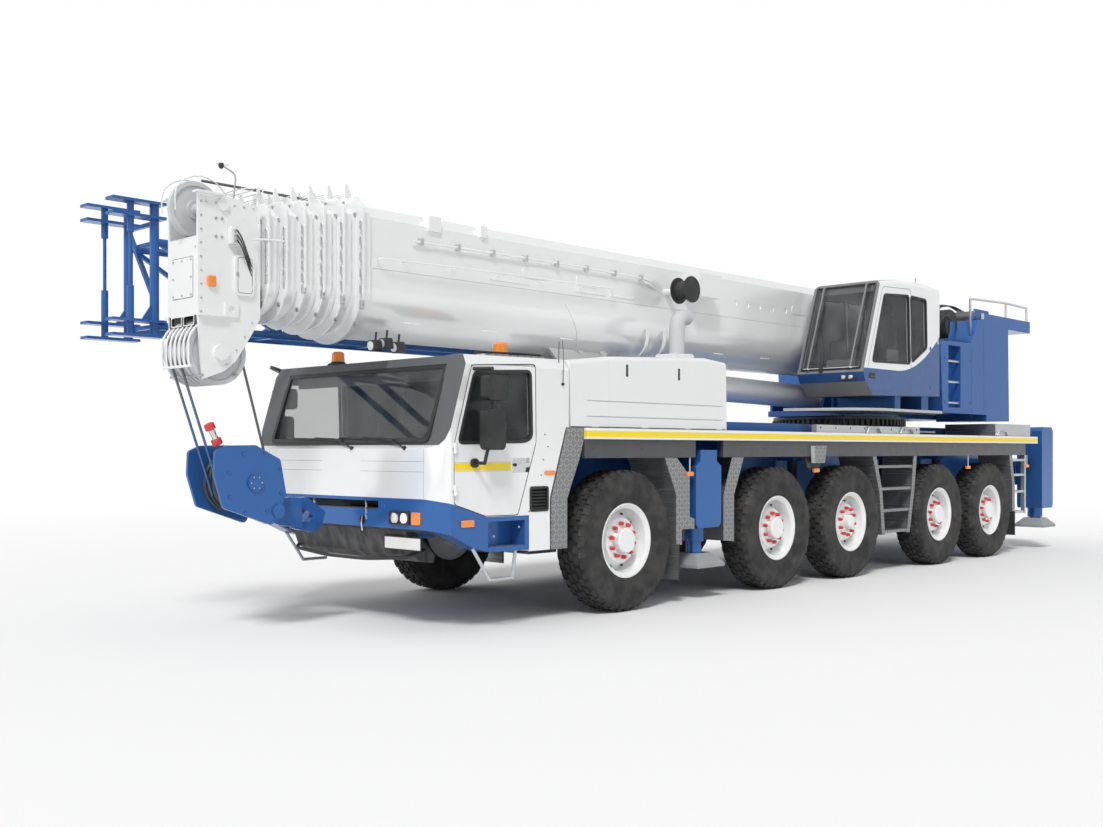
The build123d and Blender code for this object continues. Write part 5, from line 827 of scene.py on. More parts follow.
# ---------------------------------------------------------------------------
# Wheels
# ---------------------------------------------------------------------------
@dataclass
class Wheel:
    """A single wide tyre with staggered tread blocks on a white dished rim, with its hub and red nut caps."""

    number: int
    side: Side
    driven: bool
    lug_count: int = 40
    lug_height: float = 0.018
    nut_count: int = 10
    nut_circle: float = 0.168
    half_width: float = 0.1925

    @property
    def letter(self) -> str:
        """The side's letter in node names."""
        return "l" if self.side is Side.LEFT else "r"

    @property
    def node(self) -> str:
        """The wheel's CAD node."""
        return f"wheel_{self.number}{self.letter}"

    def turn(self, profile: Array, angles: Array) -> Array:
        """Carries a profile of (radius, distance outwards) round the wheel.

        Point (i, j) is the hub plus radius(j) (sin a(i), cos a(i)) in XZ, and the distance outwards along Y.
        """
        hub_x, hub_y, hub_z = self.hub
        rings = np.empty((len(angles), len(profile), 3))
        rings[..., 0] = hub_x + profile[None, :, 0] * np.sin(angles)[:, None]
        rings[..., 1] = hub_y + self.side.value * profile[None, :, 1]
        rings[..., 2] = hub_z + profile[None, :, 0] * np.cos(angles)[:, None]
        return rings

    @property
    def hub(self) -> Array:
        """The middle of the tyre, ahead of the first axle."""
        middle = centre(self.node)
        return np.array([middle.x - FIRST_AXLE, self.hub_y, middle.z])

    @property
    def hub_y(self) -> float:
        """Y of the tyre's middle, which is half a tyre inside its inner or outer face."""
        low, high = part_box(self.node)
        return low.y + self.half_width if self.side is Side.LEFT else high.y - self.half_width

    def tyre(self, piece: Piece) -> None:
        """The carcass: a closed profile turned round the axle, a little below the lugs' tips."""
        radius = (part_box(self.node)[1].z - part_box(self.node)[0].z) / 2
        crown = radius - self.lug_height
        shoulder = crown - 0.02
        outer = np.array([
            (0.331, 0.120), (0.352, 0.142), (0.366, 0.146), (0.378, 0.152), (0.384, 0.152), (0.45, 0.178),
            (0.520, 0.1875), (0.575, 0.1885), (0.60, 0.184), (0.632, 0.182), (shoulder, 0.168),
            (crown, 0.128), (crown + 0.002, 0.0)])
        inner = outer[::-1][1:] * np.array([1, -1])
        profile = np.vstack([outer, inner, [(0.331, 0.0)]])
        piece.skin(self.turn(profile, np.linspace(0, TAU, 97)[:-1]), TYRE, loop=True)

    def lugs(self, piece: Piece) -> None:
        """Tread blocks in four staggered rows, the outer two running down over the shoulders.

        Block k of a row stands at angle (k + stagger) TAU / lug_count. Each block is a grid of two rings, its
        foot wider than its top, bent round the tyre by putting its corners at their own radius and angle.
        """
        radius = (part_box(self.node)[1].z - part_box(self.node)[0].z) / 2
        foot = radius - self.lug_height - 0.006
        step = TAU / self.lug_count
        # across the tread: inner and outer edge of the row, their radius drop, share of the pitch, skew, stagger
        rows = (
            (0.006, 0.058, 0.0, 0.0, 0.74, 0.10, 0.0), (0.070, 0.124, 0.0, 0.002, 0.70, 0.10, 0.5),
            (0.134, 0.183, 0.003, 0.046, 0.62, 0.0, 0.0),
        )
        corners = np.array([(-1, 0), (1, 0), (1, 1), (-1, 1)], float)
        for mirror in (1, -1):
            for inner, outer, drop_in, drop_out, share, skew, stagger in rows:
                start = (np.arange(self.lug_count) + stagger + (0.25 if mirror < 0 else 0.0)) * step
                width = np.where(corners[:, 1] > 0, outer, inner)
                drop = np.where(corners[:, 1] > 0, drop_out, drop_in)
                grid = np.empty((self.lug_count, 2, 4, 3))
                for level, (rise, shrink) in enumerate(((0.0, 1.0), (1.0, 0.86))):
                    angle = start[:, None] + (
                        corners[:, 0] * shrink * share / 2 + mirror * skew * corners[:, 1]) * step
                    reach = foot - drop + rise * (radius - foot)
                    middle = (inner + outer) / 2
                    across = middle + (width - middle) * (1.0 if rise == 0 else 0.92)
                    grid[:, level, :, 0] = self.hub[0] + reach * np.sin(angle)
                    grid[:, level, :, 1] = self.hub_y + self.side.value * mirror * across
                    grid[:, level, :, 2] = self.hub[2] + reach * np.cos(angle)
                for block in grid:
                    piece.skin(block, TYRE)

    def rim(self, piece: Piece) -> None:
        """The dished rim with its lip, the disc and the hub; the disc's hand holes are not cut here but drawn as
        black discs of painted shade.
        """
        hub = 0.128 if self.driven else 0.084
        face = np.array([
            (0.331, 0.121), (0.352, 0.143), (0.366, 0.148), (0.368, 0.156), (0.358, 0.158), (0.344, 0.152),
            (0.330, 0.135), (0.318, 0.125), (0.312, 0.09), (0.307, 0.03), (0.300, -0.02), (0.292, -0.028),
            (0.262, 0.004), (0.236, 0.052), (0.222, 0.074), (0.208, 0.079), (hub + 0.01, 0.079), (hub, 0.084),
            (hub - 0.002, 0.150), (hub - 0.016, 0.163), (hub * 0.55, 0.165), (0.03, 0.165), (0.0005, 0.165)])
        back = np.array([
            (0.0005, -0.10), (0.20, -0.10), (0.30, -0.112), (0.331, -0.121), (0.356, -0.154), (0.352, -0.143),
            (0.331, -0.119)])
        profile = np.vstack([face, back])
        piece.skin(self.turn(profile, np.linspace(0, TAU, 73)[:-1]), WHITE, loop=True)

    def hole_shade_discs(self, piece: Piece) -> None:
        """Black discs round the dish: painted shade where the hand holes would show through."""
        count = 10
        angles = (np.arange(count) + 0.5) * TAU / count
        axle = self.hub
        out = np.array([0.0, self.side.value, 0.0])
        for angle in angles:
            spoke = np.array([math.sin(angle), 0.0, math.cos(angle)])
            normal = spoke * 0.7 * -1 + out * 0.9
            spot = axle + spoke * 0.262 + out * 0.012
            # a black disc of painted shade that stands in for a hand hole
            piece.lathe((
                (0.0, 0.001), (0.020, 0.001), (0.021, -0.004), (0.0, -0.006),
            ), tuple(spot), tuple(normal), BLACK, 12)

    def nuts(self, piece: Piece) -> None:
        """Ten nuts under red caps on the disc, each a turned profile of six flats and a domed top."""
        axle = self.hub
        for spoke in ring_of(self.nut_count, self.nut_circle, 0.2):
            spot = axle + np.array([spoke[0], self.side.value * 0.079, spoke[1]])
            piece.lathe((
                (0.0, 0.0), (0.024, 0.0), (0.024, 0.005), (0.018, 0.007),
            ), tuple(spot), self.side.out, STEEL, 12)
            piece.lathe((
                (0.020, 0.004), (0.0205, 0.034), (0.017, 0.046), (0.009, 0.052), (0.0005, 0.053),
            ), tuple(spot), self.side.out, RED, 12,)

    def build(self) -> None:
        """Tyre and rim as two pieces that turn with the wheel."""
        tyre = Piece(f"tyre_{self.number}{self.letter}", self.node, "tyre", smooth_below=32)
        self.tyre(tyre)
        self.lugs(tyre)
        tyre.build(replaces=[self.node])
        rim = Piece(f"rim_{self.number}{self.letter}", self.node, "white_paint", smooth_below=32)
        self.rim(rim)
        # black discs of painted shade for the disc's hand holes
        self.hole_shade_discs(rim)
        self.nuts(rim)
        rim.build()


# ---------------------------------------------------------------------------
# Carrier
# ---------------------------------------------------------------------------
def band_round(
    outline: Sequence[Pair], outer: float, inner: float, radius: float = 0.03, steps: int = 5,
) -> tuple[Array, Array]:
    """Two closed outlines with matching points, one grown by outer and one shrunk by inner."""
    middle = rounded(outline, radius, steps)
    return inset(middle, -outer), inset(middle, inner)


def gasket(
    piece: Piece, outline: Sequence[Pair], across: Across, stations: Pair, widths: Pair, finish: Finish,
    radius: float = 0.03) -> None:
    """A flat frame that follows a closed outline: four loops of points joined into a ring with a square section.

    Loops run outer edge at the far station, inner edge there, inner edge at the near station, outer edge there.
    """
    outer, inner = band_round(outline, widths[0], widths[1], radius)
    along, first, second = across.value
    loops = np.empty((4, len(outer), 3))
    for loop, (shape, station) in enumerate((
        (outer, stations[1]), (inner, stations[1]), (inner, stations[0]), (outer, stations[0]))):
        loops[loop, :, along] = station
        loops[loop, :, first] = shape[:, 0]
        loops[loop, :, second] = shape[:, 1]
    piece.skin(loops, finish, loop=True)


def cushion(
    piece: Piece, middle: Point, half: Point, crown: float, channels: int, finish: Finish, lean: float = 0.0,
) -> None:
    """A stuffed pad: a closed grid of rings from its underside to its crowned top.

    Ring k is a rounded square |x|^4 + |y|^4 = 1 scaled by cos(t)^0.35, at height half z times sin(t), with t from
    -90 to 90 degrees. The top is raised by crown (1 - x^2)(1 - y^2) and lowered along its sewn channels, and the
    whole pad leans back about Y by an angle.
    """
    t = np.linspace(-0.5, 0.5, 17) * math.pi
    angle = np.linspace(0, TAU, 49)[:-1]
    square = (np.abs(np.cos(angle)) ** 4 + np.abs(np.sin(angle)) ** 4) ** -0.25
    share = np.maximum(np.cos(t), 1e-4)[:, None] ** 0.35
    across = share * square * np.cos(angle)
    along = share * square * np.sin(angle)
    top = (np.sin(t) > 0)[:, None] * np.sin(t)[:, None]
    swell = crown * (1 - np.clip(across, -1, 1) ** 2) * (1 - np.clip(along, -1, 1) ** 2) * top
    sewn = 0.006 * top * np.exp(-((np.abs(((across + 1) * channels / 2) % 1 - 0.5) - 0.5) / 0.05) ** 2)
    height = half[2] * np.sin(t)[:, None] + swell - sewn
    x, y, z = across * half[0], along * half[1], height
    turn_x, turn_z = x * math.cos(lean) + z * math.sin(lean), z * math.cos(lean) - x * math.sin(lean)
    piece.skin(np.stack([turn_x + middle[0], y + middle[1], turn_z + middle[2]], axis=-1), finish, ends=False)


def seat(name: str, body: str, slot: str, x: float, y: float, z: float) -> None:
    """A sprung driver's seat: cushion, tall back and head rest, each a padded piece.

    Args:
        name: start of the pieces' names.
        body: the body that the seat rides on.
        slot: kept on each pad's piece, not used.
        x, y, z: middle of the cushion's top, ahead of the first axle.
    """
    for part, middle, half, crown, lean in (
        ("cushion", (x, y, z - 0.07), (0.25, 0.24, 0.06), 0.02, 0.05),
        ("back", (x - 0.20, y, z + 0.30), (0.30, 0.23, 0.05), 0.015, math.radians(-80)),
        ("head", (x - 0.27, y, z + 0.66), (0.09, 0.13, 0.04), 0.01, math.radians(-80)),
    ):
        pad = Piece(f"{name}_{part}", body, slot, smooth_below=60)
        cushion(pad, middle, half, crown, 4, SEAT_CLOTH, lean)
        pad.build()


@dataclass
class CarrierCab:
    """The driving cab's windscreen seal, panel joints, wipers, door trim, seats and steering wheel."""

    front: float = 2.360
    side: float = 1.450
    screen_foot: Pair = (2.325, 1.665)
    screen_head: Pair = (2.100, 2.335)
    screen_half: float = 1.200
    window: tuple[Pair, ...] = (
        (2.190, 1.650), (2.010, 2.262), (1.329, 2.297), (1.311, 1.704), (1.396, 1.667))
    door: tuple[Pair, ...] = (
        (2.240, 1.632), (2.040, 2.318), (1.267, 2.361), (1.259, 1.656), (1.490, 1.012), (1.878, 1.016),
        (2.240, 1.128))
    wiper_feet: tuple[float, ...] = (0.93, 0.17)
    hub: Point = (1.905, 0.720, 1.690)
    wheel_radius: float = 0.225
    column_foot: Point = (2.03, 0.72, 1.50)
    mirror_faces: tuple[Point, ...] = ((1.932, 1.764, 0.160), (1.908, 2.122, 0.094))  # X, Z, half height
    handle_height: float = 1.455
    seat_place: Point = (1.375, 0.72, 1.470)
    nose_joints: tuple[tuple[Pair, Pair], ...] = (  # Y on the left side, Z
        ((1.187, 1.190), (1.17, 1.60)), ((0.30, 1.187), (1.488, 1.4905)), ((0.30, 1.187), (1.398, 1.4005)),
    )
    side_screws: tuple[Pair, ...] = (
        (1.10, 1.62), (1.16, 1.50), (1.19, 1.36), (1.33, 1.10), (1.345, 1.035), (1.14, 1.73),
    )
    grille: tuple[Pair, ...] = ((1.116, 1.050), (1.316, 1.050), (1.316, 1.237), (1.116, 1.237))

    def screen_x(self, z: Array | float) -> Array | float:
        """X of the sloping windscreen's outer face at a height."""
        (x_low, z_low), (x_high, z_high) = self.screen_foot, self.screen_head
        return x_low + (np.asarray(z) - z_low) * (x_high - x_low) / (z_high - z_low)

    def windscreen(self) -> None:
        """A black painted border and seal round the windscreen, laid on its slope."""
        piece = Piece("windscreen_seal", "chassis", "black_plastic")
        z_low, z_high = self.screen_foot[1], self.screen_head[1]
        flat = [
            (-self.screen_half, z_low), (self.screen_half, z_low), (self.screen_half, z_high),
            (-self.screen_half, z_high)]
        outer, inner = band_round(flat, 0.012, 0.030, 0.06)
        loops = np.empty((4, len(outer), 3))
        for loop, (shape, out) in enumerate((
            (outer, 0.006), (inner, 0.006), (inner, -0.014), (outer, -0.010))):
            loops[loop, :, 0] = self.screen_x(shape[:, 1]) + out
            loops[loop, :, 1:] = shape
        piece.skin(loops, BLACK, loop=True)
        self.wipers(piece)
        piece.build()

    def wipers(self, piece: Piece) -> None:
        """Two long parked wipers: a spindle, a bent arm and a blade that lies along the foot of the glass."""
        for foot in self.wiper_feet:
            low = (float(self.screen_x(1.60)) + 0.012, foot, 1.605)
            elbow = (float(self.screen_x(1.69)) + 0.030, foot - 0.26, 1.690)
            tip = (float(self.screen_x(1.70)) + 0.020, foot - 0.62, 1.702)
            piece.lathe((
                (0.0005, 0.018), (0.016, 0.016), (0.019, 0.0), (0.012, -0.02),
            ), low, (1, 0, 0.3), BLACK, 14)
            piece.pipe([low, elbow, tip], 0.08, 0.0075, BLACK, 8)
            blade = [
                (float(self.screen_x(z)) + 0.012, foot + reach, z)
                for reach, z in ((-0.18, 1.676), (-0.62, 1.690), (-0.98, 1.700))
            ]
            piece.pipe(blade, 0.2, 0.010, BLACK, 6)

    def panel_joints(self) -> None:
        """Narrow dark shadow gaps between the panels of the nose and along its belt."""
        piece = Piece("cab_joints", "chassis", "black_plastic")
        for side in Side:
            for y, z in self.nose_joints:
                piece.box((self.front - 0.004, self.front + 0.0006), side.span(*y), z, TRIM, 0.0005)
            gasket(
                piece, self.door, Across.Y, side.span(self.side - 0.012, self.side + 0.0004), (0.008, -0.003),
                BLACK, 0.04)
            for x, z in self.side_screws:
                piece.lathe(
                    ((0.0005, 0.004), (0.006, 0.003), (0.008, -0.001)), side.at(x, self.side, z), side.out,
                    BLACK, 10)
            for x, z in ((1.103, 1.037), (1.329, 1.037), (1.329, 1.250), (1.103, 1.250)):
                piece.lathe(
                    ((0.0005, 0.004), (0.006, 0.003), (0.007, -0.001)), side.at(x, self.side, z), side.out,
                    STEEL, 8)
            gasket(
                piece, self.grille, Across.Y, side.span(self.side - 0.004, self.side + 0.006), (0.022, 0.0),
                BLACK, 0.01)
        piece.build()

    def door_trim(self, side: Side) -> None:
        """Door pane with its black seal, the handle in its recess, and the joints of the mirrors' cases."""
        letter = "left" if side is Side.LEFT else "right"
        seal = Piece(f"door_{letter}_seal", f"door_{letter}", "black_plastic")
        gasket(
            seal, self.window, Across.Y, side.span(self.side - 0.030, self.side + 0.004), (0.016, 0.012),
            BLACK, 0.05)
        for x, z, half_z in self.mirror_faces:
            for height in (z - half_z * 0.72, z + half_z * 0.72):
                seal.box(
                    (x - 0.052, x - 0.049), side.span(1.56, 1.64), (height - 0.002, height + 0.002), TRIM,
                    0.0005)
        z = self.handle_height
        seal.pipe([side.at(1.50, 1.443, z), side.at(1.52, 1.449, z + 0.004)], 0.01, 0.010, BLACK, 8)
        seal.rod(side.at(1.392, 1.436, z), side.at(1.392, 1.447, z), 0.013, BLACK, 14)
        seal.build()
        pane = Piece(f"door_{letter}_pane", f"door_{letter}", "glass")
        shape = inset(rounded(self.window, 0.05), 0.004)
        pane.prism(shape, Across.Y, *side.span(self.side - 0.024, self.side - 0.018), GLASS, 0.001)
        pane.build()

    def fittings(self) -> None:
        """Steering wheel and column, two dash hoods, sun blind, aerials and the roof's rails."""
        piece = Piece("driving_place", "chassis", "black_plastic")
        hub, out = np.array(self.hub), np.array([-0.55, 0.0, 0.83])
        along, across = np.array([0.83, 0.0, 0.55]), np.array([0.0, 1.0, 0.0])
        angles = np.linspace(0, TAU, 41)[:-1]
        spokes = np.cos(angles)[:, None] * along + np.sin(angles)[:, None] * across
        tube = ring_of(10, 0.016)
        rings = hub + spokes[:, None] * (self.wheel_radius + tube[None, :, :1]) + tube[None, :, 1:] * out
        piece.skin(rings, BLACK, loop=True)
        for angle in (0.5, 2.64, 4.71):
            spoke = math.cos(angle) * along + math.sin(angle) * across
            piece.rod(tuple(hub - out * 0.02), tuple(hub + spoke * self.wheel_radius), 0.012, BLACK, 8)
        piece.lathe((
            (0.0005, 0.02), (0.05, 0.012), (0.06, -0.01), (0.035, -0.05),
        ), tuple(hub), tuple(out), BLACK, 20)
        piece.rod(tuple(hub - out * 0.03), self.column_foot, 0.035, BLACK, 14)
        piece.prism(rounded([
            (2.02, 1.56), (2.20, 1.56), (2.14, 1.655), (2.03, 1.66),
        ], 0.02), Across.Y, 0.50, 0.94, TRIM, 0.012)
        piece.prism(
            rounded([(2.06, 1.565), (2.24, 1.565), (2.16, 1.62)], 0.015), Across.Y, -0.85, -0.35, LINING,
            0.01)
        piece.box((2.03, 2.045), (-1.15, 1.15), (2.20, 2.325), TRIM, 0.004)
        piece.tube([(0.90, 1.395, 2.05), (0.90, 1.395, 2.437), (0.90, 1.40, 2.60)], 0.004, BLACK, 6)
        piece.lathe(
            ((0.0005, 0.02), (0.014, 0.01), (0.017, -0.01)), (0.905, 1.452, 2.20), (0, 1, 0), BLACK, 12)
        piece.pipe([(0.905, 1.456, 2.20), (0.905, 1.463, 2.42), (0.91, 1.455, 2.60)], 0.1, 0.003, BLACK, 6)
        for side in Side:
            feet = [
                side.at(1.70, 1.12, 2.430), side.at(1.70, 1.12, 2.475), side.at(0.86, 1.12, 2.490),
                side.at(0.86, 1.12, 2.440)]
            piece.pipe(feet, 0.03, 0.011, BLACK, 8)
        piece.build()

    def build(self) -> None:
        """Everything on and in the driving cab."""
        self.windscreen()
        self.panel_joints()
        for side in Side:
            self.door_trim(side)
            x, y, z = self.seat_place
            seat(
                f"seat_{'driver' if side is Side.LEFT else 'mate'}", "chassis", "cab_trim", x, side.value * y,
                z)
        self.fittings()


@dataclass
class Nose:
    """What is fixed to the bumper: headlamps, blank plate, step grate, rail and chains."""

    face: float = 2.360
    lamp: tuple[float, float, float, float] = (0.870, 0.995, 0.270, 0.110)

    def headlamps(self) -> None:
        """Black bezel with two round reflectors and lenses on each side, the outer one lit."""
        y_middle, z_middle, width, height = self.lamp
        lens_x = self.face + 0.0125
        for side in Side:
            piece = Piece(f"headlamp_{side.name.lower()}", "chassis", "glass", smooth_below=50)
            flat = [
                (side.value * (y_middle + a * width / 2), z_middle + b * height / 2)
                for a, b in ((-1, -1), (1, -1), (1, 1), (-1, 1))
            ]
            gasket(
                piece, flat if side is Side.LEFT else flat[::-1], Across.X,
                (self.face - 0.01, lens_x + 0.006), (0.006, 0.010), BLACK, 0.015)
            for offset, finish in ((-0.062, CLEAR_LENS), (0.066, LIT_LENS)):
                centre_y = side.value * (y_middle + offset)
                piece.lathe(
                    ((0.052, -0.004), (0.052, 0.004), (0.046, 0.006)), (lens_x, centre_y, z_middle),
                    (1, 0, 0), CHROME, 28)
                piece.lathe(
                    ((0.046, 0.003), (0.034, 0.010), (0.016, 0.014), (0.0005, 0.015)),
                    (lens_x, centre_y, z_middle), (1, 0, 0), finish, 28)
            piece.build()

    def trim(self) -> None:
        """Blank plate and brackets, grate of the middle step, rail under the nose, step screws and chains."""
        piece = Piece("nose_trim", "chassis", "aluminium")
        piece.box((2.303, 2.309), (0.585, 1.087), (0.712, 0.822), PLATE_WHITE, 0.001)
        gasket(
            piece, [(0.585, 0.712), (1.087, 0.712), (1.087, 0.822), (0.585, 0.822)], Across.X, (2.302, 2.311),
            (0.006, 0.004), BLACK, 0.008)
        piece.box((2.20, 2.302), (0.70, 0.74), (0.76, 0.80), STEEL_DARK)
        piece.box((2.20, 2.302), (0.93, 0.97), (0.76, 0.80), STEEL_DARK)
        for row in range(7):
            piece.box((2.17 + row * 0.026, 2.178 + row * 0.026), (-0.55, 0.55), (1.058, 1.066), GRATE, 0.001)
        for side in Side:
            rail = [side.at(2.10, 0.90, 0.70), side.at(2.29, 0.86, 0.64), side.at(2.31, 0.30, 0.60)]
            piece.pipe(rail + [(2.31, 0.0, 0.60)], 0.12, 0.016, BLACK, 10)
            for x in (1.47, 1.78):
                piece.lathe(
                    ((0.0005, 0.003), (0.009, 0.002), (0.011, -0.002)),
                    side.at(x, 1.45, 0.83 if x > 1.6 else 0.90), side.out, STEEL, 10)
            hanger = [side.at(2.362, 0.33, 1.00), side.at(2.375, 0.33, 0.93), side.at(2.362, 0.33, 0.86)]
            piece.pipe(hanger, 0.03, 0.007, CHROME, 8)
            self.chain(piece, side.at(2.372, 0.40, 1.13), side.at(2.372, 0.40, 0.97), 6)
        for y in (-0.56, 0.56):
            piece.lathe(
                ((0.0005, 0.006), (0.03, 0.004), (0.034, -0.002)), (self.face, y + 0.07 * np.sign(y), 1.08),
                (1, 0, 0), BLUE, 20)
        piece.build()

    def chain(self, piece: Piece, start: Point, end: Point, links: int) -> None:
        """A short chain: each link is an oval ring (a cos t, b sin t), turned a quarter from the last."""
        run = (np.array(end) - np.array(start)) / links
        t = np.linspace(0, TAU, 17)[:-1]
        for number in range(links):
            middle = np.array(start) + run * (number + 0.5)
            flat = np.array([0.0, 1.0, 0.0]) if number % 2 else np.array([1.0, 0.0, 0.0])
            direction = run / np.linalg.norm(run)
            along = 0.68 * np.linalg.norm(run) * np.cos(t)[:, None] * direction
            line = middle + along + 0.009 * np.sin(t)[:, None] * flat
            normal = np.cross(direction, flat)
            circle = ring_of(6, 0.0035)
            outward = line - middle
            outward /= np.linalg.norm(outward, axis=1, keepdims=True)
            piece.skin(
                line[:, None] + circle[None, :, :1] * outward[:, None] + circle[None, :, 1:] * normal, CHROME,
                loop=True)

    def build(self) -> None:
        """Everything on the nose."""
        self.headlamps()
        self.trim()


@dataclass
class DeckTrim:
    """Latches, seals, lamps, bolts and levers along the carrier's sides, and the engine cover's creases, drawn as
    grey strips of painted shade.
    """

    side: float = 1.450
    cover_front: float = 0.810
    cover_rear: float = -1.690
    latches: tuple[float, ...] = (-0.02, -0.85)
    creases: tuple[tuple[Pair, float], ...] = (((0.55, -1.60), 2.06), ((0.55, -1.60), 1.91))
    marker_lamps: tuple[float, ...] = (-1.02, -7.62, -9.72)
    rail_rear: float = -6.19

    def hood(self) -> None:
        """Two slot latches, pressed creases drawn as grey strips of painted shade, and the black seal along the
        foot of each cover side.
        """
        piece = Piece("hood_trim", "chassis", "black_plastic")
        for side in Side:
            out = side.span(self.side - 0.004, self.side + 0.003)
            for x in self.latches:
                piece.prism(panel((x - 0.016, x + 0.016), (2.31, 2.43), 0.008), Across.Y, *out, BLACK, 0.001)
                piece.box(
                    (x - 0.006, x + 0.006), side.span(self.side + 0.001, self.side + 0.006), (2.33, 2.41),
                    TRIM, 0.002)
            for (front, rear), z in self.creases:
                # the grey of this strip is painted shade along the crease
                piece.prism([
                    (rear, z - 0.005), (front, z - 0.005), (front + 0.02, z), (front, z + 0.005),
                    (rear, z + 0.005),
                ], Across.Y, *side.span(self.side - 0.004, self.side + 0.0015), PAINTED_CREASE_SHADE, 0.001)
            piece.box(
                (self.cover_rear + 0.02, self.cover_front - 0.02),
                side.span(self.side - 0.02, self.side + 0.002), (1.801, 1.812), BLACK, 0.001)
            for x in (0.45, -0.30, -1.0, -1.55):
                piece.box(
                    (x - 0.05, x + 0.05), side.span(self.side - 0.01, self.side + 0.006), (1.806, 1.822),
                    WHITE, 0.002)
        piece.build()

    def sides(self) -> None:
        """Marker lamps on rods, tapered brackets, and bolts of the aluminium rail and the skirt."""
        piece = Piece("deck_fittings", "chassis", "aluminium")
        for side in Side:
            y = side.value
            for x in self.marker_lamps:
                piece.rod((x, y * 1.46, 1.51), (x, y * 1.46, 1.36), 0.007, PALE_GREY, 8)
                piece.prism(panel((x - 0.055, x + 0.055), (1.315, 1.362), 0.012), Across.Y,
                            *side.span(1.44, 1.475), AMBER, 0.006)
            piece.prism(
                panel((-3.56, -3.44), (1.32, 1.37), 0.012), Across.Y, *side.span(1.44, 1.475), AMBER, 0.006)
            bracket = [
                (-3.70, 1.51), (-3.30, 1.51), (-3.36, 1.38), (-3.42, 1.36), (-3.58, 1.36), (-3.64, 1.38)]
            piece.prism(rounded(bracket, 0.01), Across.Y, *side.span(1.415, 1.425), STEEL_DARK, 0.001)
            for x in np.linspace(-6.1, -3.65, 8):
                piece.lathe(
                    ((0.0005, 0.005), (0.011, 0.004), (0.013, -0.001)), (float(x), y * 1.430, 1.86),
                    (0, y, 0), BLACK, 10)
            for x in np.linspace(-9.6, 0.5, 15):
                piece.lathe(
                    ((0.0005, 0.003), (0.008, 0.002), (0.010, -0.001)), (float(x), y * 1.47, 1.60), (0, y, 0),
                    STEEL_DARK, 8)
            rear = self.rail_rear
            piece.rod((rear - 0.5, y * 1.40, 1.835), (rear, y * 1.40, 1.835), 0.014, STEEL, 10)
        piece.build()

    def levers(self) -> None:
        """Red-tipped locking levers at the rear jacks."""
        for side in Side:
            corner = "l" if side is Side.LEFT else "r"
            piece = Piece(f"jack_lever_{corner}", BODY_OF[f"outrigger_r{corner}"], "steel")
            y = side.value
            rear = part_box(f"outrigger_r{corner}")[0].x - FIRST_AXLE
            line = [
                (rear + 0.03, y * 1.25, 0.98), (rear - 0.05, y * 1.27, 0.99), (rear - 0.12, y * 1.30, 1.05)]
            piece.pipe(line, 0.04, 0.011, STEEL_DARK, 8)
            piece.tube([line[-1], (rear - 0.185, y * 1.32, 1.06)], 0.014, RED, 10)
            piece.build()

    def build(self) -> None:
        """Everything along the carrier's sides."""
        self.hood()
        self.sides()
        self.levers()


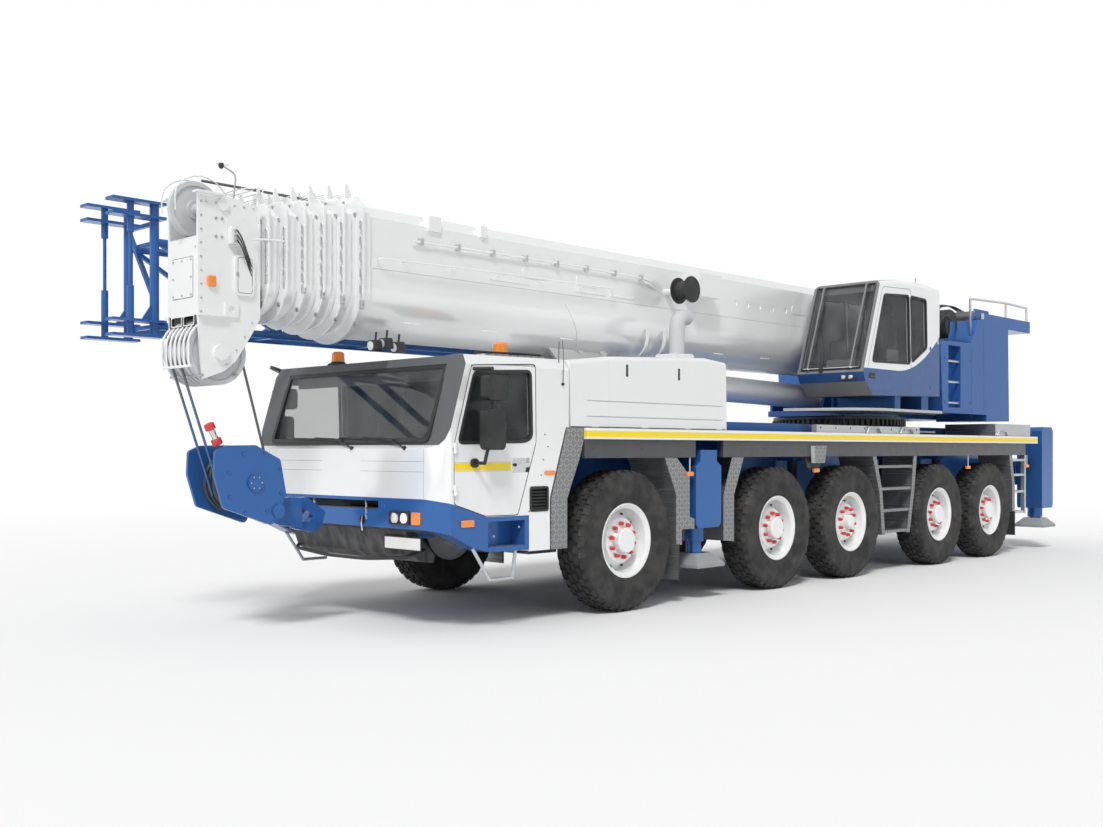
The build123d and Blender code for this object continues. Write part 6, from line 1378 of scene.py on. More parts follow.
# ---------------------------------------------------------------------------
# Superstructure
# ---------------------------------------------------------------------------
@dataclass
class CraneCab:
    """The operator's cab: window seals, door joint, lamp recess, handle, wiper, grab rail, controls and seat."""

    side: float = 1.490
    body: str = "turret"
    front_window: tuple[Pair, ...] = ((-4.790, 2.720), (-5.095, 3.600), (-5.760, 3.640), (-5.800, 2.740))
    rear_window: tuple[Pair, ...] = ((-5.850, 2.760), (-5.810, 3.640), (-6.256, 3.630), (-6.280, 2.980))
    screen: tuple[Pair, ...] = ((-4.582, 2.630), (-4.640, 2.800), (-4.992, 3.735))
    screen_y: Pair = (0.585, 1.435)
    door: tuple[Pair, ...] = ((-4.70, 2.33), (-4.66, 2.62), (-5.055, 3.70), (-5.82, 3.735), (-5.835, 2.36))
    seat_place: Point = (-5.70, 1.01, 2.835)
    levers_y: Pair = (0.78, 1.24)

    def seals(self) -> None:
        """Black seals round the side windows and the windscreen."""
        piece = Piece("crane_cab_seals", self.body, "black_plastic")
        for window in (self.front_window, self.rear_window):
            for y in ((self.side - 0.022, self.side + 0.004), (0.526, 0.545)):
                gasket(piece, window, Across.Y, y, (0.014, 0.014), BLACK, 0.05)
        low, middle, high = self.screen
        y_low, y_high = self.screen_y
        for y in (y_low, y_high):
            piece.pipe([(x + 0.012, y, z) for x, z in (low, middle, high)], 0.05, 0.012, BLACK, 8)
        piece.rod((low[0] + 0.012, y_low, low[1]), (low[0] + 0.012, y_high, low[1]), 0.012, BLACK, 8)
        piece.rod((high[0] + 0.012, y_low, high[1]), (high[0] + 0.012, y_high, high[1]), 0.012, BLACK, 8)
        self.wiper(piece)
        piece.build()

    def wiper(self, piece: Piece) -> None:
        """A tall parallel-arm wiper that stands on the screen's foot."""
        for y, top in ((0.86, 3.30), (0.90, 3.24)):
            x_top = -4.640 - (top - 2.80) * 0.3765
            piece.pipe([
                (-4.555, y, 2.64), (-4.60, y, 2.80), (x_top + 0.03, y - 0.14, top),
            ], 0.05, 0.007, BLACK, 6)
        piece.tube([(-4.64, 0.735, 2.86), (-4.895, 0.735, 3.54)], 0.010, BLACK, 6)
        piece.lathe(
            ((0.0005, 0.02), (0.03, 0.015), (0.036, -0.01)), (-4.565, 0.88, 2.62), (1, 0, 0.2), BLACK, 16)

    def trim(self) -> None:
        """Door joint and handle, lamp recess with two lamps, two rear clips, rear grab rail and roof aerial."""
        piece = Piece("crane_cab_trim", self.body, "black_plastic")
        gasket(piece, self.door, Across.Y, (self.side - 0.010, self.side + 0.0005), (0.0, 0.006), TRIM, 0.06)
        piece.prism(panel((-4.86, -4.70), (2.50, 2.57), 0.01), Across.Y,
                    self.side - 0.01, self.side + 0.002, BLACK, 0.001)
        piece.prism(panel((-4.85, -4.73), (2.515, 2.535), 0.008), Across.Y,
                    self.side - 0.004, self.side + 0.012, TRIM, 0.003)
        face = -4.600
        recess = [(1.14, 2.475), (1.38, 2.475), (1.37, 2.565), (1.12, 2.565)]
        piece.prism(rounded(recess, 0.015), Across.X, face - 0.03, face + 0.010, BLACK, 0.002)
        for y in (1.195, 1.300):
            piece.lathe(
                ((0.034, 0.002), (0.034, 0.010), (0.028, 0.012)), (face + 0.010, y, 2.52), (1, 0, 0), CHROME,
                20)
            piece.lathe(
                ((0.028, 0.008), (0.018, 0.014), (0.0005, 0.016)), (face + 0.010, y, 2.52), (1, 0, 0),
                CLEAR_LENS, 20)
        for z in (2.42, 2.95):
            piece.prism(panel((-6.40, -6.36), (z, z + 0.05), 0.008), Across.Y,
                        self.side - 0.002, self.side + 0.004, BLUE, 0.001)
        rail = [
            (-6.60, self.side + 0.000, 3.05), (-6.60, self.side - 0.02, 3.30),
            (-6.66, self.side - 0.05, 3.60), (-6.66, self.side - 0.09, 3.70)]
        piece.pipe(rail, 0.1, 0.012, PALE_GREY, 10)
        piece.rod((-6.50, 1.20, 3.84), (-6.52, 1.20, 3.978), 0.005, BLACK, 6)
        piece.lathe(((0.0005, 0.03), (0.02, 0.02), (0.03, 0.0)), (-6.50, 1.20, 3.838), (0, 0, 1), BLACK, 14)
        piece.build()

    def inside(self) -> None:
        """Two joysticks, a screen and two pedals."""
        piece = Piece("operator_controls", self.body, "black_plastic")
        for y in self.levers_y:
            piece.lathe((
                (0.0005, 0.0), (0.028, 0.0), (0.020, 0.03), (0.010, 0.045), (0.011, 0.12), (0.022, 0.14),
                (0.024, 0.19), (0.012, 0.215), (0.0005, 0.217),
            ), (-5.50, y, 2.93), (0.15, 0, 1), BLACK, 16)
        piece.prism(rounded([
            (-4.98, 2.76), (-4.94, 2.76), (-4.93, 3.02), (-4.97, 3.02),
        ], 0.01), Across.Y, 0.78, 1.02, BLACK, 0.008)
        piece.prism(rounded([
            (-4.985, 2.79), (-4.978, 2.79), (-4.966, 3.00), (-4.973, 3.00),
        ], 0.002), Across.Y, 0.80, 1.00, SCREEN, 0.001)
        for y in (0.92, 1.08):
            piece.prism(rounded([
                (-4.98, 2.42), (-4.95, 2.40), (-4.88, 2.50), (-4.90, 2.52),
            ], 0.008), Across.Y, y - 0.04, y + 0.04, BLACK, 0.004)
        piece.build()

    def build(self) -> None:
        """Everything on and in the operator's cab."""
        self.seals()
        self.trim()
        self.inside()
        seat("seat_operator", self.body, "cab_trim", *self.seat_place)


@dataclass
class Turret:
    """Wound ropes, panel joints, tread, bolts and hose runs on the slewing frame and its rear housing."""

    body: str = "turret"
    housing_y: float = 1.350
    ring: Point = (-6.500, 0.0, 2.030)
    bolt_count: int = 48
    bolt_circle: float = 0.905
    main_drum: Point = (-8.150, 2.370, 0.151)  # X, Z and radius under the rope
    upper_drum: Point = (-8.750, 3.640, 0.080)
    hose_reel: Point = (-7.740, 0.0, 3.450)
    hose_turns: int = 9

    def wound_rope(
        self, piece: Piece, x: float, z: float, radius: float, y: Pair, rope: float = 0.021) -> None:
        """Rope laid turn beside turn on a drum: the profile's radius is r + rope |sin(pi y / rope)| / 2."""
        stations = np.linspace(0, abs(y[1] - y[0]), int(abs(y[1] - y[0]) / rope * 6) + 1)
        wave = radius + rope / 2 * np.abs(np.sin(np.pi * stations / rope))
        profile = np.stack([wave, stations], axis=1)
        piece.lathe([
            (0.02, 0.0), *map(tuple, profile), (0.02, float(stations[-1])),
        ], (x, min(y), z), (0, 1, 0), ROPE, 40)

    def drums(self) -> None:
        """Rope on the main and the auxiliary drum, and hose on the reel."""
        piece = Piece("wound_ropes", self.body, "dark_steel")
        self.wound_rope(piece, *self.main_drum, (-0.375, 0.335))
        self.wound_rope(piece, *self.upper_drum, (0.670, 1.130))
        piece.build()
        hose = Piece("wound_hose", self.body, "black_plastic")
        around = np.linspace(0, 1, 9)[:-1] * TAU
        for number in range(self.hose_turns):
            y = 0.88 + number * 0.03
            section = [(0.203 + 0.008 * math.sin(angle), y + 0.015 * math.cos(angle)) for angle in around]
            hose.lathe(section, self.hose_reel, (0, 1, 0), BLACK, 40, loop=True)
        hose.build()

    def panels(self) -> None:
        """Shadow gaps between the housing's sheets, their screws, and tread plate on its steps."""
        piece = Piece("housing_joints", self.body, "blue_paint")
        for side in Side:
            out = side.span(self.housing_y - 0.004, self.housing_y + 0.0006)
            for x in (-7.98, -8.40):
                piece.box((x - 0.003, x + 0.003), out, (2.05, 3.10 if x > -8.2 else 3.50), JOINT, 0.0005)
            piece.box((-7.97, -7.02), out, (2.148, 2.152), JOINT, 0.0005)
            for z in (2.28, 2.9):
                for x in (-7.93, -7.10):
                    piece.lathe(
                        ((0.0005, 0.006), (0.012, 0.005), (0.014, -0.001)), side.at(x, self.housing_y, z),
                        side.out, BLACK, 10)
        for z in np.linspace(2.25, 3.05, 5):
            piece.lathe(
                ((0.0005, 0.005), (0.010, 0.004), (0.012, -0.001)), (-6.99, self.housing_y, float(z)),
                (0, 1, 0), STEEL_DARK, 8)
        piece.build()
        tread = Piece("housing_treads", self.body, "aluminium")
        for side in Side:
            tread.box((-7.93, -6.98), side.span(0.56, 1.34), (3.1535, 3.1575), TREAD_TOP, 0.001)
            tread.box((-9.25, -8.42), side.span(0.56, 1.34), (3.562, 3.566), TREAD_TOP, 0.001)
        tread.build()

    def hoses(self) -> None:
        """Pairs of black hoses that arch from the housing towards the winches, with crimped ends."""
        piece = Piece("turret_hoses", self.body, "black_plastic")
        for number, y in enumerate((0.70, 0.74, 0.78, 1.20, 1.24)):
            sink = 0.02 * number
            line = [
                (-7.12, y, 3.16), (-7.12, y, 3.42 - sink), (-7.36, y - 0.02, 3.64 - sink),
                (-7.62, y - 0.02, 3.55 - sink)]
            piece.tube(smooth_line(line, 0.2, 9), 0.011, BLACK, 8)
            piece.rod((-7.12, y, 3.155), (-7.12, y, 3.20), 0.016, STEEL, 10)
        for number, y in enumerate((0.68, 0.72, 0.76)):
            line = [
                (-8.15, y, 3.50), (-8.10, y, 3.78 - 0.01 * number), (-8.60, y, 3.84 - 0.01 * number),
                (-8.98, y, 3.76)]
            piece.tube(smooth_line(line, 0.25, 9), 0.010, BLACK, 8)
        piece.build()

    def ring_bolts(self) -> None:
        """A circle of bolts round the slewing ring's flange."""
        piece = Piece("ring_bolts", "chassis", "steel")
        x, y, z = self.ring
        for spoke in ring_of(self.bolt_count, self.bolt_circle):
            piece.lathe(
                ((0.017, -0.004), (0.017, 0.012), (0.014, 0.016), (0.0005, 0.016)),
                (x + spoke[0], y + spoke[1], z - 0.019), (0, 0, 1), STEEL_DARK, 6)
        piece.build()

    def build(self) -> None:
        """Everything on the slewing frame but the operator's cab."""
        self.drums()
        self.panels()
        self.hoses()
        self.ring_bolts()


@dataclass
class Boom:
    """The telescopic boom's ropes, rail, pipe, straps, lamps and the gear on its collars."""

    trough_rings: tuple[float, ...] = (-1.545, -1.853)
    collars: tuple[float, ...] = (2.500, 2.680, 2.860, 3.030, 3.190, 3.340)
    half: float = 0.460
    top: float = 3.790
    bottom: float = 2.620
    step: float = 0.040
    drop: float = 0.032
    rope_y: float = 0.036
    rope_z: float = 3.838
    travel: float = 9.0  # how far back a section's length of rope reaches
    rear: float = -8.9
    lamp_places: tuple[Pair, ...] = ((2.256, 2.541), (2.130, 2.567), (1.990, 2.540))
    dashes: tuple[float, ...] = (-8.4, -7.2, -6.0, -4.9, -3.9, -2.9, -0.2, 0.9, 1.9)

    def section(self, number: int) -> tuple[float, float, float]:
        """Half width, top and bottom of a section."""
        return (
            self.half - self.step * (number - 1), self.top - self.drop * (number - 1),
            self.bottom + self.drop * (number - 1))

    def base_pipes(self) -> None:
        """The guard rail and pipe along the base section's left side, with clips, lugs, and creases drawn as grey
        strips of painted shade.
        """
        piece = Piece("boom_1_pipes", "boom_1", "white_paint")
        y = self.half
        rail = [
            (2.30, y + 0.008, 3.30), (2.30, y + 0.075, 3.31), (1.10, y + 0.085, 3.33),
            (-0.9, y + 0.085, 3.345), (-0.9, y + 0.008, 3.36)]
        piece.pipe(rail, 0.06, 0.009, WHITE, 8)
        for x in (2.0, 1.4, 0.8, 0.2, -0.4):
            piece.rod((x, y - 0.002, 3.318), (x, y + 0.083, 3.318), 0.007, WHITE, 8)
        pipe = [
            (-1.78, y + 0.020, 3.42), (-1.5, y + 0.030, 3.52), (-0.3, y + 0.030, 3.54),
            (1.9, y + 0.030, 3.52)]
        piece.pipe(pipe, 0.2, 0.012, WHITE, 8)
        for x in np.linspace(-1.4, 1.8, 8):
            piece.prism(
                panel((x - 0.02, x + 0.02), (3.50, 3.56), 0.008), Across.Y, y - 0.002, y + 0.046, ALUMINIUM,
                0.004)
        for x_low, x_high in ((-1.30, -0.9), (-0.82, -0.35), (0.35, 0.9)):
            piece.box((x_low, x_high), (y - 0.002, y + 0.007), (3.268, 3.292), WHITE, 0.003)
        for side in Side:
            for x in self.dashes:
                piece.box((x - 0.10, x + 0.10), side.span(y - 0.002, y + 0.006), (2.752, 2.764), WHITE, 0.002)
            # grey strip of painted shade along the boom's crease
            piece.box((-8.9, 2.35), side.span(y - 0.003, y + 0.0015), (3.2225, 3.2275), PAINTED_CREASE_SHADE, 0.001)
        piece.build()

    def rings(self) -> None:
        """Raised straps round the lower half of the trough.

        A strap's edge at angle a is half |cos a|^0.55 across and depth |sin a|^0.75 below the trough's shoulder.
        """
        piece = Piece("boom_1_straps", "boom_1", "white_paint")
        angle = np.linspace(0, math.pi, 25)
        half, low = self.half, self.bottom
        width, sunk, proud, depth = 0.04, 0.004, 0.010, 0.33
        for x in self.trough_rings:
            rows = []
            for station, grow in (
                (x - width / 2, -sunk), (x - width / 2, proud), (x + width / 2, proud),
                (x + width / 2, -sunk)):
                y = (half + grow) * np.sign(np.cos(angle)) * np.abs(np.cos(angle)) ** 0.55
                z = low + depth - (depth + grow) * np.abs(np.sin(angle)) ** 0.75
                rows.append(np.stack([np.full(len(angle), station), y, z], axis=1))
            piece.skin(np.array(rows).transpose(1, 0, 2), WHITE)
        piece.build()

    def lamps(self) -> None:
        """Three work lamps on brackets under the base section's front."""
        piece = Piece("work_lamps", "boom_1", "black_plastic")
        for x, z in self.lamp_places:
            piece.prism(rounded([
                (x - 0.055, z - 0.05), (x + 0.045, z - 0.06), (x + 0.06, z + 0.045), (x - 0.04, z + 0.05),
            ], 0.02), Across.Y, 0.33, 0.44, BLACK, 0.015)
            piece.lathe(
                ((0.042, 0.0), (0.040, 0.006), (0.0005, 0.010)), (x + 0.056, 0.385, z - 0.008), (1, 0, -0.12),
                CLEAR_LENS, 20)
            piece.rod((x, 0.385, z + 0.04), (x - 0.01, 0.385, z + 0.12), 0.010, BLACK, 8)
        piece.build()

    def collar_gear(self, number: int) -> None:
        """What rides on one section's front: pad keepers chained down both sides, bars over its top and bolt heads.

        Args:
            number: the section whose collar carries them, from 1 to 6.
        """
        front = self.collars[number - 1]
        half, top, bottom = self.section(number)
        outer = half + 0.062
        piece = Piece(f"boom_{number}_keepers", f"boom_{number}", "white_paint")
        for side in Side:
            heights = np.linspace(bottom + 0.26, top - 0.20, 6)
            for count, z in enumerate(heights):
                x = front - 0.012
                y = side.span(outer - 0.050, outer - 0.012)
                piece.prism(panel(
                    (x - 0.02, x + 0.018), (z - 0.040, z + 0.040), 0.010,
                ), Across.Y, *y, ALUMINIUM, 0.006)
                piece.screw(
                    (0.011, 0.0, 0.009, 0.010), side.at(x, outer - 0.014, float(z)), side.out, STEEL, 6)
                if count:
                    last = heights[count - 1]
                    line = [
                        side.at(x + 0.014, outer - 0.020, last + 0.03),
                        side.at(x + 0.024, outer - 0.012, (last + z) / 2),
                        side.at(x + 0.014, outer - 0.020, z - 0.03)]
                    piece.pipe(line, 0.05, 0.006, CHROME, 6)
            for z in (bottom + 0.09, top - 0.10):
                piece.screw(
                    (0.020, -0.002, 0.010, 0.012), side.at(front + 0.001, half - 0.05, z), (1, 0, 0), STEEL,
                    6)
        for y in np.linspace(-0.24, 0.24, 4):
            piece.screw(
                (0.014, -0.002, 0.008, 0.010), (front + 0.001, float(y) * half / 0.46, top + 0.03), (1, 0, 0),
                STEEL, 6)
        for count in range(5):
            z = top + 0.045 + count * 0.018
            piece.rod(
                (front - 0.02, -0.20 + 0.01 * count, z), (front - 0.02, 0.20 - 0.01 * count, z), 0.004, WHITE,
                6)
        piece.build()

    def ropes(self) -> None:
        """The hoist rope over the top: each section carries its own length of it, as long as its travel."""
        for number in range(1, 8):
            front = self.collars[number - 1] + 0.01 if number < 7 else 3.80
            rear = self.rear if number == 1 else max(front - self.travel, self.rear)
            piece = Piece(f"boom_{number}_rope", f"boom_{number}", "dark_steel")
            start, end = (rear, self.rope_y, self.rope_z), (front, self.rope_y, self.rope_z)
            piece.rod(start, end, 0.0100 + 0.0002 * number, ROPE, 10)
            piece.build()

    def build(self) -> None:
        """Everything on the boom but its head."""
        self.base_pipes()
        self.rings()
        self.lamps()
        for number in range(1, 7):
            self.collar_gear(number)
        self.ropes()


@dataclass
class BoomHead:
    """The gear on the last section's head plates: hatch, screws, guards, lamp, wind gauge and top frame."""

    body: str = "boom_7"
    plate: float = 0.245
    front: float = 3.953
    lower_sheaves: Pair = (3.750, 2.395)
    top_sheave: Pair = (3.862, 3.582)
    guard_radius: float = 0.288
    guard_turn: Pair = (-25, 58)  # degrees above level, from the guard's foot to its top

    def bolt(self, piece: Piece, x: float, z: float, radius: float = 0.011) -> None:
        """A hexagon head on both side plates."""
        for side in Side:
            piece.lathe((
                (radius, -0.001), (radius, radius * 0.7), (0.0005, radius * 0.8),
            ), side.at(x, self.plate, z), side.out, STEEL, 6)

    def sides(self) -> None:
        """Hatch seams and latch, bolt patterns, valve block, pipe to the collars and the side lamp."""
        piece = Piece("head_fittings", self.body, "white_paint")
        for side in Side:
            out = side.span(self.plate + 0.024 - 0.002, self.plate + 0.0246)
            gasket(
                piece, ((3.46, 2.90), (3.60, 2.90), (3.60, 3.20), (3.46, 3.20)), Across.Y, out, (0.0, 0.004),
                JOINT, 0.03)
            piece.box(
                (3.59, 3.615), side.span(self.plate + 0.02, self.plate + 0.032), (3.04, 3.07), STEEL, 0.004)
            for z in (2.95, 3.15):
                piece.rod(
                    side.at(3.455, self.plate + 0.026, z - 0.02),
                    side.at(3.455, self.plate + 0.026, z + 0.02), 0.007, WHITE, 8)
        for x, z in ((3.735, 3.35), (3.790, 3.35), (3.735, 3.50), (3.790, 3.50)):
            self.bolt(piece, x, z, 0.013)
        for z in np.linspace(2.72, 3.62, 9):
            self.bolt(piece, 3.925, float(z), 0.009)
        for x in np.linspace(3.44, 3.88, 6):
            self.bolt(piece, float(x), 3.625, 0.008)
        for x, z in ((3.45, 2.66), (3.52, 2.54), (3.60, 2.42), (3.69, 2.30)):
            self.bolt(piece, x, z, 0.008)
        piece.prism(
            panel((3.80, 3.87), (2.93, 3.02), 0.012), Across.Y, self.plate, self.plate + 0.035, AMBER, 0.010)
        piece.prism(
            panel((3.60, 3.68), (3.30, 3.44), 0.01), Across.Y, self.plate, self.plate + 0.05, WHITE, 0.006)
        for z in (3.33, 3.37, 3.41):
            piece.lathe(
                ((0.013, 0.0), (0.013, 0.02), (0.008, 0.022), (0.008, 0.03)), (3.64, self.plate + 0.05, z),
                (0, 1, 0), STEEL, 8)
            piece.pipe([
                (3.64, self.plate + 0.08, z), (3.60, self.plate + 0.085, z - 0.05),
                (3.50, self.plate + 0.03, z - 0.20), (3.44, self.plate + 0.012, z - 0.34),
            ], 0.06, 0.006, BLACK, 6)
        piece.pipe([
            (3.47, self.plate + 0.03, 3.36), (3.34, 0.33, 3.37), (3.20, 0.345, 3.37),
        ], 0.05, 0.008, WHITE, 8)
        piece.build()

    def face(self) -> None:
        """Cover plate with eight screws, the two windows' rims and a row of bolts on the head's front."""
        piece = Piece("head_face", self.body, "white_paint")
        gasket(
            piece, ((-0.17, 2.84), (0.17, 2.84), (0.17, 3.18), (-0.17, 3.18)), Across.X,
            (self.front - 0.002, self.front + 0.0006), (0.0, 0.004), JOINT, 0.02)
        piece.prism(
            panel((-0.165, 0.165), (2.845, 3.175), 0.02), Across.X, self.front - 0.002, self.front + 0.006,
            WHITE, 0.002)
        for y in (-0.145, 0.0, 0.145):
            for z in (2.865, 3.01, 3.155):
                if y or z != 3.01:
                    piece.screw((0.010, 0.0, 0.006, 0.008), (self.front + 0.006, y, z), (1, 0, 0), STEEL, 6)
        for y_low, y_high in ((-0.18, -0.02), (0.02, 0.18)):
            gasket(
                piece, ((y_low, 2.618), (y_high, 2.618), (y_high, 2.688), (y_low, 2.688)), Across.X,
                (self.front - 0.01, self.front + 0.004), (0.008, 0.0), WHITE, 0.008)
        for z in np.linspace(3.25, 3.62, 4):
            piece.screw(
                (0.008, 0.0, 0.004, 0.005), (self.front - 0.018 if z > 3.34 else self.front, 0.205, float(z)),
                (1, 0, 0), STEEL, 6)
        piece.build()

    def rope_guard(self) -> None:
        """A comb of bars across the lower sheaves and two long retaining pins."""
        piece = Piece("rope_guard", self.body, "steel")
        radius, (sheave_x, sheave_z) = self.guard_radius, self.lower_sheaves
        for y in np.linspace(-0.216, 0.216, 7):
            turn = np.linspace(*np.radians(self.guard_turn), 9)
            line = np.stack([
                sheave_x + radius * np.cos(turn), np.full(9, y), sheave_z + radius * np.sin(turn)], axis=1)
            line[:, 0] = np.minimum(line[:, 0], 4.02)
            piece.tube(line, 0.010, WHITE, 8)
        for angle in map(math.radians, self.guard_turn):
            x, z = sheave_x + radius * math.cos(angle), sheave_z + radius * math.sin(angle)
            piece.rod((x, -0.235, z), (x, 0.235, z), 0.012, WHITE, 10)
        for x, z in ((3.60, 2.22), (3.92, 2.20)):
            piece.rod((x, -0.262, z), (x, 0.262, z), 0.011, STEEL, 10)
        piece.build()

    def top_frame(self) -> None:
        """Wind gauge on a bent rod, crossed rods, and a wire cage round the top sheave."""
        piece = Piece("head_top_frame", self.body, "white_paint")
        for side in Side:
            y = side.value * 0.11
            turn = np.linspace(math.radians(-10), math.radians(190), 15)
            sheave_x, sheave_z = self.top_sheave
            arc_x, arc_z = sheave_x + 0.265 * np.cos(turn), sheave_z + 0.265 * np.sin(turn)
            line = np.stack([arc_x, np.full(15, y + 0.036), arc_z], axis=1)
            line[:, 0] = np.minimum(line[:, 0], 4.10)
            piece.tube(line, 0.006, WHITE, 6)
            piece.pipe([
                (3.50, y * 1.6, 3.66), (3.50, y * 1.6, 3.80), (3.30, y * 1.6, 3.83), (3.30, y * 1.6, 3.66),
            ], 0.03, 0.006, WHITE, 6)
        for x in (3.30, 3.40, 3.50):
            piece.rod((x, -0.176, 3.80), (x, 0.176, 3.80), 0.005, WHITE, 6)
        piece.pipe([(3.60, 0.20, 3.68), (3.58, 0.21, 3.90), (3.72, 0.21, 3.955)], 0.05, 0.007, STEEL, 8)
        piece.lathe((
            (0.0005, 0.03), (0.02, 0.025), (0.024, 0.0), (0.012, -0.02), (0.0005, -0.02),
        ), (3.72, 0.21, 3.945), (0, 0, 1), BLACK, 14)
        for angle in (0.3, 2.4, 4.5):
            piece.rod(
                (3.72, 0.21, 3.955), (3.72 + 0.06 * math.cos(angle), 0.21 + 0.06 * math.sin(angle), 3.955),
                0.003, STEEL, 6)
        piece.build()

    def build(self) -> None:
        """Everything on the head."""
        self.sides()
        self.face()
        self.rope_guard()
        self.top_frame()


@dataclass
class HookGear:
    """The hook block's screws and latch, and the limit weight on the hoist rope."""

    body: str = "hook_block"
    centre: Pair = (3.410, 1.310)
    cheek: float = 0.232
    weight_foot: Point = (3.691, 0.105, 1.640)
    weight_head: Point = (3.775, 0.105, 1.800)

    def block(self) -> None:
        """Screws round the cheeks and the axle caps, and the latch on the hook."""
        piece = Piece("hook_fittings", self.body, "steel")
        x_middle, z_middle = self.centre
        for side in Side:
            for spoke in ring_of(8, 0.30, 0.35):
                piece.screw(
                    (0.016, -0.001, 0.010, 0.012),
                    side.at(x_middle + spoke[0] * 0.9, self.cheek, z_middle + spoke[1] * 0.9), side.out, BLUE,
                    6)
            for spoke in ring_of(6, 0.052):
                piece.screw(
                    (0.008, 0.0, 0.007, 0.008),
                    side.at(x_middle + spoke[0], self.cheek + 0.018, z_middle + spoke[1]), side.out, STEEL, 6)
        piece.prism(rounded([
            (2.70, 1.10), (2.86, 0.95), (2.88, 0.97), (2.73, 1.13),
        ], 0.01), Across.Y, -0.03, 0.03, STEEL_DARK, 0.004)
        piece.build()

    def limit_weight(self) -> None:
        """Hoist limit weight: two red clamps on a chromed sleeve round the left rope."""
        piece = Piece("limit_weight", self.body, "steel")
        low, high = np.array(self.weight_foot), np.array(self.weight_head)
        run = (high - low) / np.linalg.norm(high - low)
        piece.rod(tuple(low), tuple(high), 0.026, CHROME, 18)
        for spot in (low + run * 0.02, high - run * 0.02):
            piece.lathe((
                (0.03, -0.03), (0.044, -0.024), (0.044, 0.024), (0.03, 0.03),
            ), tuple(spot), tuple(run), RED, 18)
        piece.build()

    def build(self) -> None:
        """Everything on the hook block."""
        self.block()
        self.limit_weight()


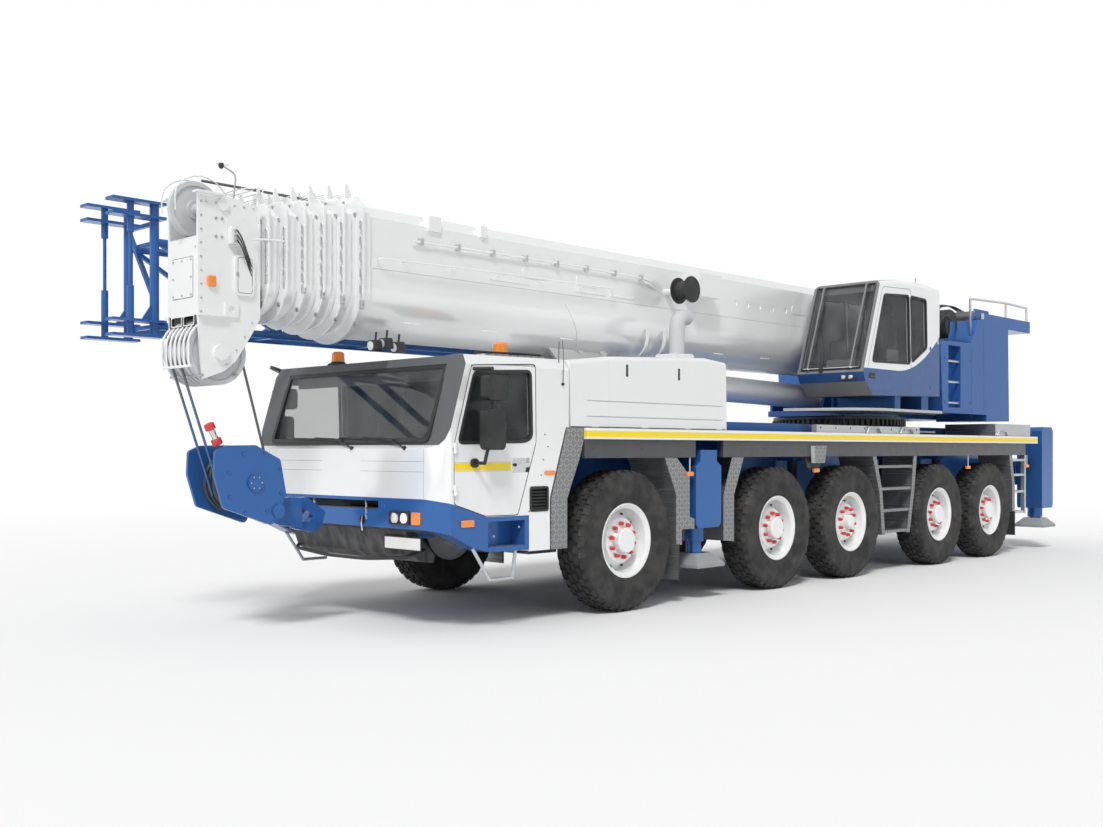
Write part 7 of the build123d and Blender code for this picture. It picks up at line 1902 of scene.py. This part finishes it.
# ---------------------------------------------------------------------------
# Dressing the CAD nodes
# ---------------------------------------------------------------------------
CAB_LINING = Zone(TRIM, x=(0.84, 2.312), y=(0.0, 1.405), z=(1.0, 2.392))
DRESSING: dict[str, tuple[Finish, tuple[Zone, ...]]] = {
    "chassis_frame": (BLUE, (Zone(STEEL, x=(-11.5, -11.28)),)),
    "carrier_deck": (DECK_LINES, (Zone(TREAD_TOP, facing=(2, 0.9)), Zone(STEEL_DARK, facing=(2, -0.9)))),
    "mudguards": (TREAD_SIDE, (
        Zone(FLAP, x=(-0.825, -0.775), z=(0.2, 0.622)), Zone(FLAP, x=(-9.21, -9.17), z=(0.2, 0.65)),
        Zone(ALUMINIUM, x=(-6.2, -3.55), y=(1.35, 1.44), z=(1.802, 1.9)),
        Zone(PALE_GREY, x=(-3.65, -3.35), y=(1.38, 1.5), z=(1.43, 1.65)),
        Zone(ALUMINIUM, x=(-9.0, -4.6), y=(1.37, 1.47), z=(1.802, 1.9)),
        Zone(ALUMINIUM, y=(1.32, 1.46), z=(0.5, 1.5), x=(-5.76, -5.12), facing=(2, 0.7)),
        Zone(ALUMINIUM, y=(1.32, 1.46), z=(0.5, 1.5), x=(-5.76, -5.12), facing=(2, -0.7)),
        Zone(ALUMINIUM, y=(1.32, 1.46), z=(0.5, 1.5), x=(-9.66, -9.2)), Zone(ALUMINIUM, x=(-9.7, -9.62)),
        Zone(TREAD_TOP, facing=(2, 0.9)))),
    "carrier_cab": (WHITE, (
        Zone(BLACK, x=(1.10, 1.33), y=(1.41, 1.4495), z=(1.045, 1.245)), CAB_LINING,
        Zone(TREAD_TOP, x=(0.85, 1.65), y=(0.63, 1.19), z=(2.442, 2.6)),
        Zone(STEEL_DARK, z=(0.6, 1.06), facing=(2, -0.6)))),
    "bumper": (BLUE, (
        Zone(ALUMINIUM, x=(1.3, 2.03), y=(1.39, 1.445), z=(0.4, 0.739)),
        Zone(GRATE, x=(2.0, 2.37), y=(0.0, 0.565), z=(1.055, 1.14)),
        Zone(STEEL_DARK, x=(1.9, 2.345), y=(0.0, 0.885), z=(0.5, 0.955)),
        Zone(ALUMINIUM, x=(1.41, 1.84), y=(1.25, 1.46), z=(0.73, 0.75)),
        Zone(STEEL_DARK, x=(2.2, 2.359), y=(0.28, 0.38), z=(0.9, 1.01)))),
    "engine_cover": (WHITE, ()),
    "engine": (STEEL_DARK, (Zone(PIPE_GREY, x=(-1.75, -1.3), y=(0.7, 1.1), z=(2.0, 3.3)),)),
    "slew_ring": (GREASED, ()),
    "turret_frame": (BLUE, (Zone(STEEL, y=(0.0, 0.60), x=(-9.2, -9.0), z=(2.9, 3.2)),)),
    "crane_cab": (CAB_TWO_TONE, (
        Zone(LINING, x=(-6.62, -4.6), y=(0.56, 1.452), z=(2.31, 3.806)), Zone(BLACK, z=(3.856, 4.0)),
        Zone(TREAD_TOP, z=(2.08, 2.14), facing=(2, 0.9)), Zone(ALUMINIUM, z=(2.08, 2.14)),
        Zone(BLUE, z=(2.14, 2.286)))),
    "tail_housing": (BLUE, (
        *(
            Zone(ALUMINIUM, x=(-7.62, -7.2), y=(1.2, 1.36), z=(z - 0.028, z + 0.028))
            for z in (2.27, 2.57, 2.87)
        ),
        Zone(PALE_GREY, z=(3.577, 4.0)), Zone(TREAD_TOP, x=(-8.2, -6.9), z=(3.13, 3.2), facing=(2, 0.9)))),
    "winches": (STEEL_DARK, (
        Zone(BLACK, x=(-7.95, -7.53), z=(3.2, 3.7)), Zone(BLUE, x=(-9.1, -8.4), z=(3.5, 3.8)),
        Zone(BLUE, x=(-8.4, -7.9), z=(2.1, 2.6), facing=(1, 0.9)),
        Zone(BLUE, x=(-8.4, -7.9), z=(2.1, 2.6), facing=(1, -0.9)))),
    "jib": (BLUE, ()), "sheaves": (PALE_GREY, ()),
    "hook_block": (BLUE, (Zone(ROPE, z=(1.64, 2.3)), Zone(
        STEEL_DARK, y=(0.0, 0.19), x=(3.15, 3.68), z=(1.05, 1.57)))),
    "luff_barrel": (WHITE, (Zone(STEEL, x=(-1.6, -0.6)),)), "luff_rod": (CHROME, ()),
    "lamps": (BLACK, (
        Zone(AMBER, z=(2.46, 2.7)), Zone(AMBER, x=(1.0, 2.2), z=(0.9, 1.45)),
        Zone(AMBER, y=(1.02, 1.2), x=(2.3, 2.4)), Zone(RED_LENS, x=(-12.0, -9.0)))),
    "cab_glass": (GLASS, ()), "crane_cab_glass": (GLASS, ()), "axle_beams": (STEEL_DARK, ())}


def dress_nodes() -> None:
    """Gives every CAD node that keeps its own shape its softened skin and finishes."""
    for node, (finish, zones) in DRESSING.items():
        Dressed(node, finish, zones, edge=0.0 if finish is GLASS else 0.004).build()
    door_zones = (
        Zone(WHITE, x=(2.21, 2.28), y=(1.44, 1.50), z=(1.1, 1.7)),
        Zone(CHROME, x=(1.33, 1.56), y=(1.43, 1.4499), z=(1.38, 1.52), facing=(1, 0.9)),
        Zone(CHROME, x=(1.33, 1.56), y=(1.42, 1.4499), z=(1.38, 1.52)),
        Zone(MIRROR, y=(1.5, 1.8), facing=(0, -0.97)), Zone(BLACK, y=(1.4525, 1.9)),
        Zone(BLACK, x=(1.32, 2.18), y=(1.401, 1.449), z=(1.64, 2.31)), Zone(TRIM, y=(0.0, 1.405)),
    )
    Dressed("door_left", DOOR_PAINT, door_zones).build()
    Dressed("door_right", DOOR_PAINT, door_zones).build()
    for number in range(1, 7):
        zones = (
            Zone(BLACK, x=(-2.04, -1.7), y=(0.6, 0.9), z=(3.2, 3.6)),
            Zone(STEEL, x=(-9.4, -8.9), z=(2.9, 3.2), facing=(1, 0.9)),
        ) if number == 1 else ()
        Dressed(f"boom_{number}", WHITE, zones).build()
    Dressed("boom_7", WHITE, (
        Zone(STEEL_DARK, x=(3.3, 3.94), y=(0.0, 0.215), z=(2.55, 3.6)),
        Zone(BLACK, x=(3.9, 3.96), z=(2.617, 2.689)))).build()
    for corner in ("fl", "fr", "rl", "rr"):
        Dressed(f"outrigger_{corner}", BLUE).build()
        tube_bottom = 0.605 if corner[0] == "f" else 0.495
        Dressed(f"jack_{corner}", CHROME, (
            Zone(BLUE, z=(tube_bottom, 2.0)), Zone(FLOAT_GREY, z=(0.0, 0.462)))).build()
    for number in range(1, 6):
        for letter in "lr":
            Dressed(f"knuckle_{number}{letter}", STEEL_DARK).build()
    for node, cushions in (("cab_interior", (Zone(TRIM, x=(1.05, 1.66), z=(1.325, 2.2)),)), (
        "crane_cab_seat",
        (
            Zone(TRIM, x=(-6.1, -5.4), y=(0.74, 1.27), z=(2.69, 2.84)),
            Zone(TRIM, x=(-6.1, -5.82), z=(2.75, 3.5)))),):
        Dressed(node, TRIM if node == "cab_interior" else LINING, left_out=cushions).build()


# ---------------------------------------------------------------------------
# Main
# ---------------------------------------------------------------------------
def main() -> None:
    """Builds the stage and then the machine, from the wheels up."""
    logging.basicConfig(level=logging.INFO, format="%(name)s %(message)s")
    Stage().build()
    for number, driven in enumerate((True, True, False, True, True), start=1):
        for side in Side:
            Wheel(number, side, driven).build()
    dress_nodes()
    for assembly in (CarrierCab(), Nose(), DeckTrim(), CraneCab(), Turret(), Boom(), BoomHead(), HookGear()):
        assembly.build()


if __name__ == "__main__":
    main()
